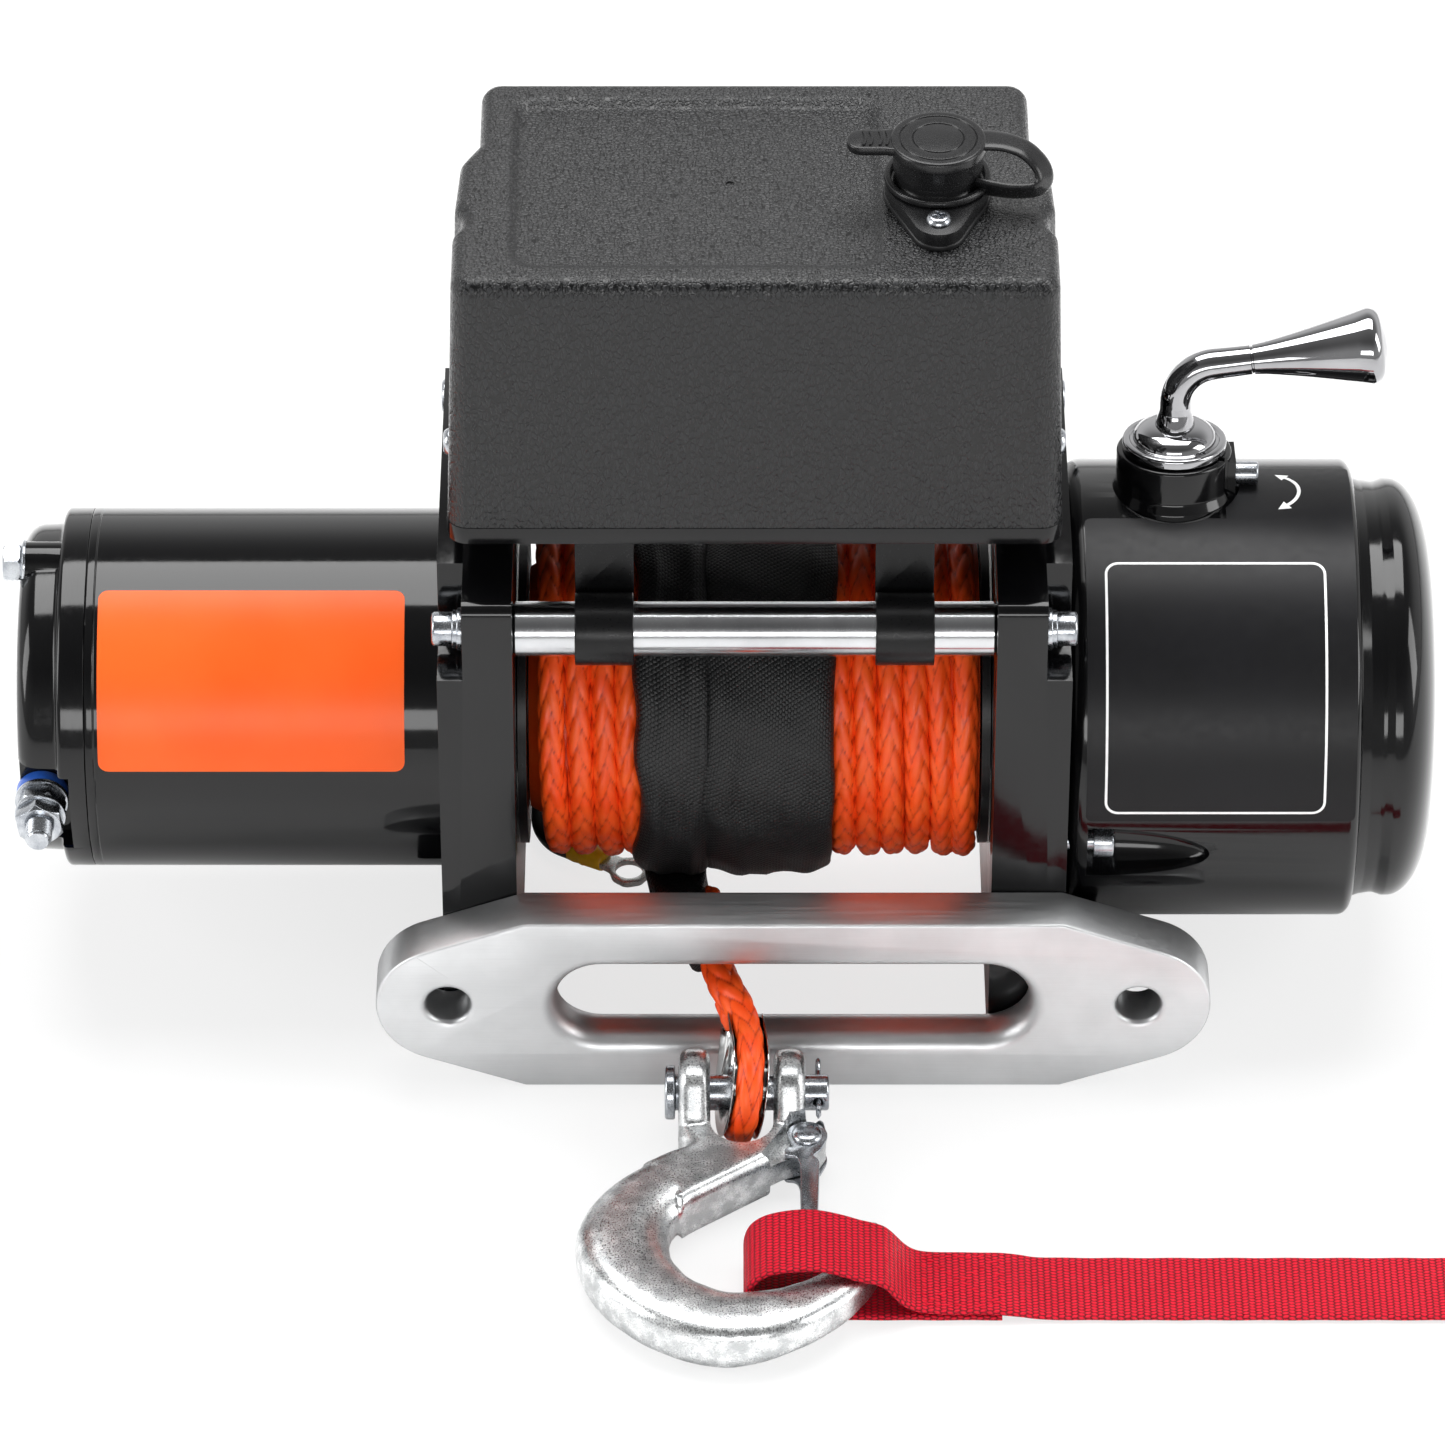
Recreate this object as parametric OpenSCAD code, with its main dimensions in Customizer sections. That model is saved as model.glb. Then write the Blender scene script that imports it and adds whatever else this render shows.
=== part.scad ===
// Electric recovery winch with synthetic rope, hawse fairlead, clevis hook and hand strap.
// The mounting plane is z = 0, the drum axis runs along +X towards the gearbox, and -Y is the rope side.

/* [Layout] */
// Height of the drum axis above the mounting plane
axis_h = 84; // [82:1:96]
// Clear width between the two drum supports
bay_w = 140; // [136:1:170]

/* [Drum supports] */
// Thickness of each support along the drum axis
support_t = 22; // [20:1:26]
// Front to back depth of each support
support_d = 140; // [136:1:150]
// Height of the supports above the drum axis
support_rise = 83; // [80:1:88]
// Radius of the outer corners of a support
support_corner_r = 4; // [1:0.5:6]
// How far the foot lugs stand out sideways
foot_out = 10; // [6:1:14]
// Thickness of the feet
foot_h = 10; // [8:1:12]
// Front to back length of one foot lug
foot_len = 42; // [34:1:48]
// Mounting hole spacing along the drum axis
mount_dx = 168; // [166:1:172]
// Mounting hole spacing front to back
mount_dy = 114.3; // [100:0.1:118]
// Mounting hole diameter
mount_hole_d = 8.5; // [6.5:0.5:9]

/* [Tie rods] */
// Diameter of the two tie rods
rod_d = 16; // [12:1:18]
// Distance of each tie rod in front of or behind the drum axis
rod_y = 57; // [55:1:60]
// Height of the tie rods above the drum axis
rod_rise = 66; // [62:1:72]
// Shank diameter of the tie rod bolts
rod_bolt_d = 6; // [5:1:8]
// Depth of the corner pockets that the bolt heads sit in
rod_pocket = 7.5; // [4:0.5:9]

/* [Drum and rope] */
// Rope diameter
rope_d = 8; // [7:0.5:9]
// Outer diameter of the drum barrel
barrel_d = 58; // [54:1:60]
// Bore of the hollow drum barrel
barrel_bore_d = 44; // [40:1:46]
// Diameter of the drum journals
journal_d = 50; // [48:1:52]
// Wall of the bronze bushes round the journals
bush_wall = 3; // [2:0.5:4]
// Diameter of the drum flanges
flange_d = 94; // [88:1:98]
// Thickness of the drum flanges
flange_t = 2.5; // [2:0.5:3]
// Radial thickness of the woven sleeve round the rope
sleeve_t = 5.6; // [3:0.1:6]
// Left end of the woven sleeve
sleeve_x0 = -35; // [-45:1:-25]
// Right end of the woven sleeve
sleeve_x1 = 24.5; // [15:0.5:35]

/* [Motor] */
// Outer diameter of the motor tube
motor_d = 107.4; // [104:0.1:110]
// Length of the motor tube
motor_len = 105; // [100:1:130]
// Wall of the motor tube
motor_wall = 3.7; // [3:0.1:4.5]
// Length of the end cap's rim
cap_rim_len = 8; // [6:1:12]
// Length of the end cap's domed part
cap_dome_len = 12.5; // [12:0.5:18]
// Diameter of the end cap's domed part
cap_dome_d = 97; // [94:1:100]
// Radial place of the two through bolts
through_bolt_r = 46.4; // [46:0.1:46.8]
// Diameter of the through bolts
through_bolt_d = 5.8; // [5:0.1:6]
// Thread diameter of the terminal studs
terminal_d = 8; // [6:1:8]
// Length of the terminal studs outside the end cap
terminal_len = 24; // [23:1:30]
// Diameter of the armature shaft
shaft_d = 12; // [10:1:14]
// Diameter of the through shaft that drives the gears
drive_shaft_d = 8; // [6:1:9]
// Outer diameter of the armature core
core_d = 85; // [80:1:85.6]
// Number of armature slots
core_slots = 16; // [12:1:20]

/* [Gearbox] */
// Outer diameter of the gearbox housing
gearbox_d = 137; // [134:1:142]
// Length of the gearbox housing
gearbox_len = 86; // [84:1:96]
// Bore of the gearbox housing
gearbox_bore_d = 106; // [104:1:108]
// Diameter of the gearbox end cover
cover_d = 124.6; // [124:0.2:130]
// Length of the gearbox end cover outside the housing
cover_len = 23; // [22:1:34]
// Edge radius of the gearbox end cover
cover_edge_r = 9; // [4:1:9]
// Gear module
gear_m = 1.6; // [1.5:0.05:1.6]
// Face width of the gears
gear_w = 10; // [8:0.5:10.5]
// Backlash of the gears along the pitch circle
backlash = 0.24; // [0.2:0.02:0.3]
// Diameter of the planet pins
planet_pin_d = 8; // [6:1:9]

/* [Clutch] */
// Distance of the clutch lever's axis from the support's outer face
clutch_x = 32; // [31:1:34]
// Lean of the clutch axis towards the back, in degrees
clutch_lean = 8.6; // [4:0.2:12]
// Diameter of the clutch collar
collar_d = 34; // [32:1:38]
// Travel of the sliding dog clutch
dog_travel = 6; // [5:0.5:6]
// Diameter of the clutch shaft
clutch_shaft_d = 14; // [14:0.5:16]

/* [Control box] */
// Width of the control box at its base
box_w = 177; // [170:1:184]
// Depth of the control box at its base
box_d = 106; // [100:1:112]
// Height of the control box from tray to top
box_h = 90; // [80:1:100]
// Wall of the control box cover
box_wall = 2.5; // [2:0.5:3]
// Gap between the tie rods' axis height and the tray
tray_rise = 28; // [26:1:32]
// Height of the tray's lip
tray_lip = 5.5; // [5:0.5:8]
// Width of the brackets that carry the tray
bracket_w = 17; // [12:1:20]
// Distance of the brackets from the middle of the drum
bracket_x = 43.5; // [38:0.5:50]

/* [Fairlead] */
// Overall width of the fairlead
fair_w = 247; // [244:1:260]
// Height of the fairlead
fair_h = 62; // [60:1:68]
// Thickness of the fairlead
fair_t = 16; // [14:1:18]
// Spacing of the fairlead's mounting holes
fair_hole_dx = 204.4; // [200:0.1:208]
// Diameter of the fairlead's mounting holes
fair_hole_d = 13; // [11:0.5:14]
// Width of the rope slot
slot_w = 140; // [130:1:146]
// Height of the rope slot
slot_h = 27; // [25:0.5:30]
// Sideways place of the fairlead's middle
fair_x = 11.6; // [0:0.1:12]

/* [Hook] */
// Distance of the clevis pin in front of the fairlead
pin_out = 22; // [21.5:0.5:24]
// Height of the clevis pin above the mounting plane
pin_z = 16.5; // [16.5:0.5:18]
// Diameter of the clevis pin
pin_d = 10.6; // [9:0.2:10.6]
// Clear gap between the clevis ears
ear_gap = 18.6; // [18:0.1:20]
// Thickness of each clevis ear
ear_t = 9.4; // [8:0.1:11]
// Radius of the clevis ears
ear_r = 13; // [12:0.5:14]
// Thickness of the hook's body
hook_t = 17; // [15:0.5:18]
// Width of the hand strap
strap_w = 26; // [22:1:26]
// Thickness of the strap webbing
strap_t = 2; // [1.5:0.1:2.2]
// How far the hand strap reaches to the right
strap_reach = 228; // [150:1:260]

/* [Fits] */
// Radial running clearance of shafts in bushes
run_gap = 0.05; // [0.03:0.01:0.08]
// Clearance between pieces that pass each other
pass_gap = 0.3; // [0.3:0.05:0.5]

/* [Hidden] */
$fn = 64;
soft_fn = 32;
cut = 1;

// Places along the drum axis
inner_x = bay_w / 2;
outer_x = inner_x + support_t;
motor_x0 = -outer_x - motor_len;
cap_x0 = motor_x0 - cap_rim_len;
cap_end_x = cap_x0 - cap_dome_len;
gearbox_x1 = outer_x + gearbox_len;
cover_x1 = gearbox_x1 + cover_len;
front_y = -support_d / 2;
support_top = axis_h + support_rise;

// Drum bay
journal_r = journal_d / 2;
bush_r = journal_r + run_gap;
seat_r = bush_r + bush_wall;
web_t = 6;
motor_bush_wall = 3;
motor_bush_len = 7;
shaft_r = shaft_d / 2;
drive_r = drive_shaft_d / 2;
motor_bush_in_r = shaft_r + run_gap;
motor_bush_out_r = motor_bush_in_r + motor_bush_wall;
journal_end_gap = 0.5;
left_journal_x = -(outer_x - web_t - journal_end_gap);
dog_face_x = outer_x + 12;
dog_rest_gap = 0.8;
dog_len = dog_travel - 0.5;
dog_count = 4;
dog_half_angle = 18;
dog_slack = 4;
dog_in_r = 17;
dog_rim = 0.4;
wrap_pitch = 7.8;
layer_rise = rope_d * 0.866;
top_layer_r = barrel_d / 2 + rope_d / 2 + 2 * layer_rise;
flange_x = inner_x - pass_gap;
wrap_edge = flange_x - flange_t;
left_wraps = 4;
right_wraps = 5;
sleeve_in_r = top_layer_r + rope_d / 2 + pass_gap;
sleeve_band_w = 12;

// Tie rods
rod_z = axis_h + rod_rise;
rod_seat_x = outer_x - rod_pocket;
washer_r = 6.2;
washer_t = 3.1;
bolt_head_r = 5;
bolt_head_len = 6;
bolt_engage = 15;
thread_gap = 0.1;
pocket_drop = 9;
pocket_back = 9;

// Feet
nut_pocket_w = 19;
nut_pocket_h = 13;
nut_pocket_in = 6;

// Motor
motor_r = motor_d / 2;
tube_in_r = motor_r - motor_wall;
spigot_len = 4;
core_r = core_d / 2;
core_len = 62;
core_x0 = motor_x0 + 27;
magnet_gap = 0.7;
magnet_in_r = core_r + magnet_gap;
magnet_sweep = 66;
magnet_len = 70;
commutator_r = 17;
commutator_len = 17;
commutator_x0 = motor_x0 + 5;
segment_count = 16;
segment_slot = 0.8;
brush_w = 8;
brush_h = 9;
brush_gap = 0.4;
brush_plate_t = 3;
bolt_boss_r = 6.4;
hex_r = 5.4;
hex_h = 5;
hex_flange_r = 6.2;
hex_flange_h = 1.6;
sunk_head = 7;
support_thread = 11;
terminal_z = axis_h - 6;
terminal_x = cap_x0 - 6;
terminal_flat_y = 40;
terminal_flat_w = 30;
insulator_r = 8.2;
insulator_t = 4;
terminal_washer_t = 1.6;
terminal_nut_t = 5;
terminal_nut_r = 7.5;
label_t = 0.3;
motor_label_w = 92.5;
motor_label_sweep = 61;
motor_label_mid = 40.5;
label_edge_gap = 0.05;

// Gearbox
gearbox_r = gearbox_d / 2;
gear_bore_r = gearbox_bore_d / 2;
sun_teeth = 12;
planet_teeth = 21;
housing_wall = 5;
housing_shoulder = 5;
ring_teeth = sun_teeth + 2 * planet_teeth;
pressure = 20;
add_k = 0.8;
ded_k = 1.0;
sun_r = sun_teeth * gear_m / 2;
planet_r = planet_teeth * gear_m / 2;
ring_r = ring_teeth * gear_m / 2;
centre_d = sun_r + planet_r;
stage_gap = 0.5;
plate_t = 4;
stage_pitch = gear_w + plate_t + 2 * stage_gap;
stage3_x = outer_x + 49.5;
stage2_x = stage3_x + stage_pitch;
stage1_x = stage2_x + stage_pitch;
ring_x0 = stage3_x - stage_gap;
ring_x1 = stage1_x + gear_w + stage_gap;
carrier_r = centre_d + planet_pin_d / 2 + 3;
shaft_bore_r = drive_r + 0.4;
planet_count = 3;
cover_flange_r = cover_d / 2 + 1.6;
cover_flange_t = 4.5;
cover_cavity_x = ring_x1 + 2;
cover_screw_r = 56.8;
cover_screw_d = 5;
cover_head_r = 4;
cover_head_len = 5;
cover_seat_x = cover_x1 - 14;
cover_screws = 6;
cover_screw_reach = 15;
housing_pocket_w = 14;
housing_pocket_len = 41;
housing_pocket_depth = 10.8;
housing_bolt_r = gearbox_r - 5.6;
housing_bolt_d = 6;
housing_bolt_angles = [-8, 188, 270];
housing_seat_x = outer_x + 8;
housing_bolt_reach = 14;
gear_label_w = 79;
gear_label_x = outer_x + 5.2;
gear_label_sweep = 81;
gear_label_mid = 43.5;

// Clutch
slider_r = 22;
slider_len = 24;
slider_x = dog_face_x + dog_rest_gap + dog_len;
groove_depth = 3.2;
groove_x = outer_x + clutch_x + dog_travel / 2;
hex_drive_r = 13;
eccentric = dog_travel / 2 / sin(45);
crank_pin_r = 2.6;
groove_w = 2 * (crank_pin_r + pass_gap);
crank_pin_reach = slider_r - groove_depth + 0.6;
clutch_rest_turn = -45;
collar_top_r = gearbox_r + 12.5;
clutch_axis_x = outer_x + clutch_x;
lever_ring_r = 15.4;
lever_ring_t = 3;
dome_r = 12.3;
dome_h = 4.5;
lever_bar_r = 4.6;
lever_rise = 15;
lever_bend_r = 12.5;
lever_slope = 7.5;
lever_bar_len = 11.5;
handle_len = 38.5;
handle_end_r = 11.7;
set_screw_r = 4;
set_screw_len = 8;
lug_w = 13;

// Control box
tray_z = rod_z + tray_rise;
tray_t = 2;
cover_z = tray_z + tray_lip;
box_top_z = tray_z + box_h;
box_taper = 0.972;
flute_rear = 7;
flute_mid = 2.2;
box_corner_r = 6;
panel_x0 = -70;
panel_x1 = 36;
panel_y = 42;
panel_depth = 1.5;
bracket_t = 2.4;
bracket_gap = 0.2;
bracket_foot = 22;
box_screw_y = -22;
box_screw_z = 8;
box_screw_r = 4;
socket_x = 52;
socket_y = -7;
socket_r = 11.4;
socket_rise = 12;
socket_bore_r = 9;
socket_bore_depth = 9;
socket_flange_t = 3;
gasket_t = 1.5;
socket_ear_y = 17.5;
socket_ear_r = 7;
socket_neck_r = 15;
cap_r = 13;
cap_skirt = 7;
cap_top_t = 3;
cap_plug_r = 8.4;
tab_len = 14;
tab_w = 10;
contactor_size = [84, 50, 46];
contactor_x = -28;

// Fairlead and eye
fair_y0 = front_y - fair_t;
fair_hole_z = fair_h / 2;
fair_end_r = (fair_w - fair_hole_dx) / 2;
fair_top_half = 79.5;
slot_lip = 6;
lip_slope = 0.7;
pin_y = fair_y0 - pin_out;
hook_x = -3.6;
eye_y = pin_y + 1.4;
eye_z = pin_z + 2.8;
eye_r = 15;
eye_pitch = 25;
eye_tilt = 10;
eye_sweep = 250;
eye_leg = 13;
thimble_wall = 1;
thimble_side = 5.6;
thimble_depth = 3;
groove_r = rope_d / 2 + 2 * pass_gap;

// Hook: bowl centre from the clevis pin, and radius against angle of its outer and inner edges
bowl_x = -2.4;
bowl_y = -67;
ear_fall = 15;
crotch_r = 23;
pin_head_r = 8;
pin_head_t = 3.7;
pin_tail = 7;
cotter_d = 2.4;
cotter_x = ear_gap / 2 + ear_t + 3.8;
cotter_len = 22;
// The cotter's eye points back, a little below level
cotter_turn = -96.5;
outer_edge = [[19, 45], [0, 43.6], [-22, 40], [-43, 38.2], [-84, 38.2], [-123, 38.3], [-144, 39.7],
    [-161, 42.4], [-190, 46.7], [-204, 46.7], [-238, 45.8], [-253, 47.1]];
inner_edge = [[19, 39.2], [8, 33.4], [-11, 26.5], [-38, 20.3], [-75, 16], [-120, 14.4], [-161, 15.8],
    [-195, 19.2], [-219, 22.4], [-240, 24.4]];
edge_step = 8;
tip_lift = 3.3;
// The tip gets thinner: its top falls as it rises from the bowl
tip_fall = [[-90, 17], [-82, 16], [-67, 14.3], [-52, 12.5], [-45, 12.5]];
latch_x = 19.1;
latch_y = -16.5;
latch_z0 = 3.6;
latch_z1 = 14.4;
latch_sheet = 1.2;
latch_len = 37.5;
latch_angle = -73;
// The strap holds the latch part open
latch_rest = -92;
latch_w = 8;
latch_swing = 45;
rivet_r = 2.5;
rivet_head_r = 4.6;
rivet_head_h = 1.8;
lug_z1 = 9;
latch_slack = 0.4;
latch_root_r = 6;
spring_wire = 0.9;
spring_in_r = 3.1;
strap_y0 = -82;
strap_left = 0.6;
strap_top_z = 21.2;
strap_join_x = 51;
strap_tail_x = 77;
strap_low_z = 0.2;

// Rope from the drum through the fairlead and round the thimble, as laid out by hand
rope_route = [[-13.5, -38.4, 36.3], [-13.3, -48, 35.6], [-12.7, -57, 34.6], [-11.5, -66, 33.6],
    [-9.6, -75, 32.8], [-6.8, -82.5, 32.3], [-4.1, -89, 32.3], [-2.3, -96.1, 32.9], [-1.3, -103.9, 33.9],
    [-1.1, -108.9, 33.9], [-1, -113.7, 32.3], [-1.2, -117.6, 29.2], [-1.7, -120.3, 25], [-2.3, -121.5, 20.2],
    [-3.2, -121, 15.3], [-4, -119, 10.8], [-4.9, -115.5, 7.3], [-5.5, -111, 5.1], [-6, -106.1, 4.5],
    [-6.2, -101.2, 5.6], [-6.1, -96.9, 8.1], [-5.7, -93.7, 12], [-5, -90.2, 18], [-4.5, -87.7, 22.3]];
// Motor lead from the tray down behind the drum to the floor, as laid out by hand
lead_d = 9;
lead_route = [[-60, 34, 177.8], [-60, 34.5, 168], [-60, 37, 157], [-60, 42, 146], [-60, 49, 135],
    [-60, 56, 124], [-60, 62, 112], [-60, 66, 99], [-60, 68, 85], [-60, 68, 70], [-60.5, 66.5, 55],
    [-61, 64, 41], [-62, 60.5, 28], [-63.2, 56.5, 17], [-64, 50, 9.4], [-64.2, 43, 5.4], [-64, 36, 4.6],
    [-63, 29.8, 4.6], [-60, 24.6, 4.6], [-55, 21, 4.6]];

// Polygon and gear helpers
function arc(cx, cy, r, a0, a1, n) = [for (i = [0:n])
    let (a = a0 + (a1 - a0) * i / n) [cx + r * cos(a), cy + r * sin(a)]];
function round_rect(w, h, r) = concat(
    arc(w / 2 - r, h / 2 - r, r, 0, 90, 6), arc(r - w / 2, h / 2 - r, r, 90, 180, 6),
    arc(r - w / 2, r - h / 2, r, 180, 270, 6), arc(w / 2 - r, r - h / 2, r, 270, 360, 6));
function inv(a) = tan(a) * 180 / PI - a;
function tooth_half(teeth, base_r, r, slack) = 90 / teeth - slack * 90 / (PI * teeth * gear_m / 2)
    + inv(pressure) - inv(acos(min(1, base_r / r)));
function gear_points(teeth, tip_r, root_r, slack) = let (
    base_r = teeth * gear_m / 2 * cos(pressure),
    mid_r = (max(base_r, root_r) + tip_r) / 2,
    h0 = tooth_half(teeth, base_r, max(base_r, root_r), slack),
    h1 = tooth_half(teeth, base_r, mid_r, slack),
    h2 = tooth_half(teeth, base_r, tip_r, slack)
) [for (i = [0:teeth - 1],
    p = [[root_r, -h0], [mid_r, -h1], [tip_r, -h2], [tip_r, h2], [mid_r, h1], [root_r, h0]])
    let (a = 360 * i / teeth + p[1]) [p[0] * cos(a), p[0] * sin(a)]];
function tangent_angle(px, py, cx, cy, r, side) = let (d = norm([px - cx, py - cy]))
    atan2(py - cy, px - cx) + side * acos(r / d);
function unit(v) = v / norm(v);
function heading(route, i) = unit(route[min(i + 1, len(route) - 1)] - route[max(i - 1, 0)]);
function side_dir(route, i) = i == 0 ? unit(cross(heading(route, 0), [0.3, 0.9, 0.1]))
    : let (s = side_dir(route, i - 1), t = heading(route, i)) unit(s - t * (s * t));
function tube_ring(route, i, r, n) = let (s = side_dir(route, i), u = cross(heading(route, i), s))
    [for (k = [0:n - 1]) route[i] + r * (cos(360 * k / n) * s + sin(360 * k / n) * u)];

module along_x(x0, x1) translate([x0, 0, 0]) rotate([90, 0, 90]) linear_extrude(x1 - x0) children();
module rod_x(r, x0, x1) translate([x0, 0, 0]) rotate([0, 90, 0]) cylinder(r = r, h = x1 - x0);
module ring_x(r_out, r_in, x0, x1) difference() {
    rod_x(r_out, x0, x1);
    rod_x(r_in, x0 - cut, x1 + cut);
}
module lathe_x() rotate([0, 90, 0]) rotate_extrude() children();
module on_axis() translate([0, 0, axis_h]) children();
module mirrored_x() mirror([1, 0, 0]) children();
module both_y() {
    children();
    mirror([0, 1, 0]) children();
}
module hex_bar(r, h) cylinder(r = r, h = h, $fn = 6);
module sweep_tube(route, r, n) {
    rings = [for (i = [0:len(route) - 1]) tube_ring(route, i, r, n)];
    last = (len(route) - 1) * n;
    sides = [for (i = [0:len(route) - 2], k = [0:n - 1])
        [i * n + k, i * n + (k + 1) % n, (i + 1) * n + (k + 1) % n, (i + 1) * n + k]];
    polyhedron([for (ring = rings) each ring], concat(
        [[for (k = [n - 1:-1:0]) k]], sides, [[for (k = [0:n - 1]) last + k]]));
}

// Supports
module support_body() difference() {
    union() {
        along_x(inner_x, outer_x)
            translate([0, support_top / 2])
            polygon(round_rect(support_d, support_top, support_corner_r));
        both_y()
            translate([outer_x - cut, front_y, 0])
            linear_extrude(foot_h)
            translate([(foot_out + cut) / 2, foot_len / 2])
            polygon(round_rect(foot_out + cut, foot_len, support_corner_r - 1));
    }
    both_y() {
        translate([mount_dx / 2, -mount_dy / 2, -cut])
            cylinder(d = mount_hole_d, h = foot_h + 2 * cut);
        translate([mount_dx / 2 - nut_pocket_w / 2 + 1, -mount_dy / 2 - nut_pocket_w / 2, foot_h])
            cube([support_t, nut_pocket_w, nut_pocket_h]);
        translate([rod_seat_x, front_y - cut, rod_z - pocket_drop])
            cube([support_t, support_d / 2 - rod_y + pocket_back + cut, support_top]);
        translate([0, -rod_y, rod_z])
            rod_x(rod_bolt_d / 2 + thread_gap, inner_x - cut, outer_x);
    }
}
module left_support() color("black") difference() {
    union() {
        mirrored_x() support_body();
        on_axis() ring_x(tube_in_r - thread_gap, tube_in_r - 6, -outer_x - spigot_len, -outer_x);
    }
    on_axis() {
        rod_x(seat_r, -outer_x + web_t, -inner_x + cut);
        rod_x(motor_bush_out_r, -outer_x - spigot_len - cut, -outer_x + web_t + cut);
        for (side = [-1, 1])
            translate([0, 0, side * through_bolt_r])
            rod_x(through_bolt_d / 2 + thread_gap, -outer_x - spigot_len - cut, -outer_x + support_thread);
    }
}
module right_support() color("black") difference() {
    support_body();
    on_axis() {
        rod_x(seat_r, inner_x - cut, outer_x + cut);
        for (angle = housing_bolt_angles)
            rotate([-angle, 0, 0])
            translate([0, -housing_bolt_r, 0])
            rod_x(housing_bolt_d / 2 + thread_gap, outer_x - housing_bolt_reach, outer_x + cut);
    }
}

// Tie rods
module tie_rods() color("silver") both_y() translate([0, -rod_y, rod_z]) difference() {
    rod_x(rod_d / 2, -inner_x, inner_x);
    for (side = [0, 1])
        mirror([side, 0, 0])
        rod_x(rod_bolt_d / 2 + thread_gap, inner_x - bolt_engage - 3, inner_x + cut);
}
module tie_rod_bolt() {
    head_x = rod_seat_x + washer_t;
    ring_x(washer_r, rod_bolt_d / 2 + thread_gap, rod_seat_x, head_x);
    difference() {
        union() {
            rod_x(rod_bolt_d / 2, inner_x - bolt_engage, head_x + cut);
            rod_x(bolt_head_r, head_x, head_x + bolt_head_len);
        }
        translate([head_x + bolt_head_len / 2, 0, 0])
            rotate([0, 90, 0])
            hex_bar(bolt_head_r / 2, bolt_head_len);
    }
}
module tie_rod_bolts() color("silver")
    for (side = [0, 1])
        mirror([side, 0, 0])
        both_y()
        translate([0, -rod_y, rod_z])
        tie_rod_bolt();

// Motor
module motor_tube() color("black") on_axis() ring_x(motor_r, tube_in_r, motor_x0, -outer_x);
module through_bolt_places() for (side = [1, -1])
    translate([side < 0 ? sunk_head - 1 : 0, 0, side * through_bolt_r])
    children();
module motor_end_cap() color("black") on_axis() difference() {
    union() {
        lathe_x() polygon(concat([[0, cap_end_x]], arc(cap_dome_d / 2 - 5, cap_end_x + 5, 5, -90, 0, 6),
            [[cap_dome_d / 2, cap_x0], [motor_r - 1, cap_x0], [motor_r, cap_x0 + 1], [motor_r, motor_x0],
            [tube_in_r - 1, motor_x0], [tube_in_r - 1, motor_x0 - 4], [14, motor_x0 - 4],
            [14, motor_x0 - 2], [0, motor_x0 - 2]]));
        for (side = [1, -1])
            translate([0, 0, side * through_bolt_r])
            rod_x(bolt_boss_r, cap_end_x + 2, motor_x0 - 1);
    }
    rod_x(motor_bush_out_r, motor_x0 - 2 - motor_bush_len, motor_x0);
    translate([cap_end_x + 2, 0, 0])
        through_bolt_places()
        rod_x(hex_flange_r + pass_gap, -sunk_head - 3, 0);
    for (side = [1, -1])
        translate([0, 0, side * through_bolt_r])
        rod_x(through_bolt_d / 2 + thread_gap, cap_end_x - cut, motor_x0 + cut);
    both_y() {
        translate([cap_end_x - cut, -terminal_flat_y - motor_r, terminal_z - axis_h - terminal_flat_w / 2])
            cube([cap_dome_len + cut + 3, motor_r, terminal_flat_w]);
        translate([terminal_x, -terminal_flat_y - cut, terminal_z - axis_h])
            rotate([-90, 0, 0])
            cylinder(d = terminal_d + 2 * thread_gap, h = 8 + cut);
    }
}
module motor_magnets() color("dimgray") on_axis() for (i = [0:3])
    rotate([45 + 90 * i - magnet_sweep / 2, 0, 0])
    translate([core_x0 - 4, 0, 0])
    rotate([0, 90, 0])
    rotate_extrude(angle = magnet_sweep)
    translate([magnet_in_r, 0])
    square([tube_in_r - magnet_in_r - thread_gap, magnet_len]);
module motor_brushes() color("peru") on_axis() {
    difference() {
        ring_x(tube_in_r - thread_gap, commutator_r + 5, motor_x0 + 1, motor_x0 + 1 + brush_plate_t);
        for (side = [1, -1])
            translate([0, 0, side * through_bolt_r])
            rod_x(through_bolt_d / 2 + pass_gap, motor_x0, motor_x0 + brush_plate_t + 2);
    }
    for (i = [0:3])
        rotate([45 + 90 * i, 0, 0])
        translate([motor_x0 + 1 + brush_plate_t, -brush_w / 2, commutator_r + brush_gap])
        cube([brush_h, brush_w, 18]);
}
module bronze_bushes() color("goldenrod") on_axis() {
    ring_x(seat_r, bush_r, -outer_x + web_t, -inner_x);
    ring_x(seat_r, bush_r, inner_x, outer_x);
    ring_x(motor_bush_out_r, motor_bush_in_r, -outer_x - spigot_len, -outer_x + web_t);
    ring_x(motor_bush_out_r, motor_bush_in_r, motor_x0 - 2 - motor_bush_len, motor_x0 - 2);
}
module motor_bolts() color("silver") on_axis() through_bolt_places() {
    seat_x = cap_end_x + 2;
    reach = -outer_x + support_thread - 2 - sunk_head;
    rod_x(through_bolt_d / 2, seat_x - cut, reach);
    rod_x(hex_flange_r, seat_x - hex_flange_h, seat_x);
    translate([seat_x - hex_flange_h - hex_h, 0, 0])
        rotate([0, 90, 0])
        hex_bar(hex_r, hex_h + cut / 2);
}
module terminal_stack() translate([terminal_x, -terminal_flat_y, terminal_z]) rotate([90, 0, 0]) children();
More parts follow.
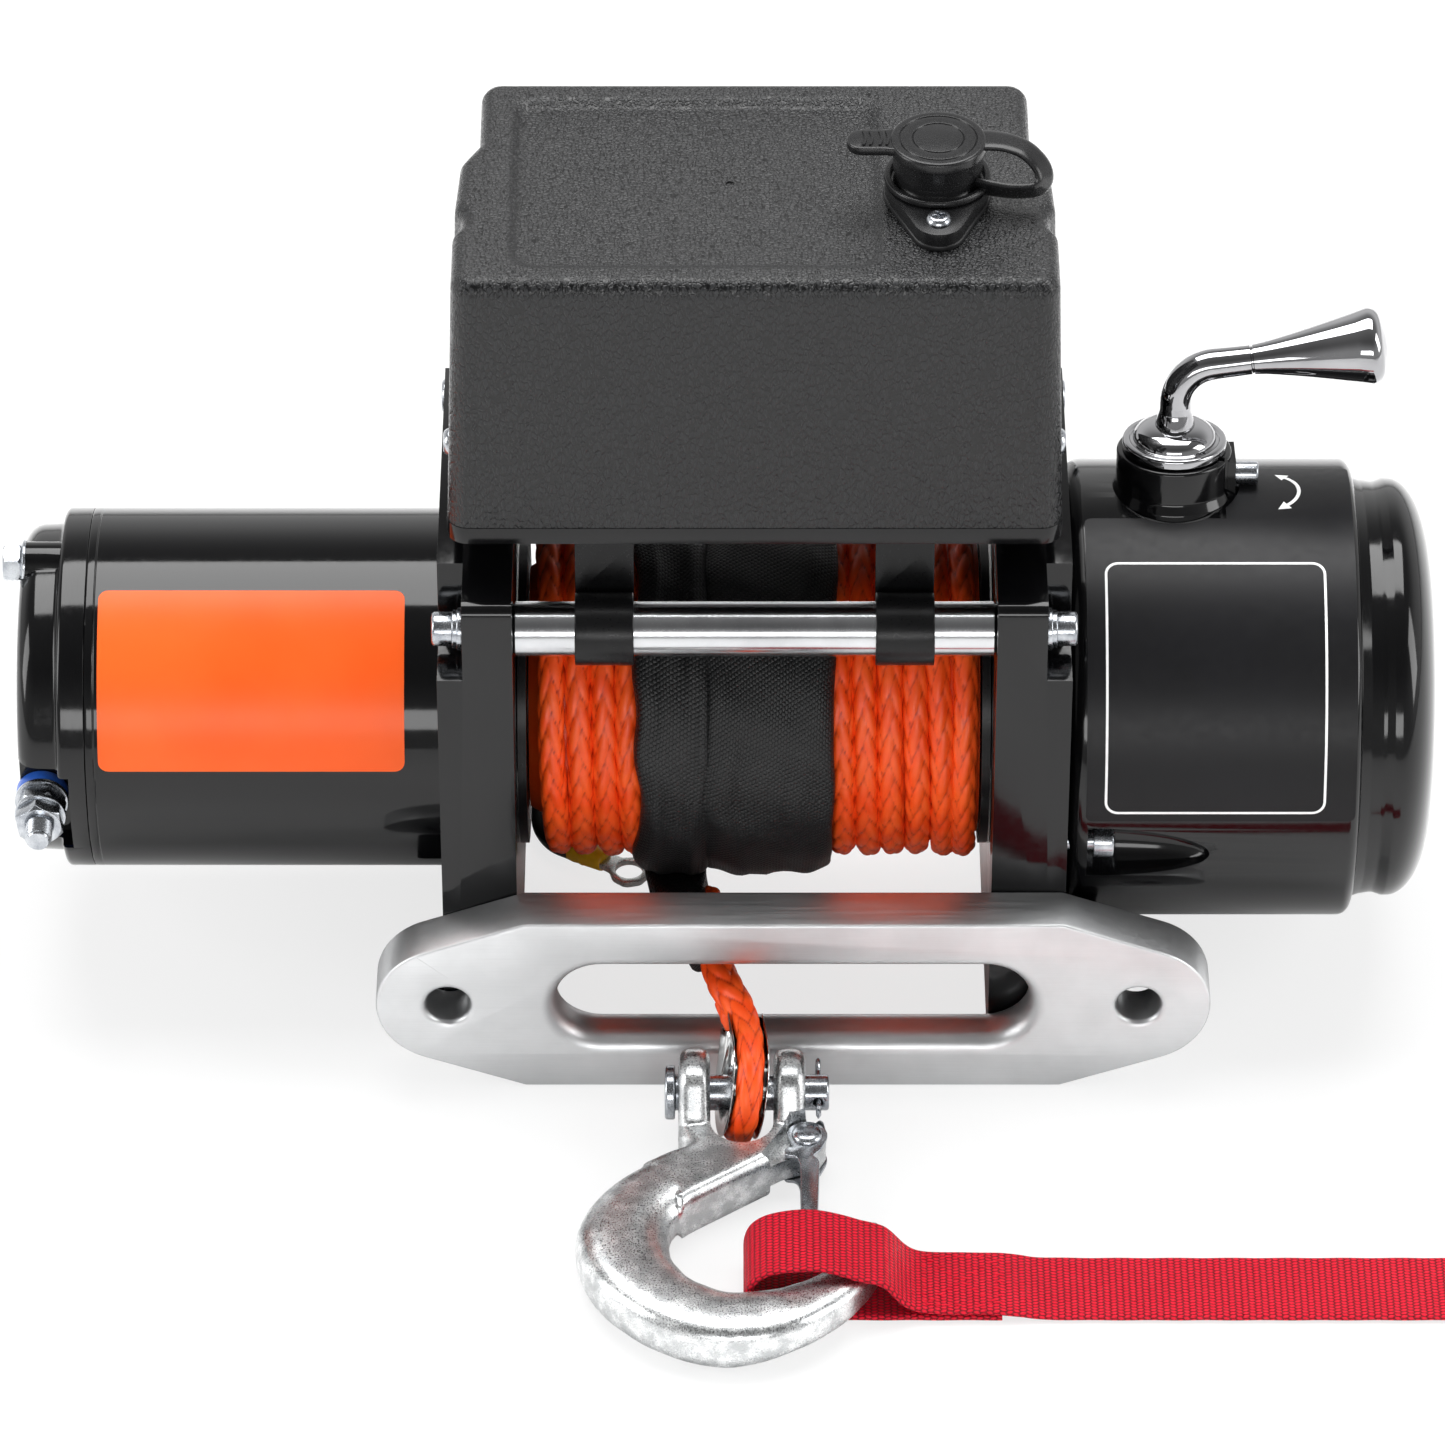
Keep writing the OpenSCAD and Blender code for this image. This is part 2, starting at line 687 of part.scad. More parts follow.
module terminal_studs() color("silver") both_y() terminal_stack() {
    nut_z = insulator_t + terminal_washer_t;
    translate([0, 0, -6]) cylinder(d = terminal_d, h = terminal_len + 6);
    difference() {
        union() {
            translate([0, 0, insulator_t]) cylinder(r = insulator_r - 0.4, h = terminal_washer_t);
            translate([0, 0, nut_z]) hex_bar(terminal_nut_r, terminal_nut_t);
            translate([0, 0, nut_z + terminal_nut_t]) cylinder(r = insulator_r - 0.6, h = terminal_washer_t);
            translate([0, 0, nut_z + terminal_nut_t + terminal_washer_t])
                hex_bar(terminal_nut_r, terminal_nut_t);
        }
        cylinder(d = terminal_d + 2 * thread_gap, h = terminal_len);
    }
}
module terminal_insulators() color("royalblue") both_y() terminal_stack() difference() {
    cylinder(r = insulator_r, h = insulator_t);
    translate([0, 0, -cut]) cylinder(d = terminal_d + 2 * thread_gap, h = insulator_t + 2 * cut);
}
module wrapped_label(body_r, x0, w, mid, sweep) translate([x0, 0, axis_h])
    rotate([sweep / 2 - mid, 0, 0])
    rotate([0, 90, 0])
    rotate([0, 0, 90])
    rotate_extrude(angle = -sweep)
    translate([-body_r - label_edge_gap - label_t, 0])
    square([label_t, w]);
module motor_label() color("orangered")
    wrapped_label(motor_r, motor_x0 + 0.2, motor_label_w, motor_label_mid, motor_label_sweep);

// Gearbox
module housing_bolt_places() for (angle = housing_bolt_angles)
    rotate([-angle, 0, 0])
    translate([0, -housing_bolt_r, 0])
    children();
module gearbox_housing() color("black") on_axis() difference() {
    lathe_x() polygon(concat([[seat_r + 1, outer_x]],
        arc(gearbox_r - housing_shoulder, outer_x + housing_shoulder, housing_shoulder, -90, 0, 6),
        arc(gearbox_r - 3, gearbox_x1 - 3, 3, 0, 90, 4),
        [[gear_bore_r, gearbox_x1], [gear_bore_r, outer_x + housing_wall],
        [seat_r + 1, outer_x + housing_wall]]));
    for (angle = housing_bolt_angles)
        rotate([-angle, 0, 0])
        translate([0, -gearbox_r + housing_pocket_depth, 0])
        rotate([90, 0, 0]) {
            translate([outer_x + housing_pocket_len - housing_pocket_w / 2, 0, 0])
                cylinder(d = housing_pocket_w, h = gearbox_r);
            translate([housing_seat_x, -housing_pocket_w / 2, 0])
                cube([housing_pocket_len - housing_pocket_w / 2 - housing_seat_x + outer_x,
                    housing_pocket_w, gearbox_r]);
        }
    housing_bolt_places() rod_x(housing_bolt_d / 2 + thread_gap, outer_x - cut, housing_seat_x + cut);
    cover_screw_places()
        rod_x(cover_screw_d / 2 + thread_gap, gearbox_x1 - cover_screw_reach - 2, gearbox_x1 + cut);
    clutch_frame() translate([0, 0, gear_bore_r - 8])
        cylinder(r = clutch_shaft_d / 2 + run_gap, h = gearbox_r);
}
module cover_screw_places() for (i = [0:cover_screws - 1])
    rotate([60 * i + 22, 0, 0])
    translate([0, 0, cover_screw_r])
    children();
module gearbox_cover() color("black") on_axis() difference() {
    union() {
        lathe_x() polygon(concat(
            [[0, gearbox_x1], [cover_flange_r, gearbox_x1], [cover_flange_r, gearbox_x1 + cover_flange_t],
            [cover_d / 2, gearbox_x1 + cover_flange_t]],
            arc(cover_d / 2 - cover_edge_r, cover_x1 - cover_edge_r, cover_edge_r, 0, 90, 8),
            [[0, cover_x1]]));
    }
    rod_x(gear_bore_r, gearbox_x1 - cut, cover_cavity_x);
    cover_screw_places() {
        rod_x(cover_screw_d / 2 + thread_gap, gearbox_x1 - cut, cover_seat_x + cut);
        rod_x(cover_head_r + pass_gap, cover_seat_x, cover_x1 + cut);
    }
}
module cap_screw(d, head_r, head_len, x0, seat) difference() {
    union() {
        rod_x(d / 2, x0, seat + cut);
        rod_x(head_r, seat, seat + head_len);
    }
    translate([seat + head_len / 2, 0, 0]) rotate([0, 90, 0]) hex_bar(head_r / 2, head_len);
}
module gearbox_screws() color("silver") {
    on_axis() cover_screw_places()
        cap_screw(cover_screw_d, cover_head_r, cover_head_len, gearbox_x1 - cover_screw_reach, cover_seat_x);
    on_axis() housing_bolt_places()
        cap_screw(housing_bolt_d, bolt_head_r, bolt_head_len,
            outer_x - housing_bolt_reach + 2, housing_seat_x);
    on_axis() clutch_frame() translate([collar_d / 2 + 1, 0, collar_top_r - 8.5])
        cap_screw(set_screw_r * 1.2, set_screw_r, set_screw_len, -8, 0);
}
module ring_gear() color("gray") on_axis() translate([ring_x0, 0, 0]) rotate([0, 90, 0]) difference() {
    cylinder(r = gear_bore_r - thread_gap, h = ring_x1 - ring_x0);
    translate([0, 0, -cut])
        linear_extrude(ring_x1 - ring_x0 + 2 * cut)
        polygon(gear_points(ring_teeth, ring_r + ded_k * gear_m, ring_r - add_k * gear_m, -backlash));
}
module gearbox_label() color("dimgray") difference() {
    wrapped_label(gearbox_r, gear_label_x, gear_label_w, gear_label_mid, gear_label_sweep);
    on_axis() clutch_frame() translate([0, 0, gearbox_r - 12])
        cylinder(r = collar_d / 2 + 2.5, h = 24);
}

// Planetary stages: drawn along Z with the plate below, then laid along the drum axis
module planet_places() for (i = [0:planet_count - 1])
    rotate([0, 0, 120 * i]) translate([centre_d, 0, 0]) children();
module sun_gear(w) linear_extrude(w)
    polygon(gear_points(sun_teeth, sun_r + add_k * gear_m, sun_r - ded_k * gear_m, backlash));
// A carrier's plate lies on the drum side of its planets, with the next stage's sun gear on it
module carrier(stage_x, sun_reach) on_axis() translate([stage_x, 0, 0]) rotate([0, 90, 0]) difference() {
    union() {
        translate([0, 0, -plate_t - stage_gap]) cylinder(r = carrier_r, h = plate_t);
        translate([0, 0, -stage_gap - cut]) planet_places()
            cylinder(d = planet_pin_d, h = gear_w + stage_gap + cut);
        if (sun_reach > 0)
            translate([0, 0, -plate_t - stage_gap - sun_reach]) sun_gear(sun_reach + cut);
    }
    translate([0, 0, -plate_t - stage_gap - sun_reach - cut])
        cylinder(r = shaft_bore_r, h = plate_t + stage_gap + sun_reach + 3 * cut);
}
module carrier_1() color("silver") carrier(stage1_x, gear_w + stage_gap);
module carrier_2() color("silver") carrier(stage2_x, gear_w + stage_gap);
module carrier_3() color("silver") {
    carrier(stage3_x, 0);
    on_axis() difference() {
        translate([dog_face_x + 2, 0, 0])
            rotate([0, 90, 0])
            hex_bar(hex_drive_r, stage3_x - stage_gap - plate_t - dog_face_x - 2 + cut / 2);
        rod_x(shaft_bore_r, dog_face_x, stage3_x);
    }
}
module planet(stage_x, i) color("gray") on_axis() translate([stage_x, 0, 0]) rotate([0, 90, 0])
    rotate([0, 0, 120 * i]) translate([centre_d, 0, 0]) difference() {
        linear_extrude(gear_w)
            polygon(gear_points(planet_teeth, planet_r + add_k * gear_m,
                planet_r - ded_k * gear_m, backlash));
        translate([0, 0, -cut]) cylinder(r = planet_pin_d / 2 + run_gap, h = gear_w + 2 * cut);
    }

// Clutch
module clutch_frame() translate([clutch_axis_x, 0, 0]) rotate([-clutch_lean, 0, 0]) children();
module clutch_collar() color("black") on_axis() clutch_frame() difference() {
    union() {
        translate([0, 0, gear_bore_r + 8]) cylinder(d = collar_d, h = collar_top_r - gear_bore_r - 8);
        translate([0, -lug_w / 2, gearbox_r - 4])
            cube([collar_d / 2 + 1, lug_w, collar_top_r - gearbox_r + 2.5]);
    }
    rotate([clutch_lean, 0, 0])
        translate([-clutch_axis_x, 0, 0])
        rod_x(gearbox_r + label_edge_gap, outer_x, gearbox_x1);
    translate([0, 0, gear_bore_r]) cylinder(r = clutch_shaft_d / 2 + run_gap, h = 2 * gearbox_r);
    translate([0, 0, collar_top_r - 8.5]) rod_x(set_screw_r * 0.6 + thread_gap, 0, collar_d);
}
module clutch_shaft() color("silver") on_axis() clutch_frame() {
    translate([0, 0, slider_r + 2]) cylinder(d = clutch_shaft_d, h = collar_top_r + 3 - slider_r - 2);
    rotate([0, 0, clutch_rest_turn])
        translate([eccentric, 0, crank_pin_reach])
        cylinder(r = crank_pin_r, h = slider_r + 2 - crank_pin_reach + cut);
}
module lever_tube(r0, r1, h) cylinder(r1 = r0, r2 = r1, h = h);
module clutch_lever() color("silver") on_axis() clutch_frame() {
    base_z = collar_top_r + pass_gap;
    difference() {
        union() {
            translate([0, 0, base_z]) cylinder(r = lever_ring_r, h = lever_ring_t);
            translate([0, 0, base_z + lever_ring_t])
                rotate_extrude()
                polygon(concat([[0, 0]], [for (a = [0:15:90]) [dome_r * cos(a), dome_h * sin(a)]]));
            translate([0, 0, base_z + lever_ring_t + dome_h - 1.5])
                cylinder(r = lever_bar_r + 0.4, h = lever_rise - dome_h + 2.5 - lever_ring_t);
            translate([lever_bend_r, 0, base_z + lever_rise])
                rotate([90, 0, 0])
                rotate([0, 0, 180])
                rotate_extrude(angle = -90 + lever_slope)
                translate([lever_bend_r, 0])
                circle(r = lever_bar_r);
            translate([lever_bend_r, 0, base_z + lever_rise])
                rotate([0, 90 - lever_slope, 0])
                translate([-lever_bend_r, 0, 0]) {
                    translate([0, 0, -cut])
                        lever_tube(lever_bar_r + 0.3, lever_bar_r - 0.4, lever_bar_len + cut);
                    translate([0, 0, lever_bar_len])
                        lever_tube(lever_bar_r - 0.4, lever_bar_r + 1.6, handle_len / 2);
                    translate([0, 0, lever_bar_len + handle_len / 2])
                        lever_tube(lever_bar_r + 1.6, handle_end_r, handle_len / 2);
                }
        }
        cylinder(d = clutch_shaft_d + thread_gap, h = collar_top_r + 3.1);
    }
}
module dog_sector(r0, r1, half, x0, len) translate([x0, 0, 0]) rotate([0, 90, 0]) for (i = [0:dog_count - 1])
    rotate([0, 0, 90 * i - half])
    rotate_extrude(angle = 2 * half)
    translate([r0, 0])
    square([r1 - r0, len]);
module clutch_slider() color("gray") on_axis() difference() {
    union() {
        rod_x(slider_r, slider_x, slider_x + slider_len);
        dog_sector(dog_in_r, slider_r - dog_rim, dog_half_angle, slider_x - dog_len, dog_len + cut);
    }
    translate([slider_x - 2 * cut, 0, 0])
        rotate([0, 90, 0])
        hex_bar(hex_drive_r + pass_gap, slider_len + 4 * cut);
    ring_x(slider_r + cut, slider_r - groove_depth, groove_x - groove_w / 2, groove_x + groove_w / 2);
}

// Drum
module drum() color("dimgray") on_axis() difference() {
    union() {
        rod_x(barrel_d / 2, -flange_x, flange_x);
        for (side = [0, 1]) mirror([side, 0, 0]) rod_x(flange_d / 2, wrap_edge, flange_x);
        rod_x(journal_r, left_journal_x, dog_face_x);
    }
    rod_x(barrel_bore_d / 2, -wrap_edge, wrap_edge);
    rod_x(hex_drive_r + 2, wrap_edge - cut, dog_face_x + cut);
    rod_x(drive_r + 3, left_journal_x - cut, 0);
    dog_sector(dog_in_r - pass_gap, slider_r - dog_rim + pass_gap, dog_half_angle + dog_slack,
        dog_face_x - dog_travel, dog_travel + cut);
}
module rope_wraps() color("orangered") on_axis() difference() {
    union() {
        rod_x(top_layer_r, -wrap_edge, wrap_edge);
        for (i = [0:left_wraps - 1])
            translate([sleeve_x0 - rope_d / 2 - wrap_pitch * i, 0, 0])
            lathe_x() translate([top_layer_r, 0]) circle(r = rope_d / 2);
        for (i = [0:right_wraps - 1])
            translate([sleeve_x1 + rope_d / 2 + wrap_pitch * i, 0, 0])
            lathe_x() translate([top_layer_r, 0]) circle(r = rope_d / 2);
    }
    rod_x(barrel_d / 2, -inner_x, inner_x);
}
module rope_sleeve() color("black") on_axis()
    ring_x(top_layer_r + sleeve_t + 4.3, top_layer_r, sleeve_x0, sleeve_x1);
module rotor_shaft() color("silver") on_axis() {
    rod_x(shaft_r, motor_x0 - 1 - motor_bush_len, -outer_x + web_t);
    rod_x(drive_r, -outer_x + web_t - cut, stage1_x + gear_w);
    translate([stage1_x, 0, 0]) rotate([0, 90, 0]) sun_gear(gear_w + stage_gap);
}
module rotor_core() color("brown") on_axis() difference() {
    union() {
        rod_x(core_r, core_x0, core_x0 + core_len);
        rod_x(core_r - 8, core_x0 - 8, core_x0 + core_len + 8);
    }
    rod_x(shaft_r, core_x0 - 9, core_x0 + core_len + 9);
    for (i = [0:core_slots - 1])
        rotate([360 / core_slots * i, 0, 0])
        translate([core_x0 - cut, -1.2, core_r - 6])
        cube([core_len + 2 * cut, 2.4, 8]);
}
module commutator() color("chocolate") on_axis() difference() {
    rod_x(commutator_r, commutator_x0, commutator_x0 + commutator_len - 4);
    rod_x(shaft_r, commutator_x0 - cut, commutator_x0 + commutator_len);
    for (i = [0:segment_count - 1])
        rotate([360 / segment_count * i, 0, 0])
        translate([commutator_x0 - cut, -segment_slot / 2, commutator_r - 1])
        cube([commutator_len, segment_slot, 2]);
}
module drum_brake() color("gray") on_axis() {
    ring_x(12, drive_r, -46, -18);
    for (i = [0:2])
        rotate([120 * i, 0, 0])
        translate([-44, 0, 0])
        rotate([0, 90, 0])
        rotate([0, 0, -50])
        rotate_extrude(angle = 100)
        translate([12, 0])
        square([barrel_bore_d / 2 - pass_gap - 12, 24]);
}

// Control box
module box_outline(shrink) {
    half = box_w / 2 - shrink;
    deep = box_d / 2 - shrink;
    c = box_corner_r;
    right = concat(arc(half - c, -deep + c, c, -90, 0, 6),
        [[half, -15]], arc(half - flute_mid - 1 - c, -15 + c, c, 0, 30, 1),
        [[half - flute_mid, 10]], arc(half - flute_mid - 5 - c, 12 + c / 2, c, 10, 40, 2),
        [[half - flute_rear, 24]], arc(half - flute_rear - c, deep - c, c, 0, 90, 6));
    polygon(concat(right, [for (i = [len(right) - 1:-1:0]) [-right[i][0], right[i][1]]]));
}
module box_tray() color("black") difference() {
    translate([0, 0, tray_z]) linear_extrude(tray_lip) box_outline(0);
    translate([0, 0, tray_z + tray_t]) linear_extrude(tray_lip) box_outline(2 * box_wall);
}
module box_cover() color([0.12, 0.12, 0.12]) difference() {
    translate([0, 0, cover_z]) linear_extrude(box_top_z - cover_z, scale = box_taper) box_outline(0);
    translate([0, 0, cover_z - cut])
        linear_extrude(box_top_z - cover_z - box_wall + cut, scale = box_taper)
        box_outline(box_wall);
    translate([0, box_screw_y, cover_z + box_screw_z])
        rod_x(box_screw_r / 2 + thread_gap, -box_w, box_w);
    translate([panel_x0, -panel_y, box_top_z - panel_depth])
        cube([panel_x1 - panel_x0, 2 * panel_y, panel_depth + cut]);
}
module box_screws() color("silver") {
    for (side = [0, 1])
        mirror([side, 0, 0])
        translate([box_w / 2, box_screw_y, cover_z + box_screw_z])
        rotate([0, 90, 0]) {
            cylinder(r1 = box_screw_r, r2 = box_screw_r - 1, h = 2.4);
            translate([0, 0, -4]) cylinder(r = box_screw_r / 2, h = 4 + cut);
        }
    for (side = [-1, 1])
        translate([socket_x, socket_y + side * socket_ear_y, box_top_z + gasket_t + socket_flange_t])
        cylinder(r1 = box_screw_r, r2 = box_screw_r - 1, h = 2);
}
module box_bracket() {
    ring_r = rod_d / 2 + bracket_gap;
    difference() {
        union() {
            rod_x(ring_r + bracket_t, -bracket_w / 2, bracket_w / 2);
            translate([-bracket_w / 2, ring_r, 0]) cube([bracket_w, bracket_t, tray_rise]);
            translate([-bracket_w / 2, ring_r, tray_rise - bracket_t])
                cube([bracket_w, bracket_foot, bracket_t]);
        }
        rod_x(ring_r, -bracket_w, bracket_w);
    }
}
module box_brackets() color("black") both_y() for (side = [-1, 1])
    translate([side * bracket_x, -rod_y, rod_z])
    box_bracket();
module contactor() color("dimgray") translate([contactor_x, 0, tray_z + tray_t]) {
    translate([-contactor_size[0] / 2, -contactor_size[1] / 2, 0]) cube(contactor_size);
    for (sx = [-1, 1], sy = [-1, 1])
        translate([sx * 26, sy * 14, contactor_size[2] - cut])
        cylinder(d = 6, h = 12 + cut);
}
module socket_plate(h) linear_extrude(h) hull() {
    circle(r = socket_neck_r, $fn = soft_fn);
    for (side = [-1, 1]) translate([0, side * socket_ear_y]) circle(r = socket_ear_r, $fn = soft_fn);
}
module control_socket() color([0.1, 0.1, 0.1]) translate([socket_x, socket_y, box_top_z]) difference() {
    union() {
        socket_plate(gasket_t + socket_flange_t);
        translate([0, 0, gasket_t]) cylinder(r = socket_r, h = socket_flange_t + socket_rise);
    }
    translate([0, 0, gasket_t + socket_flange_t + socket_rise - socket_bore_depth])
        cylinder(r = socket_bore_r, h = socket_bore_depth + cut);
}
module socket_cap() color([0.15, 0.15, 0.15])
    translate([socket_x, socket_y, box_top_z + gasket_t + socket_flange_t + socket_rise + pass_gap]) {
        difference() {
            union() {
                translate([0, 0, -cap_skirt]) cylinder(r = cap_r, h = cap_skirt + cap_top_t);
                translate([-cap_r - tab_len, -tab_w / 2, 0]) cube([tab_len + 3, tab_w, cap_top_t]);
            }
            translate([0, 0, -cap_skirt - cut]) cylinder(r = socket_r + pass_gap, h = cap_skirt + cut);
        }
        translate([0, 0, -cap_skirt + 1]) cylinder(r = cap_plug_r, h = cap_skirt);
    }

// Fairlead
module fairlead_outline() {
    flat = fair_top_half;
    right_x = fair_hole_dx / 2;
    top_a = tangent_angle(flat, fair_h, right_x, fair_hole_z, fair_end_r, -1);
    low_a = tangent_angle(flat, 0, right_x, fair_hole_z, fair_end_r, 1);
    end = arc(right_x, fair_hole_z, fair_end_r, low_a, top_a, 14);
    half = concat([[flat, 0]], end, [[flat, fair_h]]);
    polygon(concat(half, [for (i = [len(half) - 1:-1:0]) [-half[i][0], half[i][1]]]));
}
module slot_prism(grow, y0, y1) for (side = [-1, 1])
    translate([side * (slot_w - slot_h) / 2, y0, 0])
    rotate([-90, 0, 0])
    cylinder(r = slot_h / 2 + grow, h = y1 - y0);
module fairlead() color("lightgray") translate([fair_x, 0, 0]) difference() {
    translate([0, front_y, 0]) rotate([90, 0, 0]) linear_extrude(fair_t) fairlead_outline();
    translate([0, 0, fair_hole_z]) {
        slot_prism(0, fair_y0 - cut, front_y + cut);
        translate([-(slot_w - slot_h) / 2, fair_y0 - cut, -slot_h / 2])
            cube([slot_w - slot_h, fair_t + 2 * cut, slot_h]);
        slot_lip_cut(fair_y0, 1);
        slot_lip_cut(front_y, -1);
        for (side = [-1, 1]) translate([side * fair_hole_dx / 2, 0, 0]) {
            translate([0, fair_y0 - cut, 0]) rotate([-90, 0, 0])
                cylinder(d = fair_hole_d, h = fair_t + 2 * cut);
            translate([0, fair_y0 - cut, 0]) rotate([-90, 0, 0])
                cylinder(r1 = fair_hole_d / 2 + 1.2 + cut, r2 = fair_hole_d / 2, h = 1.2 + cut);
        }
    }
}
module slot_lip_cut(y, dir) {
    wide = slot_h / 2 + lip_slope * (slot_lip + cut);
    for (side = [-1, 1])
        translate([side * (slot_w - slot_h) / 2, y - dir * cut, 0])
        rotate([-90 * dir, 0, 0])
        cylinder(r1 = wide, r2 = slot_h / 2, h = slot_lip + cut);
    translate([-(slot_w - slot_h) / 2, 0, 0])
        rotate([90, 0, 90])
        linear_extrude(slot_w - slot_h)
        polygon([[y - dir * cut, wide], [y + dir * slot_lip, slot_h / 2],
            [y + dir * slot_lip, -slot_h / 2], [y - dir * cut, -wide]]);
}

// Rope end and thimble
module rope_free() color("orangered") sweep_tube(rope_route, rope_d / 2, 10);
module eye_frame() translate([hook_x, eye_y, eye_z])
    rotate([eye_pitch, 0, 0])
    rotate([0, eye_tilt, 0])
    rotate([0, 90, 0])
    children();
module channel_profile() difference() {
    translate([eye_r - groove_r - thimble_wall, -thimble_side])
        square([groove_r + thimble_wall + thimble_depth - 0.5, 2 * thimble_side]);
    translate([eye_r, 0]) circle(r = groove_r);
    translate([eye_r, -groove_r]) square([2 * groove_r, 2 * groove_r]);
}
module thimble() color("silver") eye_frame() {
    rotate([0, 0, -90 - eye_sweep / 2]) rotate_extrude(angle = eye_sweep) channel_profile();
    for (side = [0, 1])
        mirror([side, 0, 0])
        thimble_leg();
}
module thimble_leg() rotate([0, 0, -90 + eye_sweep / 2])
    rotate([-90, 0, 0])
    mirror([0, 1, 0])
    linear_extrude(eye_leg)
    channel_profile();

// Hook, drawn about the clevis pin, and its latch
module hook_frame() translate([hook_x, pin_y, 0]) children();
function edge_points(table, a0, a1, n) = [for (i = [0:n])
    let (a = a0 + (a1 - a0) * i / n, r = -edge_radius(table, a))
    [bowl_x + r * cos(a), bowl_y + r * sin(a)]];
function edge_radius(table, a) = -lookup(a, table);
module hook_outline() polygon(concat(
    edge_points(outer_edge, 19, -253, 34),
    [[-18.5, -13], [24.5, -13], [24.7, -18], [22, -21.5], [11.7, -26.1]],
    edge_points(inner_edge, -240, 19, 32)));
module hook() color("silver") hook_frame() difference() {
    union() {
        difference() {
            linear_extrude(hook_t) hook_outline();
            translate([strap_left + 2, -120, -cut]) cube([60, 70, tip_lift + cut]);
            along_x(14, 50) polygon(concat(tip_fall, [[-45, 2 * hook_t], [-90, 2 * hook_t]]));
        }
        for (side = [-1, 1])
            translate([side * (ear_gap + ear_t) / 2, 0, 0]) {
                translate([0, 0, pin_z]) rod_x(ear_r, -ear_t / 2, ear_t / 2);
                along_x(-ear_t / 2, ear_t / 2) polygon([[0, pin_z - ear_r], [-ear_fall, 0],
                    [-ear_fall - 6, 0], [-ear_fall - 6, hook_t], [-ear_fall, hook_t],
                    [-8, pin_z + 10.2], [0, pin_z + ear_r - 0.5]]);
            }
    }
    translate([0, 0, pin_z]) {
        rod_x(crotch_r, -ear_gap / 2, ear_gap / 2);
        rod_x(pin_d / 2 + run_gap, -40, 40);
    }
    translate([latch_x, latch_y, 0]) {
        translate([0, 0, -cut]) cylinder(r = rivet_r + thread_gap, h = 2 * hook_t);
        translate([0, 0, lug_z1]) cylinder(r = spring_in_r + 2 * spring_wire + pass_gap, h = hook_t);
        translate([0, 0, -cut]) latch_relief(latch_z0 + latch_sheet + latch_slack + cut);
        translate([0, 0, latch_z1 - latch_sheet - latch_slack]) latch_relief(hook_t);
    }
}
// Room that the latch's cheeks sweep, from shut to open
module latch_relief(h) {
    r = latch_root_r + latch_slack;
    shut = latch_angle;
    open = latch_angle - latch_swing;
    reach = latch_len + 2;
    linear_extrude(h) polygon(concat(
        arc(0, 0, r, shut - 270, open - 90, 12),
        [[reach * cos(open) + r * cos(open - 90), reach * sin(open) + r * sin(open - 90)],
        [reach * cos((open + shut) / 2) * 1.1, reach * sin((open + shut) / 2) * 1.1],
        [reach * cos(shut) + r * cos(shut + 90), reach * sin(shut) + r * sin(shut + 90)]]));
}
module clevis_pin() color("silver") hook_frame() translate([0, 0, pin_z]) difference() {
    union() {
        rod_x(pin_d / 2, -ear_gap / 2 - ear_t - 1, ear_gap / 2 + ear_t + pin_tail);
        rod_x(pin_head_r, -ear_gap / 2 - ear_t - pass_gap - pin_head_t, -ear_gap / 2 - ear_t - pass_gap);
    }
    translate([cotter_x, 0, 0]) rotate([cotter_turn, 0, 0]) translate([0, 0, -20])
        cylinder(d = cotter_d + 2 * thread_gap, h = 40);
}
module cotter_pin() color("silver") hook_frame() translate([cotter_x, 0, pin_z]) rotate([cotter_turn, 0, 0]) {
    translate([0, 0, -cotter_len / 2 + 0.5]) cylinder(d = cotter_d, h = cotter_len - 2.5);
    translate([0, 0, cotter_len / 2 - 0.5])
        rotate([90, 0, 0])
        rotate_extrude()
        translate([2.2, 0])
        circle(d = cotter_d - 0.4);
}
module latch_outline(half) polygon(concat(
    arc(0, 0, latch_root_r, 90, 270, 10), [[latch_len * 0.4, -half], [latch_len - 3, -half + 1]],
    arc(latch_len - 2, 0, half - 1, -80, 80, 6), [[latch_len * 0.4, half]]));
module latch_frame() hook_frame() translate([latch_x, latch_y, 0]) children();
module hook_latch() color("silver") latch_frame() rotate([0, 0, latch_rest]) difference() {
    translate([0, 0, latch_z0]) linear_extrude(latch_z1 - latch_z0) latch_outline(latch_w / 2);
    translate([0, 0, latch_z0 + latch_sheet]) linear_extrude(latch_z1 - latch_z0 - 2 * latch_sheet)
        polygon([[-9, -9], [latch_len - 5, -9], [latch_len - 5, latch_w / 2 - latch_sheet],
            [9.5, latch_w / 2 - latch_sheet], [9.5, 9], [-9, 9]]);
    cylinder(r = rivet_r + run_gap, h = hook_t + 4);
}
module latch_rivet() color("silver") latch_frame() {
    translate([0, 0, latch_z0 - rivet_head_h / 2])
        cylinder(r = rivet_r, h = latch_z1 - latch_z0 + rivet_head_h);
    translate([0, 0, latch_z1 + 0.1]) cylinder(r1 = rivet_head_r, r2 = rivet_head_r - 1.6, h = rivet_head_h);
    translate([0, 0, latch_z0 - rivet_head_h - 0.1]) cylinder(r = rivet_head_r - 1, h = rivet_head_h);
}
module latch_spring() color("silver") latch_frame() {
    difference() {
        translate([0, 0, lug_z1 + pass_gap])
            cylinder(r = spring_in_r + 2 * spring_wire, h = latch_z1 - latch_sheet - lug_z1 - 2 * pass_gap);
        cylinder(r = spring_in_r, h = hook_t);
    }
}

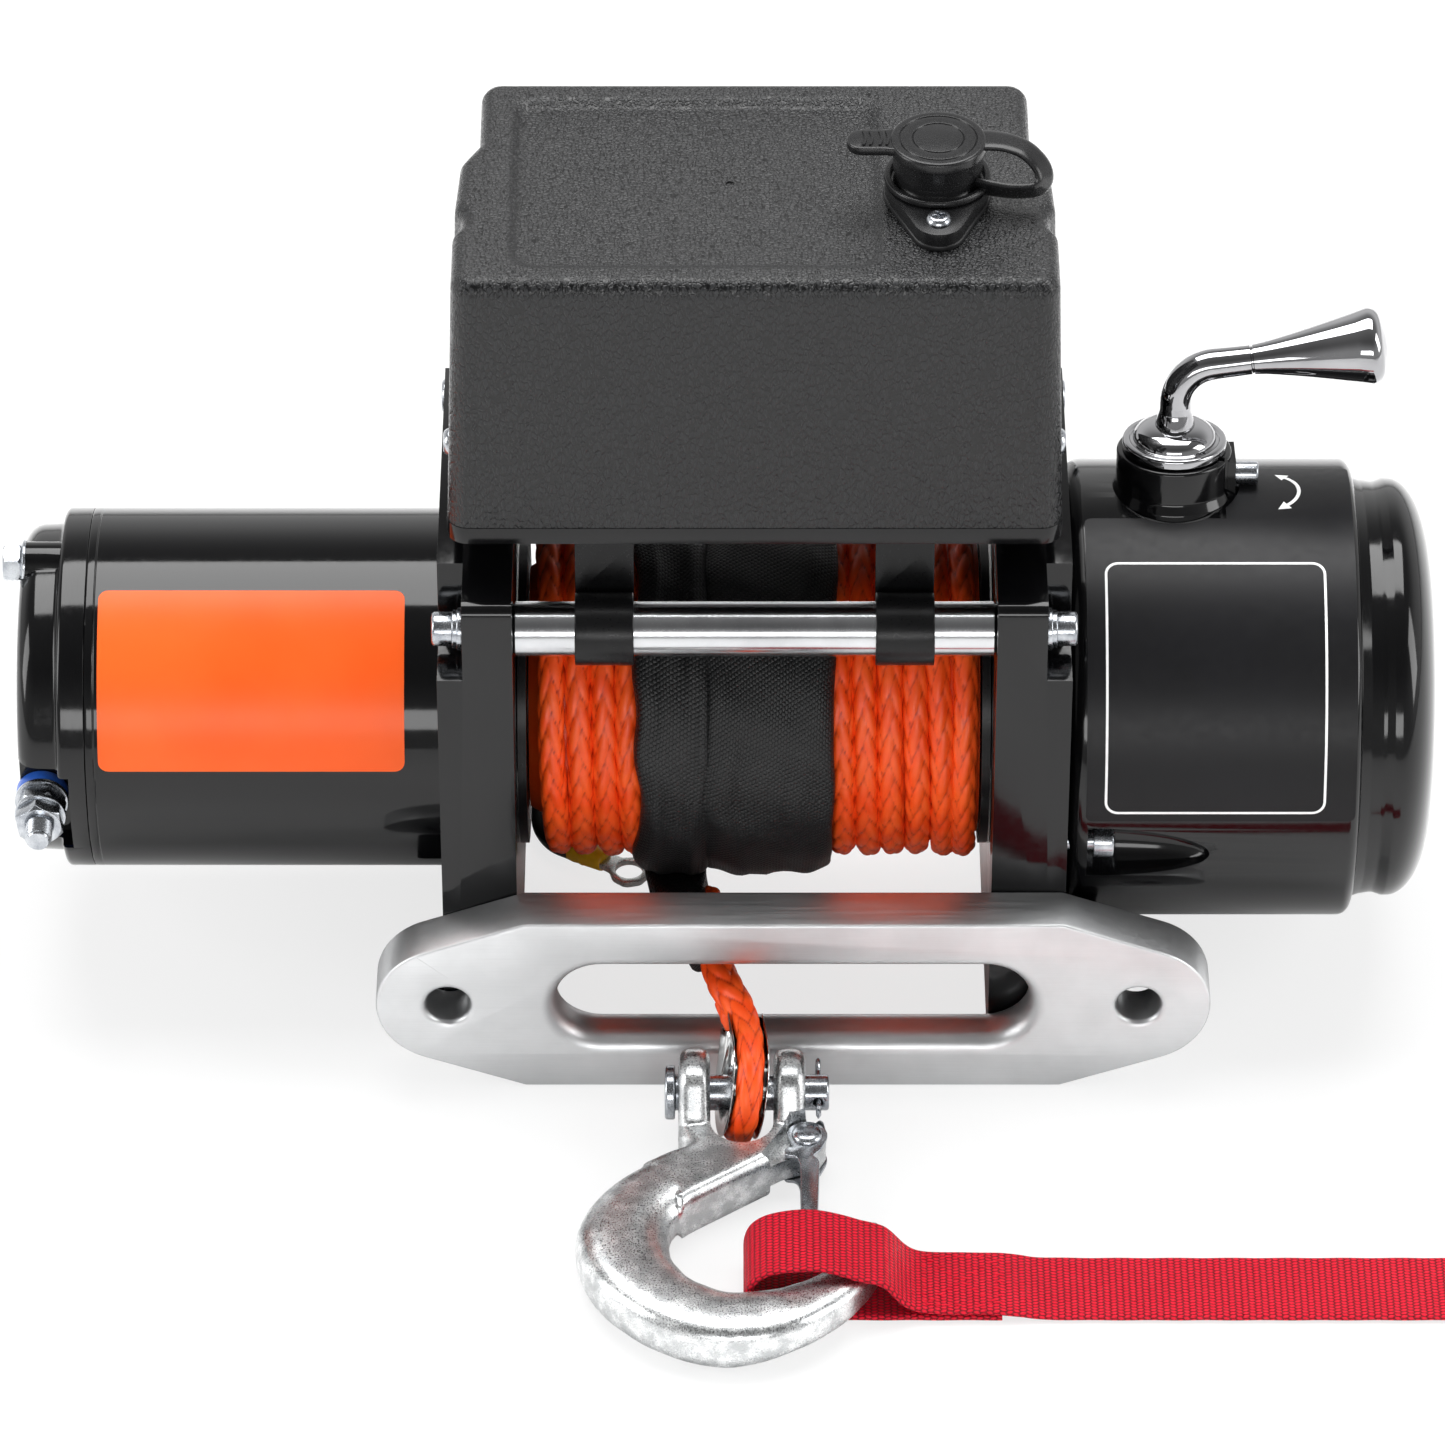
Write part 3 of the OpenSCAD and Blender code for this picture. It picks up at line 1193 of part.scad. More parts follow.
// Hand strap: a loop round the hook's bar, with both layers joined where it lies on the floor
module strap_profile() difference() {
    polygon([[strap_left, strap_low_z], [strap_left - 1.5, strap_low_z + 3], [strap_left - 1.5, 12],
        [2.6, 17.4], [8, 20], [16, strap_top_z], [23, strap_top_z - 0.2], [31, 19.4], [42, 17.2],
        [45.5, 14], [strap_join_x - 1, 8], [strap_join_x + 3, strap_low_z + 2 * strap_t + 0.4],
        [strap_tail_x, strap_low_z + 2 * strap_t + 0.4], [strap_tail_x + 5, strap_low_z + strap_t],
        [strap_reach - hook_x, strap_low_z + strap_t], [strap_reach - hook_x, strap_low_z]]);
    polygon([[strap_left + 2, strap_low_z + strap_t], [strap_left + strap_t - 1.5, strap_low_z + 3.5],
        [strap_left + strap_t - 1.5, 11.6], [4.1, 16], [9, 18.1], [16, strap_top_z - strap_t],
        [23, strap_top_z - strap_t - 0.2], [30.6, 17.4], [41, 15.3], [43.6, 13], [48, 6.8],
        [strap_join_x + 0.4, strap_low_z + strap_t + 1], [strap_join_x - 1, strap_low_z + strap_t]]);
}
module hand_strap() color("crimson") hook_frame() translate([0, strap_y0 + strap_w, 0])
    rotate([90, 0, 0]) linear_extrude(strap_w) strap_profile();

// Motor lead
module motor_lead() color("black") sweep_tube(lead_route, lead_d / 2, 10);
module lead_terminal() {
    start = lead_route[len(lead_route) - 1];
    dir = heading(lead_route, len(lead_route) - 1);
    color("gold") translate(start) rotate([0, 90, atan2(dir[1], dir[0])]) {
        translate([0, 0, 0.1]) cylinder(r1 = 4.5, r2 = 3.6, h = 12);
        translate([-1, -3.2, 11]) cube([2, 6.4, 6]);
        translate([1, 0, 21]) rotate([0, -90, 0]) difference() {
            cylinder(r = 6.5, h = 2);
            translate([0, 0, -cut]) cylinder(r = 4.2, h = 4);
        }
    }
}

left_support();
right_support();
tie_rods();
tie_rod_bolts();
motor_tube();
motor_end_cap();
motor_magnets();
motor_brushes();
bronze_bushes();
motor_bolts();
terminal_studs();
terminal_insulators();
motor_label();
gearbox_housing();
gearbox_cover();
gearbox_screws();
ring_gear();
gearbox_label();
clutch_collar();
box_tray();
box_cover();
box_screws();
box_brackets();
contactor();
control_socket();
fairlead();
rope_free();
thimble();
motor_lead();
lead_terminal();
rotor_shaft();
rotor_core();
commutator();
drum_brake();
drum();
rope_wraps();
rope_sleeve();
carrier_1();
planet(stage1_x, 0);  // planet_1a
planet(stage1_x, 1);  // planet_1b
planet(stage1_x, 2);  // planet_1c
carrier_2();
planet(stage2_x, 0);  // planet_2a
planet(stage2_x, 1);  // planet_2b
planet(stage2_x, 2);  // planet_2c
carrier_3();
planet(stage3_x, 0);  // planet_3a
planet(stage3_x, 1);  // planet_3b
planet(stage3_x, 2);  // planet_3c
clutch_lever();
clutch_shaft();
clutch_slider();
socket_cap();
hook();
clevis_pin();
cotter_pin();
hook_latch();
latch_rivet();
latch_spring();
hand_strap();
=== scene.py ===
"""Electric recovery winch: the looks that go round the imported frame.

Sizes are in millimetres in the classes and in metres in the meshes. The drum
axis runs along +X, 84 mm above the mounting plane, and -Y is the rope side.
"""

import logging
import math
from contextlib import contextmanager
from dataclasses import dataclass, field
from enum import Enum
from typing import Any, Callable, Iterator, Sequence

import bpy
import numpy as np
from mathutils import Matrix, Vector


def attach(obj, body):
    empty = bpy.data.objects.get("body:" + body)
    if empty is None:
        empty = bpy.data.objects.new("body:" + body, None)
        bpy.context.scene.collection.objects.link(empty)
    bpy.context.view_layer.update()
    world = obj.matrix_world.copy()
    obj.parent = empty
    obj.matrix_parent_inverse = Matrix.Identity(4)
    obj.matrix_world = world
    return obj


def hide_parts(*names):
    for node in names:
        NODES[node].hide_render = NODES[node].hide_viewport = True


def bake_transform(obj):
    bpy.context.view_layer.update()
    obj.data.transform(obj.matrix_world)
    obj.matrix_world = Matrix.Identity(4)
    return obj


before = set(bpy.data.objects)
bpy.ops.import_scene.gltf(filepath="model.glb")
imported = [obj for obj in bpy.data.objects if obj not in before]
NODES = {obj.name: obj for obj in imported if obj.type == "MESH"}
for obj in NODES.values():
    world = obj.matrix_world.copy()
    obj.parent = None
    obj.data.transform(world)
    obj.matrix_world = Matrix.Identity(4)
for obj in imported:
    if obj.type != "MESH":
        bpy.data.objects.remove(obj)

LOG = logging.getLogger("winch")
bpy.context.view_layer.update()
MM = 0.001
AXIS_H = 84.0
ORIGIN = (0, 0, 0)
Point = Sequence[float]
Outline = list[tuple[float, float]]
Loop = list[tuple[float, float, float]]
Piece = bpy.types.Object
Tree = bpy.types.NodeTree
Socket = bpy.types.NodeSocket


class Axis(Enum):
    """The direction that a prism is drawn along or a turned piece is spun about."""

    X = (1.0, 0.0, 0.0)
    Y = (0.0, 1.0, 0.0)
    Z = (0.0, 0.0, 1.0)

    def place(self, along: float, u: float, v: float) -> Vector:
        """The point at a distance along this axis, with u and v on the two others."""
        points = {Axis.X: (along, u, v), Axis.Y: (u, along, v), Axis.Z: (u, v, along)}
        return Vector(points[self]) * MM


class Solid(Enum):
    """What a Boolean modifier does with the second solid."""

    CUT = "DIFFERENCE"
    ADD = "UNION"
    COMMON = "INTERSECT"


# ---------------------------------------------------------------- mesh helpers


def select_only(obj: Piece | None = None) -> None:
    """Leaves one object, or none, selected and active in object mode."""
    if bpy.context.object and bpy.context.object.mode != "OBJECT":
        bpy.ops.object.mode_set(mode="OBJECT")
    bpy.ops.object.select_all(action="DESELECT")
    if obj:
        obj.select_set(True)
        bpy.context.view_layer.objects.active = obj


@contextmanager
def editing(obj: Piece) -> Iterator[None]:
    """Edit mode on one object with everything in it selected."""
    select_only(obj)
    bpy.context.tool_settings.mesh_select_mode = (True, False, False)
    bpy.ops.object.mode_set(mode="EDIT")
    bpy.ops.mesh.select_all(action="SELECT")
    yield
    bpy.ops.object.mode_set(mode="OBJECT")


def round_edges(obj: Piece, width: float, test: Callable[[Vector, Vector], bool]) -> None:
    """Bevels only some edges.

    Args:
        obj: The mesh object.
        width: Width of the bevel in millimetres.
        test: Takes an edge's middle in millimetres and its unit direction.
    """
    select_only(obj)
    mesh = obj.data
    for part in (mesh.vertices, mesh.edges, mesh.polygons):
        part.foreach_set("select", [False] * len(part))
    for edge in mesh.edges:
        a, b = (mesh.vertices[i].co for i in edge.vertices)
        edge.select = test((a + b) / (2 * MM), (b - a).normalized())
    bpy.context.tool_settings.mesh_select_mode = (False, True, False)
    bpy.ops.object.mode_set(mode="EDIT")
    bpy.ops.mesh.bevel(offset=width * MM, segments=4, profile=0.5)
    bpy.ops.object.mode_set(mode="OBJECT")


def apply_modifier(obj: Piece, kind: str, **settings: Any) -> None:
    """Adds a modifier with its settings and applies it."""
    select_only(obj)
    modifier = obj.modifiers.new(kind.lower(), kind)
    for name, value in settings.items():
        setattr(modifier, name, value)
    bpy.ops.object.modifier_apply(modifier=modifier.name)


def combine(obj: Piece, other: Piece, how: Solid) -> None:
    """Cuts, adds or intersects a second solid, which is used up."""
    apply_modifier(obj, "BOOLEAN", operation=how.value, object=other, solver="EXACT")
    bpy.data.objects.remove(other)


def cut(obj: Piece, *others: Piece) -> None:
    """Takes solids away from a piece, one after the other."""
    for other in others:
        combine(obj, other, Solid.CUT)


def soften(obj: Piece, width: float, segments: int = 3, angle: float = 35) -> Piece:
    """Rounds every edge sharper than an angle, with a width in millimetres, and returns the piece."""
    apply_modifier(obj, "BEVEL", width=width * MM, segments=segments, limit_method="ANGLE",
                   angle_limit=math.radians(angle), use_clamp_overlap=True, miter_outer="MITER_ARC")
    return obj


def melt(obj: Piece, voxel: float, rounds: int) -> None:
    """Remeshes overlapping solids into one skin and relaxes it, voxel in millimetres."""
    apply_modifier(obj, "REMESH", mode="VOXEL", voxel_size=voxel * MM)
    apply_modifier(obj, "SMOOTH", factor=0.5, iterations=rounds)


def move(obj: Piece, matrix: Matrix) -> Piece:
    """Moves the mesh itself and leaves the object at the origin."""
    obj.data.transform(matrix)
    if matrix.is_negative:
        obj.data.flip_normals()
    return obj


def shift(x: float = 0, y: float = 0, z: float = 0) -> Matrix:
    """A translation given in millimetres."""
    return Matrix.Translation(Vector((x, y, z)) * MM)


def turn(angle: float, axis: str) -> Matrix:
    """A rotation in degrees about a main axis through the origin."""
    return Matrix.Rotation(math.radians(angle), 4, axis)


def copy_of(obj: Piece, matrix: Matrix) -> Piece:
    """A copy with its own mesh, moved by a matrix."""
    twin = obj.copy()
    twin.data = obj.data.copy()
    bpy.context.scene.collection.objects.link(twin)
    return move(twin, matrix)


def join(name: str, pieces: Sequence[Piece]) -> Piece:
    """Joins separate pieces into one object."""
    select_only(pieces[0])
    for piece in pieces[1:]:
        piece.select_set(True)
    bpy.ops.object.join()
    pieces[0].name = name
    return pieces[0]


def turn_outwards(obj: Piece) -> Piece:
    """Merges doubles, drops loose edges and points all faces outwards."""
    with editing(obj):
        bpy.ops.mesh.remove_doubles(threshold=2e-6)
        bpy.ops.mesh.delete_loose(use_verts=True, use_edges=True, use_faces=False)
        bpy.ops.mesh.select_all(action="SELECT")
        bpy.ops.mesh.normals_make_consistent(inside=False)
    return obj


def settle(name: str) -> Piece:
    """Names the primitive that was just added and puts its place into its mesh."""
    obj = bpy.context.object
    bpy.ops.object.transform_apply(location=True, rotation=True, scale=True)
    obj.name = name
    return obj


def block(name: str, low: Point, high: Point) -> Piece:
    """A cube primitive sized in edit mode between two corners in millimetres."""
    select_only()
    bpy.ops.mesh.primitive_cube_add(size=1)
    obj = settle(name)
    low, high = Vector(low) * MM, Vector(high) * MM
    with editing(obj):
        bpy.ops.transform.resize(value=high - low)
        bpy.ops.transform.translate(value=(low + high) / 2)
    return obj


def rod(name: str, radius: float, start: Point, end: Point, sides: int = 48) -> Piece:
    """A cylinder between two points in millimetres."""
    start, end = Vector(start), Vector(end)
    select_only()
    bpy.ops.mesh.primitive_cone_add(
        vertices=sides, radius1=radius * MM, radius2=radius * MM,
        depth=(end - start).length * MM, location=(start + end) / 2 * MM,
        rotation=(end - start).to_track_quat("Z", "Y").to_euler())
    return settle(name)


def ball(name: str, radii: Point, centre: Point, segments: int = 32) -> Piece:
    """A sphere primitive scaled to three radii in millimetres."""
    select_only()
    bpy.ops.mesh.primitive_uv_sphere_add(segments=segments, ring_count=segments // 2, radius=1)
    obj = settle(name)
    with editing(obj):
        bpy.ops.transform.resize(value=Vector(radii) * MM)
        bpy.ops.transform.translate(value=Vector(centre) * MM)
    return obj


def fillet(points: Sequence[Point], steps: int = 5) -> Outline:
    """Rounds the corners of an outline.

    Args:
        points: (u, v) for a sharp corner, or (u, v, radius) for a round one.
        steps: Edges in each rounded corner.

    Returns:
        The outline as (u, v) pairs.
    """
    outline: Outline = []
    for i, point in enumerate(points):
        here = Vector(point[:2])
        if len(point) < 3 or not point[2]:
            outline.append((here.x, here.y))
            continue
        back = Vector(points[i - 1][:2]) - here
        ahead = Vector(points[(i + 1) % len(points)][:2]) - here
        half = back.angle(ahead) / 2
        reach = min(point[2] / math.tan(half), back.length * 0.49, ahead.length * 0.49)
        centre = here + (back.normalized() + ahead.normalized()).normalized() * reach / math.cos(half)
        start = here + back.normalized() * reach - centre
        end = here + ahead.normalized() * reach - centre
        sweep = math.atan2(start.x * end.y - start.y * end.x, start.dot(end))
        for k in range(steps + 1):
            spot = centre + Matrix.Rotation(sweep * k / steps, 2) @ start
            outline.append((spot.x, spot.y))
    return outline


def arc(radius: float, start: float, end: float, count: int, centre: Point = (0, 0)) -> Outline:
    """Points on a circle from one angle to another, in radians, both ends included."""
    return [(centre[0] + radius * math.cos(a), centre[1] + radius * math.sin(a))
            for a in np.linspace(start, end, count)]


def circle(radius: float, count: int, centre: Point = (0, 0)) -> Outline:
    """Even points all round a circle."""
    return arc(radius, 0, math.tau * (count - 1) / count, count, centre)


def round_angles(count: int) -> np.ndarray:
    """Even angles all round a circle, in radians."""
    return np.linspace(0, math.tau, count, endpoint=False)


def round_box(x0: float, x1: float, y0: float, y1: float, radius: float, steps: int = 5) -> Outline:
    """The outline of a rectangle with round corners."""
    return fillet([(x0, y0, radius), (x1, y0, radius), (x1, y1, radius), (x0, y1, radius)], steps)


def band(low: float, high: float, inner: float, outer: float, edge: float) -> Outline:
    """The profile of a ring or washer with its outer corners rounded."""
    return fillet([(low, inner), (low, outer, edge), (high, outer, edge), (high, inner)], 3)


def oval(width: float, height: float, centre: Point = (0, 0), steps: int = 14) -> Outline:
    """The outline of a slot with round ends."""
    r, reach, quarter = height / 2, (width - height) / 2, math.pi / 2
    return (arc(r, -quarter, quarter, steps + 1, (centre[0] + reach, centre[1]))
            + arc(r, quarter, 3 * quarter, steps + 1, (centre[0] - reach, centre[1])))


def prism(name: str, outline: Sequence[Point], axis: Axis, low: float, high: float) -> Piece:
    """A filled circle primitive drawn out to an outline and extruded along an axis."""
    select_only()
    bpy.ops.mesh.primitive_circle_add(vertices=len(outline), fill_type="NGON")
    obj = settle(name)
    for vertex, point in zip(obj.data.vertices, outline):
        vertex.co = axis.place(low, point[0], point[1])
    with editing(obj):
        reach = Vector(axis.value) * (high - low) * MM
        bpy.ops.mesh.extrude_region_move(TRANSFORM_OT_translate={"value": reach})
    return turn_outwards(obj)


def turned(name: str, profile: Sequence[Point], axis: Axis = Axis.X,
           centre: Point = (0, 0, AXIS_H), steps: int = 96) -> Piece:
    """A closed profile of (along, radius) points, spun once about an axis through a centre."""
    select_only()
    bpy.ops.mesh.primitive_circle_add(vertices=len(profile), fill_type="NOTHING")
    obj = settle(name)
    middle = Vector(centre) * MM
    for vertex, (along, radius) in zip(obj.data.vertices, profile):
        spot = axis.place(along, 0, radius) if axis is not Axis.Z else axis.place(along, radius, 0)
        vertex.co = spot + middle
    with editing(obj):
        bpy.ops.mesh.spin(steps=steps, angle=math.tau, center=middle, axis=axis.value)
    return turn_outwards(obj)


def lathe(name: str, profile: Sequence[Point], steps: int = 48) -> Piece:
    """A closed profile of (height, radius) points, spun about Z through the origin."""
    return turned(name, profile, Axis.Z, ORIGIN, steps)


def repeat(name: str, first: Piece, places: Sequence[Matrix]) -> Piece:
    """One object of copies of a piece at several places; the piece itself is used up."""
    copies = join(name, [copy_of(first, place) for place in places])
    bpy.data.objects.remove(first)
    return copies


def skin(name: str, loops: Sequence[Sequence[Point]], closed: bool = False) -> Piece:
    """Joins loops of equal length, in millimetres, into one closed surface.

    Args:
        name: Name of the new object.
        loops: Rings of points, one after the other.
        closed: True where the last ring meets the first, else the ends are filled.
    """
    n, count = len(loops[0]), len(loops)
    faces = [(i * n + k, i * n + (k + 1) % n, (i + 1) % count * n + (k + 1) % n, (i + 1) % count * n + k)
             for i in range(count if closed else count - 1) for k in range(n)]
    if not closed:
        faces += [tuple(range(n - 1, -1, -1)), tuple(range((count - 1) * n, count * n))]
    mesh = bpy.data.meshes.new(name)
    points = np.asarray(loops, float).reshape(-1, 3) * MM
    mesh.from_pydata(points.tolist(), [], faces)
    obj = bpy.data.objects.new(name, mesh)
    bpy.context.scene.collection.objects.link(obj)
    with editing(obj):
        bpy.ops.mesh.normals_make_consistent(inside=False)
    return obj


def hexagon(across: float, turn_by: float = 0) -> Outline:
    """The outline of a hexagon, across its flats, in millimetres."""
    return arc(across / math.sqrt(3), math.radians(turn_by), math.radians(turn_by + 300), 6)


def hex_nut(name: str, across: float, low: float, high: float, bore: float = 0, turn_by: float = 0) -> Piece:
    """A nut or bolt head along Z with the round chamfers that turning leaves on a hexagon."""
    obj = prism(name, hexagon(across, turn_by), Axis.Z, low, high)
    corner, drop = across / math.sqrt(3), 0.16 * across * 0.58
    cone = [(low, 0), (low, across / 2 - 0.1), (low + drop, corner + 0.02), (high - drop, corner + 0.02),
            (high, across / 2 - 0.1), (high, 0)]
    combine(obj, lathe("chamfer", cone, 96), Solid.COMMON)
    if bore:
        cut(obj, rod("bore", bore, (0, 0, low - 1), (0, 0, high + 1)))
    soften(obj, 0.15, 2, 25)
    return obj


def thread(radius: float, low: float, high: float, pitch: float) -> Outline:
    """The profile of a threaded stud's outside, as rings of the real pitch."""
    profile: Outline = []
    along = low
    while along < high - pitch * 0.6:
        profile += [(along, radius), (along + pitch * 0.5, radius - pitch * 0.42)]
        along += pitch
    return profile


def on_drum(angle: float, radius: float, x: float) -> Vector:
    """The point at an angle above -Y and a radius from the drum axis, in millimetres."""
    a = math.radians(angle)
    return Vector((x, -radius * math.cos(a), AXIS_H + radius * math.sin(a)))


def wrap_on(obj: Piece, radius: float, cuts: int = 40) -> Piece:
    """Bends a flat piece round the drum axis.

    Args:
        obj: A prism along Y, whose u is X and whose v is an arc length from the front.
        radius: The cylinder's radius, at which the piece's y = 0 comes to lie.
        cuts: Strips that it is bisected into before it is bent.
    """
    heights = [v.co.z for v in obj.data.vertices]
    low, high = min(heights), max(heights)
    for k in range(1, cuts):
        with editing(obj):
            bpy.ops.mesh.bisect(plane_co=(0, 0, low + (high - low) * k / cuts), plane_no=(0, 0, 1))
    for vertex in obj.data.vertices:
        x, y, z = vertex.co / MM
        vertex.co = on_drum(math.degrees(z / radius), radius - y, x) * MM
    return turn_outwards(obj)


# ---------------------------------------------------------------- finishes


def paint(hex_value: str) -> tuple[float, float, float, float]:
    """Turns an sRGB hex colour into the linear values that Blender mixes with."""
    parts = [int(hex_value.lstrip("#")[i:i + 2], 16) / 255 for i in (0, 2, 4)]
    linear = [c / 12.92 if c <= 0.04045 else ((c + 0.055) / 1.055) ** 2.4 for c in parts]
    return (linear[0], linear[1], linear[2], 1.0)


def add_node(tree: Tree, kind: str, inputs: dict | None = None, output: int | str = 0,
             **settings: Any) -> Socket:
    """Adds a shader node and returns one of its outputs.

    Args:
        tree: The material's node tree.
        kind: Blender's name of the node's type, without its prefix.
        inputs: Values or other nodes' outputs, by the input's name or number.
        output: Name or number of the output that is wanted.
        settings: The node's own properties.
    """
    node = tree.nodes.new("ShaderNode" + kind)
    for name, value in settings.items():
        setattr(node, name, value)
    for key, value in (inputs or {}).items():
        if isinstance(value, Socket):
            tree.links.new(value, node.inputs[key])
        else:
            node.inputs[key].default_value = value
    return node.outputs[output]


def remap(tree: Tree, value: Socket, low: float, high: float, ends: Point = (0.0, 1.0),
          **settings: Any) -> Socket:
    """Maps a range of values onto two ends and clamps the rest."""
    ranges = {"Value": value, "From Min": low, "From Max": high, "To Min": ends[0], "To Max": ends[1]}
    return add_node(tree, "MapRange", ranges, **settings)


def between(tree: Tree, share: Socket, first: Any, second: Any) -> Socket:
    """Mixes two colours."""
    return add_node(tree, "Mix", {0: share, 6: first, 7: second}, 2, data_type="RGBA")


def calc(tree: Tree, operation: str, *values: Any) -> Socket:
    """Works on one to three numbers."""
    return add_node(tree, "Math", dict(enumerate(values)), operation=operation)


def noise(tree: Tree, place: Socket, size: float, detail: float, rough: float = 0.5, output: str = "Fac",
          **settings: Any) -> Socket:
    """Cloudy noise whose features have a size in the units of its coordinates."""
    inputs = {"Vector": place, "Scale": 1 / size, "Detail": detail, "Roughness": rough}
    return add_node(tree, "TexNoise", inputs, output, **settings)


@dataclass(frozen=True)
class Finish:
    """A surface with soft patches of a second tone and a fine grain, in Object coordinates.

    Attributes:
        name: The real material and how its surface was made.
        colour: Main sRGB colour.
        shade: Second tone that the patches lean towards.
        roughness: Middle roughness, which varies by spread.
        metallic: 1 for a metal.
        patch_mm: Size of the tone patches.
        grain_mm: Size of the grain that the bump shows.
        depth_mm: Depth of the grain.
        stretch: How the grain is drawn out along X, Y and Z.
        specular: Strength of a non-metal's reflection.
    """

    name: str
    colour: str
    shade: str
    roughness: float
    spread: float = 0.05
    metallic: float = 0.0
    patch_mm: float = 18.0
    grain_mm: float = 0.8
    depth_mm: float = 0.004
    stretch: Point = (1.0, 1.0, 1.0)
    specular: float = 0.5

    def coordinates(self, tree: Tree) -> Socket:
        """Object coordinates in millimetres, drawn out along the grain."""
        place = add_node(tree, "TexCoord", output="Object")
        return add_node(tree, "Mapping",
                        {"Vector": place, "Scale": tuple(1 / (MM * s) for s in self.stretch)})

    def patches(self, tree: Tree, detail: float) -> Socket:
        """Noise that makes the tone patches."""
        return noise(tree, add_node(tree, "TexCoord", output="Object"), MM * self.patch_mm, detail)

    def tone(self, tree: Tree) -> Socket:
        """Soft patches between the two tones."""
        share = remap(tree, self.patches(tree, 4.0), 0.35, 0.65)
        return between(tree, share, paint(self.colour), paint(self.shade))

    def height(self, tree: Tree) -> Socket:
        """The grain's height, from 0 to 1."""
        return noise(tree, self.coordinates(tree), self.grain_mm, 3.0, 0.6)

    def build(self) -> bpy.types.Material:
        """The material, made once and then shared."""
        found = bpy.data.materials.get(self.name)
        if found:
            return found
        material = bpy.data.materials.new(self.name)
        material.use_nodes = True
        tree = material.node_tree
        shader = tree.nodes["Principled BSDF"]
        shader.inputs["Metallic"].default_value = self.metallic
        shader.inputs["Specular IOR Level"].default_value = self.specular
        height = self.height(tree)
        ends = (max(0.02, self.roughness - self.spread), min(1.0, self.roughness + self.spread))
        tree.links.new(self.tone(tree), shader.inputs["Base Color"])
        tree.links.new(remap(tree, height, 0.3, 0.7, ends), shader.inputs["Roughness"])
        bump = add_node(tree, "Bump", {"Height": height, "Distance": self.depth_mm * MM, "Strength": 1.0})
        tree.links.new(bump, shader.inputs["Normal"])
        return material


@dataclass(frozen=True)
class GrainedPlastic(Finish):
    """Moulded ABS with a leather grain: short wandering creases about a millimetre apart."""

    def tone(self, tree: Tree) -> Socket:
        """Painted highlight on the grain's tops and painted shade in its nearly black creases."""
        # Painted shade: the grain's height sets the tone, darkest in the creases and lightest on the tops.
        share = remap(tree, self.height(tree), 0.12, 0.62)
        return between(tree, share, paint(self.shade), paint(self.colour))

    def height(self, tree: Tree) -> Socket:
        """Cells with soft tops and narrow creases, roughened by finer noise."""
        place, grain = self.coordinates(tree), self.grain_mm
        wander = noise(tree, place, 2 * grain, 2.0, output="Color")
        bent = add_node(tree, "VectorMath", {0: wander, 1: (1.4, 1.4, 1.4), 2: place},
                        operation="MULTIPLY_ADD")
        cells = add_node(tree, "TexVoronoi", {"Vector": bent, "Scale": 1 / grain}, "Distance",
                         feature="DISTANCE_TO_EDGE")
        tops = remap(tree, cells, 0.0, 0.22, interpolation_type="SMOOTHSTEP")
        return calc(tree, "MULTIPLY", tops, noise(tree, place, grain / 2.4, 2.0))


@dataclass(frozen=True)
class ForgedZinc(Finish):
    """Zinc plating over a shot-blasted forging: fine bright pits with darker flecks in them."""

    def tone(self, tree: Tree) -> Socket:
        """Flecks that gather in patches, over soft light and dark."""
        place = add_node(tree, "TexCoord", output="Object")
        flecks = noise(tree, place, MM * self.grain_mm, 5.0, 0.7)
        share = remap(tree, calc(tree, "MULTIPLY", self.patches(tree, 3.0), flecks), 0.2, 0.36)
        return between(tree, share, paint(self.shade), paint(self.colour))


@dataclass(frozen=True)
class BraidedRope(Finish):
    """Twelve-strand braid: its own UV map runs along the strands, its relief attribute marks the creases.

    Attributes:
        crease: Painted shade between the strands.
        filament_mm: Distance between the filaments of a strand.
    """

    crease: str = "#ac2b06"
    filament_mm: float = 0.35

    def tone(self, tree: Tree) -> Socket:
        """Painted shade in the creases, lighter crowns, and soft patches of wear."""
        # Painted shade: the relief attribute darkens the tone towards the crease colour.
        relief = add_node(tree, "Attribute", output="Fac", attribute_name="relief")
        share = remap(tree, relief, 0.02, 0.62, interpolation_type="SMOOTHSTEP")
        return between(tree, share, paint(self.crease), super().tone(tree))

    def height(self, tree: Tree) -> Socket:
        """Filaments that follow each strand."""
        lay = add_node(tree, "UVMap", uv_map="lay")
        scale = (1 / (6 * MM), 1 / (self.filament_mm * MM), 1.0)
        place = add_node(tree, "Mapping", {"Vector": lay, "Scale": scale})
        return noise(tree, place, 1.0, 3.0, noise_dimensions="2D")


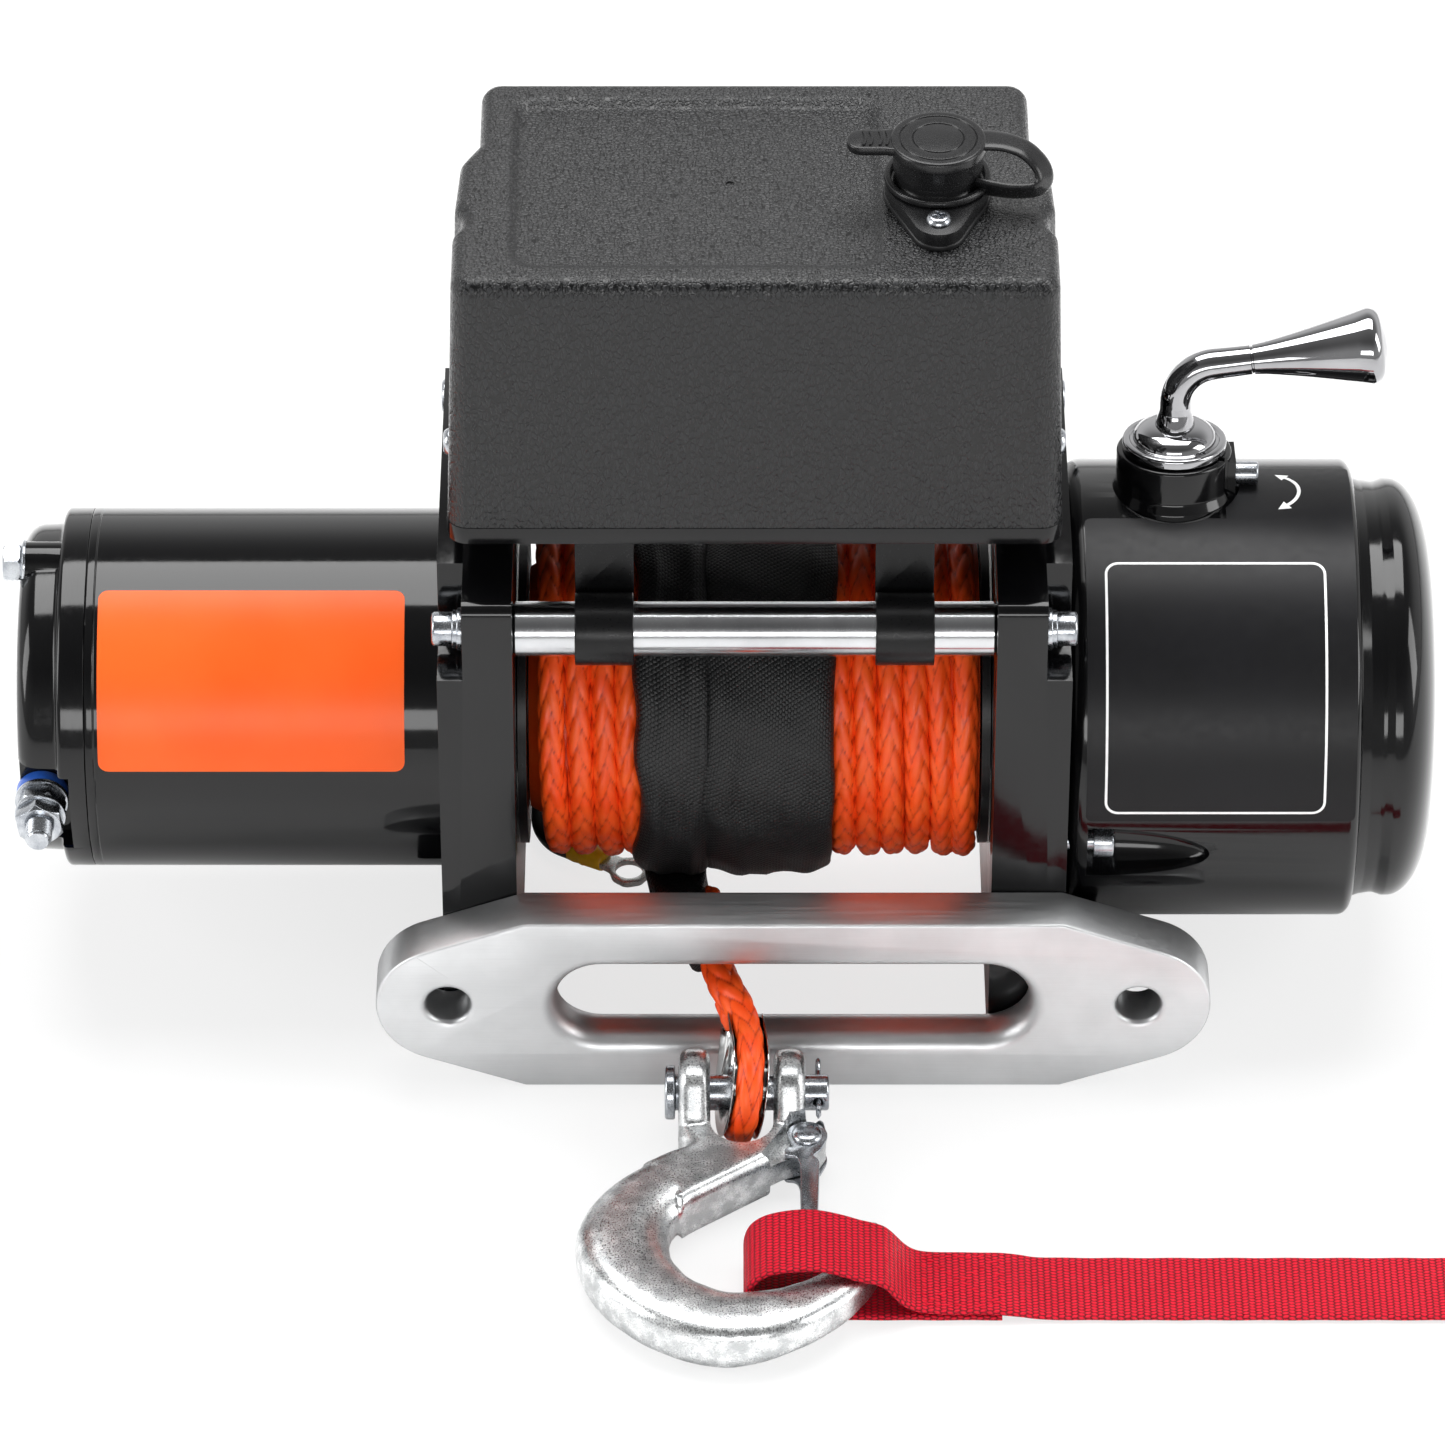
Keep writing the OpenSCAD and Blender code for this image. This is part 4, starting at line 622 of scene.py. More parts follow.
@dataclass(frozen=True)
class Weave(Finish):
    """A woven cloth on its own UV map, in metres: warp along U and weft along V.

    Attributes:
        warp_mm: Length of one crossing along the cloth.
        weft_mm: Width of one crossing across it.
        crease: Painted shade between the threads.
    """

    warp_mm: float = 1.3
    weft_mm: float = 1.0
    crease: str = "#000000"

    def crossings(self, tree: Tree) -> Socket:
        """Rounded threads in rows, each row half a thread from the last, with wavy gaps between the rows."""
        cloth = add_node(tree, "UVMap", uv_map="lay")
        scale = (1 / (self.warp_mm * MM), 1 / (self.weft_mm * MM), 1.0)
        place = add_node(tree, "Mapping", {"Vector": cloth, "Scale": scale})
        along = add_node(tree, "SeparateXYZ", {"Vector": place}, "X")
        across = along.node.outputs["Y"]
        wave = calc(tree, "SINE", calc(tree, "MULTIPLY", across, math.tau))
        row = calc(tree, "MULTIPLY_ADD", wave, 0.09, along)
        spot = calc(tree, "MULTIPLY_ADD", calc(tree, "FLOOR", row), 0.5, across)
        swells = [calc(tree, "SINE", calc(tree, "MULTIPLY", part, math.pi)) for part in (row, spot)]
        return calc(tree, "POWER", calc(tree, "ABSOLUTE", calc(tree, "MULTIPLY", *swells)), 0.5)

    def height(self, tree: Tree) -> Socket:
        """Threads with a little fibre on them."""
        fibre = noise(tree, self.coordinates(tree), self.grain_mm, 3.0)
        return calc(tree, "MULTIPLY_ADD", fibre, 0.25, self.crossings(tree))

    def tone(self, tree: Tree) -> Socket:
        """The thread's colour, with painted shade that darkens the holes."""
        # Painted shade: the crossings' relief mixes the crease colour into the gaps between the threads.
        share = remap(tree, self.crossings(tree), 0.25, 0.85)
        return between(tree, share, paint(self.crease), super().tone(tree))


# Two-pack gloss paint on cast aluminium: deep black with a clear sharp reflection and a faint orange peel.
GLOSS_PAINT = Finish("gloss_black_painted_casting", "#060607", "#0a0a0b", 0.1, 0.03, 0.0, 30, 2.4, 0.0035,
                     specular=0.38)
# The same paint rolled on drawn steel tube, a little smoother.
TUBE_PAINT = Finish("gloss_black_painted_tube", "#060607", "#09090a", 0.08, 0.02, 0.0, 40, 3.0, 0.0025,
                    specular=0.36)
# Powder coat on folded steel: black, less glossy, with a fine even texture.
POWDER_COAT = Finish("satin_black_powder_coat", "#09090a", "#0d0d0e", 0.32, 0.06, 0.0, 12, 0.7, 0.005,
                     specular=0.26)
# Injection-moulded ABS with a leather grain, which scatters light into fine sparkles; its colour holds
# painted shade in the creases and a painted highlight on the tops.
GRAINED_ABS = GrainedPlastic("leather_grained_black_abs", "#1d1e20", "#070708", 0.4, 0.14, 0.0, 30, 1.2, 0.2,
                             stretch=(1.0, 1.0, 2.3), specular=0.4)
# The same ABS from a polished mould.
GLOSS_ABS = Finish("polished_black_abs", "#0b0b0c", "#101011", 0.16, 0.04, 0.0, 20, 0.9, 0.003, specular=0.32)
# Moulded rubber: black, soft sheen, slightly dusty.
RUBBER = Finish("moulded_black_rubber", "#141415", "#1b1b1c", 0.4, 0.07, 0.0, 9, 0.5, 0.008, specular=0.35)
# Glass-filled nylon of the socket: black with a soft gloss.
SOCKET_NYLON = Finish("moulded_black_nylon", "#161617", "#1b1b1c", 0.27, 0.05, 0.0, 9, 0.5, 0.005,
                      specular=0.36)
# Chromed zinc: mirror bright with hardly any texture.
CHROME = Finish("polished_chrome_plate", "#a9a9ab", "#9b9b9d", 0.045, 0.015, 1.0, 20, 2.0, 0.0008)
# Centreless-ground steel bar: bright with fine rings round the rod.
GROUND_STEEL = Finish("ground_bright_steel", "#c9cacc", "#b9babc", 0.16, 0.06, 1.0, 14, 0.25, 0.0012,
                      (0.35, 6.0, 6.0))
# Bright zinc plate on turned fasteners: bluish silver with soft cloudy patches.
ZINC_PLATE = Finish("bright_zinc_plated_steel", "#bcbfc3", "#989ca2", 0.24, 0.08, 1.0, 3.5, 0.4, 0.003)
# Stainless thimble stamped from sheet.
STAINLESS = Finish("stamped_stainless_steel", "#d3d3d2", "#bdbdbc", 0.12, 0.05, 1.0, 6, 0.5, 0.002)
# Zinc plate over a shot-blasted forging.
FORGED_ZINC = ForgedZinc("zinc_plated_forged_steel", "#eeefef", "#b7b9ba", 0.31, 0.1, 1.0, 5, 0.5, 0.035)
# Billet aluminium brushed along its length: fine straight scratches.
BRUSHED_ALUMINIUM = Finish("brushed_aluminium_billet", "#d3d4d5", "#c6c7c8", 0.44, 0.1, 1.0, 26, 0.36, 0.012,
                           (60.0, 1.0, 1.0))
# Braided high-modulus polyethylene: waxy orange, nearly smooth, with fine filaments, and painted shade in the
# creases between the strands.
ORANGE_ROPE = BraidedRope("braided_orange_polyethylene", "#f2490f", "#f85c1d", 0.42, 0.08, 0.0, 9, 0.35, 0.03,
                          specular=0.35)
# Nylon mesh sleeve: black threads with a dull shine, and painted shade that makes the holes nearly black.
BLACK_MESH = Weave("woven_black_nylon_sleeve", "#1b1c1d", "#131415", 0.36, 0.1, 0.0, 12, 0.3, 0.2,
                   specular=0.4, warp_mm=1.4, weft_mm=1.2, crease="#020203")
# Red polyester webbing: coarse ribs, slightly shiny threads, and painted shade in dark red between the
# threads.
RED_WEBBING = Weave("woven_red_polyester_webbing", "#d60c2b", "#e0102f", 0.5, 0.1, 0.0, 15, 0.3, 0.3,
                    specular=0.22, warp_mm=1.9, weft_mm=1.25, crease="#66020f")
# The same red as sewing thread.
RED_THREAD = Finish("spun_red_polyester_thread", "#cc0c28", "#d8102d", 0.5, 0.06, 0.0, 6, 0.3, 0.01,
                    specular=0.22)
# Gloss vinyl label, orange, printed bare.
ORANGE_VINYL = Finish("gloss_orange_vinyl", "#f05a1c", "#f26224", 0.34, 0.02, 0.0, 40, 9.0, 0.002,
                      specular=0.22)
# Satin vinyl label, very dark grey, printed bare.
DARK_VINYL = Finish("satin_dark_grey_vinyl", "#161617", "#19191b", 0.38, 0.04, 0.0, 40, 3.0, 0.002,
                    specular=0.18)
# White ink line.
WHITE_INK = Finish("printed_white_ink", "#f1f1f1", "#e6e6e6", 0.45, 0.04, 0.0, 10, 0.5, 0.002)
# Blue nylon insulating washer.
BLUE_NYLON = Finish("moulded_blue_nylon", "#2458b8", "#2d63c6", 0.35, 0.05, 0.0, 5, 0.4, 0.004)
# Yellow vinyl boot on the lead's terminal.
YELLOW_VINYL = Finish("moulded_yellow_vinyl", "#c99a08", "#b98c05", 0.4, 0.05, 0.0, 5, 0.4, 0.006)
# Heat-shrunk rubber cable.
CABLE_RUBBER = Finish("heat_shrunk_black_sheath", "#141415", "#1b1b1c", 0.36, 0.08, 0.0, 9, 0.9, 0.012)
# Tinned copper terminal.
TINNED_COPPER = Finish("tinned_copper_terminal", "#c3c4c2", "#a9aaa7", 0.28, 0.08, 1.0, 3, 0.3, 0.003)
# Machined steel of gears and carriers: cool grey with fine tool marks.
MACHINED_STEEL = Finish("hobbed_machine_steel", "#a7a9ab", "#8f9193", 0.32, 0.08, 1.0, 9, 0.3, 0.004)
# Blackened tool steel of the clutch.
BLACK_STEEL = Finish("blackened_tool_steel", "#4a4b4d", "#393a3c", 0.38, 0.07, 1.0, 7, 0.4, 0.004)
# Sintered bronze of the bushes: warm with open pores.
BRONZE = Finish("sintered_bronze", "#b07a3c", "#8f5f2b", 0.42, 0.08, 1.0, 4, 0.25, 0.01)
# Enamelled copper windings.
COPPER = Finish("enamelled_copper_winding", "#a5512b", "#7c3a1d", 0.34, 0.08, 1.0, 4, 0.4, 0.02,
                (4.0, 1.0, 1.0))
# Sintered ferrite magnets: dull dark grey.
FERRITE = Finish("sintered_ferrite", "#3a3a3c", "#2f2f31", 0.7, 0.06, 0.0, 5, 0.3, 0.01)
# Moulded phenolic of the contactor.
PHENOLIC = Finish("moulded_black_phenolic", "#1d1d1e", "#262627", 0.45, 0.06, 0.0, 8, 0.5, 0.006)


def finish_piece(obj: Piece, body: str, finish: Finish, replaces: Sequence[str] = (),
                 angle: float = 32) -> Piece:
    """Shades a finished mesh, dresses it and hangs it on its body.

    Args:
        obj: The piece, with its place in its mesh.
        body: The body that it rides on, or nothing for a piece that is left unattached.
        finish: Its material.
        replaces: CAD nodes that it stands for.
        angle: Edges sharper than this many degrees stay sharp.
    """
    select_only(obj)
    bpy.ops.object.shade_smooth_by_angle(angle=math.radians(angle))
    obj.data.materials.clear()
    obj.data.materials.append(finish.build())
    if body:
        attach(obj, body)
    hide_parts(*replaces)
    obj.data.calc_loop_triangles()
    LOG.info("%s: %d triangles on %s, for %s", obj.name, len(obj.data.loop_triangles), body or "a blend",
             ", ".join(replaces) or "itself")
    return obj


def dress_node(name: str, finish: Finish) -> None:
    """Gives a CAD node, whose shape stays, its material."""
    material = finish.build()
    node = NODES[name]
    if not node.material_slots:
        node.data.materials.append(material)
    for place in node.material_slots:
        place.material = material
    LOG.info("%s: kept, in %s", name, finish.name)


# ---------------------------------------------------------------- camera and studio


@dataclass
class CameraRig:
    """A long lens from the rope side, looking down at the winch."""

    target: Point = (-9.3, -6.8, 75.4)
    distance: float = 2500.0
    elevation: float = 38.5
    view_angle: float = 9.91

    def build(self) -> None:
        """Adds the camera and makes it the scene's."""
        lift = math.radians(self.elevation)
        back = Vector((0, -math.cos(lift), math.sin(lift)))
        select_only()
        bpy.ops.object.camera_add(location=(Vector(self.target) + back * self.distance) * MM,
                                  rotation=(math.pi / 2 - lift, 0, 0))
        camera = bpy.context.object
        camera.name = "catalogue_camera"
        camera.data.angle = math.radians(self.view_angle)
        camera.data.clip_end = 50
        bpy.context.scene.camera = camera


@dataclass
class Studio:
    """White floor, soft boxes and a white room that is darker on the camera's side.

    Attributes:
        room_light: Strength of the room's walls.
        floor_glow: Share of the floor's white that is its own light, for the camera only.
        aim: The place that the lamps face, in metres.
        lamps: Name, size, place and power of each soft box, in metres and watts.
    """

    floor_size: float = 8.0
    room_light: float = 0.95
    floor_glow: float = 0.75
    aim: Point = (0, 0, 0.08)
    lamps: tuple[tuple[str, Point, Point, float], ...] = (
        ("overhead_box", (1.5, 0.9), (0.0, 0.44, 1.5), 32),
        ("left_box", (0.7, 1.2), (-1.7, -0.35, 0.9), 15),
        ("right_box", (0.7, 1.2), (1.7, -0.35, 0.9), 15),
        ("front_box", (1.6, 0.5), (0.0, -2.2, 0.75), 16),
    )

    def floor(self) -> None:
        """A matt white floor with a faint unevenness, just under the feet."""
        select_only()
        bpy.ops.mesh.primitive_plane_add(size=self.floor_size, location=(0, 0, -0.0002))
        floor = settle("studio_floor")
        material = Finish("matt_white_floor", "#fbfbfb", "#f8f8f8", 0.85, 0.05, 0.0, 400, 3, 0.01).build()
        self.whiten(material)
        floor.data.materials.append(material)

    def whiten(self, material: bpy.types.Material) -> None:
        """Lets the camera see the floor nearly as white as the background, with the shadow still on it."""
        tree = material.node_tree
        seen = add_node(tree, "LightPath", output="Is Camera Ray")
        share = calc(tree, "MULTIPLY", seen, self.floor_glow)
        glow = add_node(tree, "Emission", {"Color": (1, 1, 1, 1), "Strength": 1.0})
        mix = add_node(tree, "MixShader", {0: share, 1: tree.nodes["Principled BSDF"].outputs[0], 2: glow})
        tree.links.new(mix, tree.nodes["Material Output"].inputs["Surface"])

    def soft_box(self, name: str, size: Point, place: Point, power: float) -> None:
        """A rectangular lamp that faces the drum."""
        select_only()
        aim = Vector(self.aim) - Vector(place)
        bpy.ops.object.light_add(type="AREA", location=place,
                                 rotation=aim.to_track_quat("-Z", "Y").to_euler())
        lamp = bpy.context.object
        lamp.name = name
        lamp.data.shape = "RECTANGLE"
        lamp.data.size, lamp.data.size_y = size
        lamp.data.energy = power

    def room(self) -> None:
        """White walls at eye height, fading to grey above and dark behind the camera."""
        world = bpy.data.worlds.new("white_room")
        world.use_nodes = True
        tree = world.node_tree
        way = add_node(tree, "TexCoord", output="Generated")
        parts = add_node(tree, "SeparateXYZ", {"Vector": way}).node.outputs
        depth = remap(tree, parts["Y"], -0.75, 0.15, (0.5, 1.0), interpolation_type="SMOOTHSTEP")
        rise = remap(tree, parts["Z"], 0.25, 0.75, (1.0, 0.3), interpolation_type="SMOOTHSTEP")
        lit = calc(tree, "MULTIPLY", calc(tree, "MULTIPLY", depth, rise), self.room_light)
        seen = add_node(tree, "LightPath", output="Is Camera Ray")
        strength = add_node(tree, "Mix", {0: seen, 2: lit, 3: 1.0}, data_type="FLOAT")
        ground = tree.nodes["Background"]
        ground.inputs["Color"].default_value = (1, 1, 1, 1)
        tree.links.new(strength, ground.inputs["Strength"])
        bpy.context.scene.world = world

    def build(self) -> None:
        """Floor, lamps and room."""
        self.floor()
        for lamp in self.lamps:
            self.soft_box(*lamp)
        self.room()
        bpy.context.scene.view_settings.view_transform = "Standard"


# ---------------------------------------------------------------- rope, sleeve and lead


def spline(points: Sequence[Point], step: float) -> np.ndarray:
    """Even points along a smooth curve through the given ones, all in millimetres."""
    knots = np.asarray(points, float)
    padded = np.vstack([2 * knots[0] - knots[1], knots, 2 * knots[-1] - knots[-2]])
    dense = []
    for i in range(len(knots) - 1):
        p0, p1, p2, p3 = padded[i:i + 4]
        for t in np.linspace(0, 1, 24, endpoint=False):
            dense.append(0.5 * (2 * p1 + (p2 - p0) * t + (2 * p0 - 5 * p1 + 4 * p2 - p3) * t * t
                                + (3 * p1 - p0 - 3 * p2 + p3) * t ** 3))
    dense = np.vstack([dense, knots[-1]])
    run = run_along(dense)
    even = np.linspace(0, run[-1], max(2, int(run[-1] / step)))
    return np.column_stack([np.interp(even, run, dense[:, k]) for k in range(3)])


def frames(path: np.ndarray, first_side: Point) -> tuple[np.ndarray, np.ndarray, np.ndarray]:
    """Tangents and two cross directions that don't twist along a path."""
    ahead = np.gradient(path, axis=0)
    ahead /= np.linalg.norm(ahead, axis=1)[:, None]
    side = np.empty_like(path)
    current = np.asarray(first_side, float)
    for i, way in enumerate(ahead):
        current = current - way * current.dot(way)
        current /= np.linalg.norm(current)
        side[i] = current
    return ahead, side, np.cross(ahead, side)


def squircle(angles: np.ndarray, wide: Any, flat: Any, power: float) -> np.ndarray:
    """Radii of a rounded rectangle, a superellipse, with its half width and half height."""
    reach = (np.abs(np.cos(angles)) / wide) ** power + (np.abs(np.sin(angles)) / flat) ** power
    return 1 / reach ** (1 / power)


def run_along(path: np.ndarray) -> np.ndarray:
    """The length of a path up to each of its points."""
    return np.concatenate([[0], np.cumsum(np.linalg.norm(np.diff(path, axis=0), axis=1))])


def corner_places(mesh: bpy.types.Mesh, sides: int) -> tuple[np.ndarray, np.ndarray]:
    """The ring and the side that each face corner's vertex lies on."""
    index = np.empty(len(mesh.loops), int)
    mesh.loops.foreach_get("vertex_index", index)
    return index // sides, index % sides


def set_lay(mesh: bpy.types.Mesh, spots: np.ndarray) -> None:
    """Gives every face corner its place on the cloth or rope, as a UV map."""
    mesh.uv_layers.new(name="lay").data.foreach_set("uv", spots.ravel())


def set_relief(mesh: bpy.types.Mesh, values: np.ndarray) -> None:
    """Gives every point its height between crease and crown."""
    mesh.attributes.new("relief", "FLOAT", "POINT").data.foreach_set("value", values.ravel())


def tube(name: str, path: np.ndarray, radii: np.ndarray, angles: np.ndarray, first_side: Point,
         relief: np.ndarray | None = None, around: np.ndarray | None = None) -> Piece:
    """A closed mesh tube with its own UV map of millimetres along and round it.

    Args:
        name: Name of the new object.
        path: Middle of the tube, in millimetres, one row for each ring.
        radii: Radius of every point, rings by sides.
        angles: Angle of each side, in radians.
        first_side: Direction of angle 0 at the start.
        relief: Value from 0 to 1 for every point, kept as an attribute.
        around: Millimetres round the section at each side and back at the first; arcs if left out.
    """
    _, side, up = frames(path, first_side)
    n = radii.shape[1]
    spots = (path[:, None] + radii[..., None] * (np.cos(angles)[None, :, None] * side[:, None]
                                                 + np.sin(angles)[None, :, None] * up[:, None]))
    obj = skin(name, spots)
    mesh = obj.data
    row, column = corner_places(mesh, n)
    # Faces that close the ring take the length all round for their corners on side 0.
    face = np.repeat(np.arange(len(mesh.polygons)), [p.loop_total for p in mesh.polygons])
    lows = np.full(len(mesh.polygons), n)
    np.minimum.at(lows, face, column)
    highs = np.zeros(len(mesh.polygons), int)
    np.maximum.at(highs, face, column)
    last = ((lows == 0) & (highs == n - 1))[face] & (column == 0)
    if around is None:
        around = np.append(angles, angles[0] + math.tau) * float(np.median(radii))
    set_lay(mesh, np.column_stack([run_along(path)[row], around[np.where(last, n, column)]]) * MM)
    if relief is not None:
        set_relief(mesh, relief)
    return obj


def in_metres(path: np.ndarray) -> list[list[float]]:
    """A path's points as lists in metres."""
    return [[c * MM for c in p] for p in path]


@dataclass
class Braid:
    """Surface of a twelve-strand rope: six strands each way, each over two and under two.

    Attributes:
        twist: Turn of a strand per millimetre along the rope, in radians.
        crown: Height of a strand's crown above the creases, as a share of the radius.
    """

    twist: float = 0.105
    crown: float = 0.2

    def relief(self, along: np.ndarray, round_it: np.ndarray) -> np.ndarray:
        """Height from 0 in a crease to 1 on a crown, at points along and round the rope."""
        a = (round_it - self.twist * along) * 6 / math.tau
        b = (round_it + self.twist * along) * 6 / math.tau
        cell = np.mod(np.floor(a) + np.floor(b), 4)
        fa, fb = np.mod(a, 1), np.mod(b, 1)
        first = cell < 2
        across = np.where(first, fa, fb)
        run = np.where(first, (cell + fb) / 2, (cell - 2 + fa) / 2)
        width = np.sqrt(np.clip(1 - (2 * across - 1) ** 2, 0, 1))
        length = np.sin(np.clip(run, 0, 1) * math.pi) ** 0.6
        return width * (0.35 + 0.65 * length)

    def radii(self, base: np.ndarray, along: np.ndarray, angles: np.ndarray) -> tuple[np.ndarray, np.ndarray]:
        """Radius and relief of every point, for base radii along the rope."""
        relief = self.relief(along[:, None], angles[None, :])
        return base[:, None] * (1 - self.crown + self.crown * relief), relief


@dataclass
class FreeRope:
    """The rope from the drum, through the fairlead and round the thimble, with its sleeve's tail."""

    diameter: float = 8.0
    route: tuple[Point, ...] = (
        (-13.5, -38.4, 36.3), (-13.3, -48, 35.6), (-12.7, -57, 34.6), (-11.5, -66, 33.6), (-9.6, -75, 32.8),
        (-6.8, -82.5, 32.3), (-4.1, -89, 32.3), (-2.3, -96.1, 32.9), (-1.3, -103.9, 33.9),
        (-1.1, -108.9, 33.9), (-1, -113.7, 32.3), (-1.2, -117.6, 29.2), (-1.7, -120.3, 25),
        (-2.3, -121.5, 20.2), (-3.2, -121, 15.3), (-4, -119, 10.8), (-4.9, -115.5, 7.3), (-5.5, -111, 5.1),
        (-6, -106.1, 4.5), (-6.2, -101.2, 5.6), (-6.1, -96.9, 8.1), (-5.7, -93.7, 12), (-5, -90.2, 18),
        (-4.5, -87.7, 22.3))
    braid: Braid = field(default_factory=Braid)

    def rope(self) -> Piece:
        """The braided rope itself, thicker where its end is tucked back into it."""
        path = spline(self.route, 0.45)
        along = np.linspace(0, 0.45 * len(path), len(path))
        y = path[:, 1]
        splice = np.interp(-y, [60, 70, 84, 92, 100], [0, 1.15, 1.25, 0.35, 0]) * (path[:, 2] > 28)
        ends = np.minimum(1, np.minimum(along + 0.6, along[-1] - along + 0.6) / 3) ** 0.5
        angles = round_angles(56)
        radii, relief = self.braid.radii((self.diameter / 2 * 1.03 + splice) * ends, along, angles)
        return tube("free_rope", path, radii, angles, (1, 0, 0), relief)

    def splice(self) -> Piece:
        """The throat where both legs of the eye are tucked together."""
        path = spline([(-8.2, -79.5, 30.4), (-6.4, -84.2, 28.6), (-5, -88.4, 26.4), (-4.4, -90.6, 24.6)], 0.4)
        along = np.linspace(0, 0.4 * len(path), len(path))
        base = np.interp(along, [0, 2.5, 8, along[-1] - 2, along[-1]], [2.2, 4.6, 4.8, 4.0, 2.6])
        angles = round_angles(48)
        radii, relief = Braid(0.13).radii(base, along, angles)
        return tube("rope_splice", path, radii, angles, (1, 0, 0), relief)

    def tail(self) -> Piece:
        """The flat end of the mesh sleeve that the rope comes out of."""
        route = [(-23.8, -26, 38), (-23.4, -32, 37.6), (-22.5, -37.6, 36.8), (-21, -44, 36.4),
                 (-18.6, -52, 35.6), (-15.6, -60, 34.6), (-13, -66.5, 34)]
        path = spline(route, 0.8)
        angles = round_angles(64)
        along = np.linspace(0, 1, len(path))[:, None]
        wide = 9.6 - 3.2 * along
        flat = 5.0 + 0.6 * along
        shape = squircle(angles, wide, flat, 2.6)
        folds = 1 + 0.035 * np.sin(5 * angles + 7 * along) + 0.02 * np.sin(9 * angles - 11 * along)
        return tube("sleeve_tail", path, shape * folds, angles, (1, 0, 0))

    def build(self) -> None:
        rope = finish_piece(self.rope(), "frame", ORANGE_ROPE, ["rope_free"], 80)
        splice = finish_piece(self.splice(), "frame", ORANGE_ROPE, (), 80)
        tail = finish_piece(self.tail(), "frame", BLACK_MESH, (), 60)
        thimble = Thimble().build()
        path = in_metres(spline(self.route, 2))


@dataclass
class Thimble:
    """The stainless teardrop channel inside the rope's eye.

    Attributes:
        pitch: Lean of the eye's plane, in degrees.
        tilt: Turn about the rope's way, in degrees.
        radius: Of the rope's seat, at the middle of the groove.
        sweep: Angle that the channel runs round, in degrees.
        leg: Straight length on past the sweep.
        side: Half the channel's width.
    """

    centre: Point = (-3.6, -106.6, 19.3)
    pitch: float = 25.0
    tilt: float = 10.0
    radius: float = 15.0
    groove: float = 4.9
    wall: float = 1.0
    sweep: float = 250.0
    leg: float = 13.0
    side: float = 5.3

    def build(self) -> Piece:
        """A pressed channel swept round the eye and along both legs."""
        side, rim, floor = self.side, self.radius + 1.5, self.radius - self.groove - self.wall
        wall = [(rim, side), (self.radius + 0.4, side), (floor + 2.2, side * 0.86), (floor + 0.7, side * 0.6),
                (floor, side * 0.3)]
        groove = arc(self.groove, 3 * math.pi / 2, math.pi / 2, 15, (self.radius, 0))
        profile = wall + [(r, -h)
                          for r, h in wall[::-1]] + [(rim, -self.groove)] + groove + [(rim, self.groove)]
        half = math.radians(self.sweep / 2)
        stations = [(half, leg) for leg in np.linspace(self.leg, 0, 6, endpoint=False)]
        stations += [(angle, 0) for angle in np.linspace(half, -half, 60)]
        stations += [(-half, leg) for leg in np.linspace(0, self.leg, 7)[1:]]
        obj = skin("thimble_channel", [self.section(profile, angle, leg) for angle, leg in stations])
        matrix = shift(*self.centre) @ turn(self.pitch, "X") @ turn(self.tilt, "Y") @ turn(90, "Y")
        move(obj, matrix)
        soften(obj, 0.25, 2, 50)
        return finish_piece(obj, "frame", STAINLESS, ["thimble"], 40)

    @staticmethod
    def section(profile: Sequence[Point], angle: float, leg: float) -> Loop:
        """One channel section at an angle from -Y, or further along the tangent leg there."""
        radial = Vector((math.sin(angle), -math.cos(angle)))
        tangent = Vector((math.cos(angle), math.sin(angle))) * (1 if angle > 0 else -1)
        return [(radial.x * r + tangent.x * leg, radial.y * r + tangent.y * leg, h) for r, h in profile]


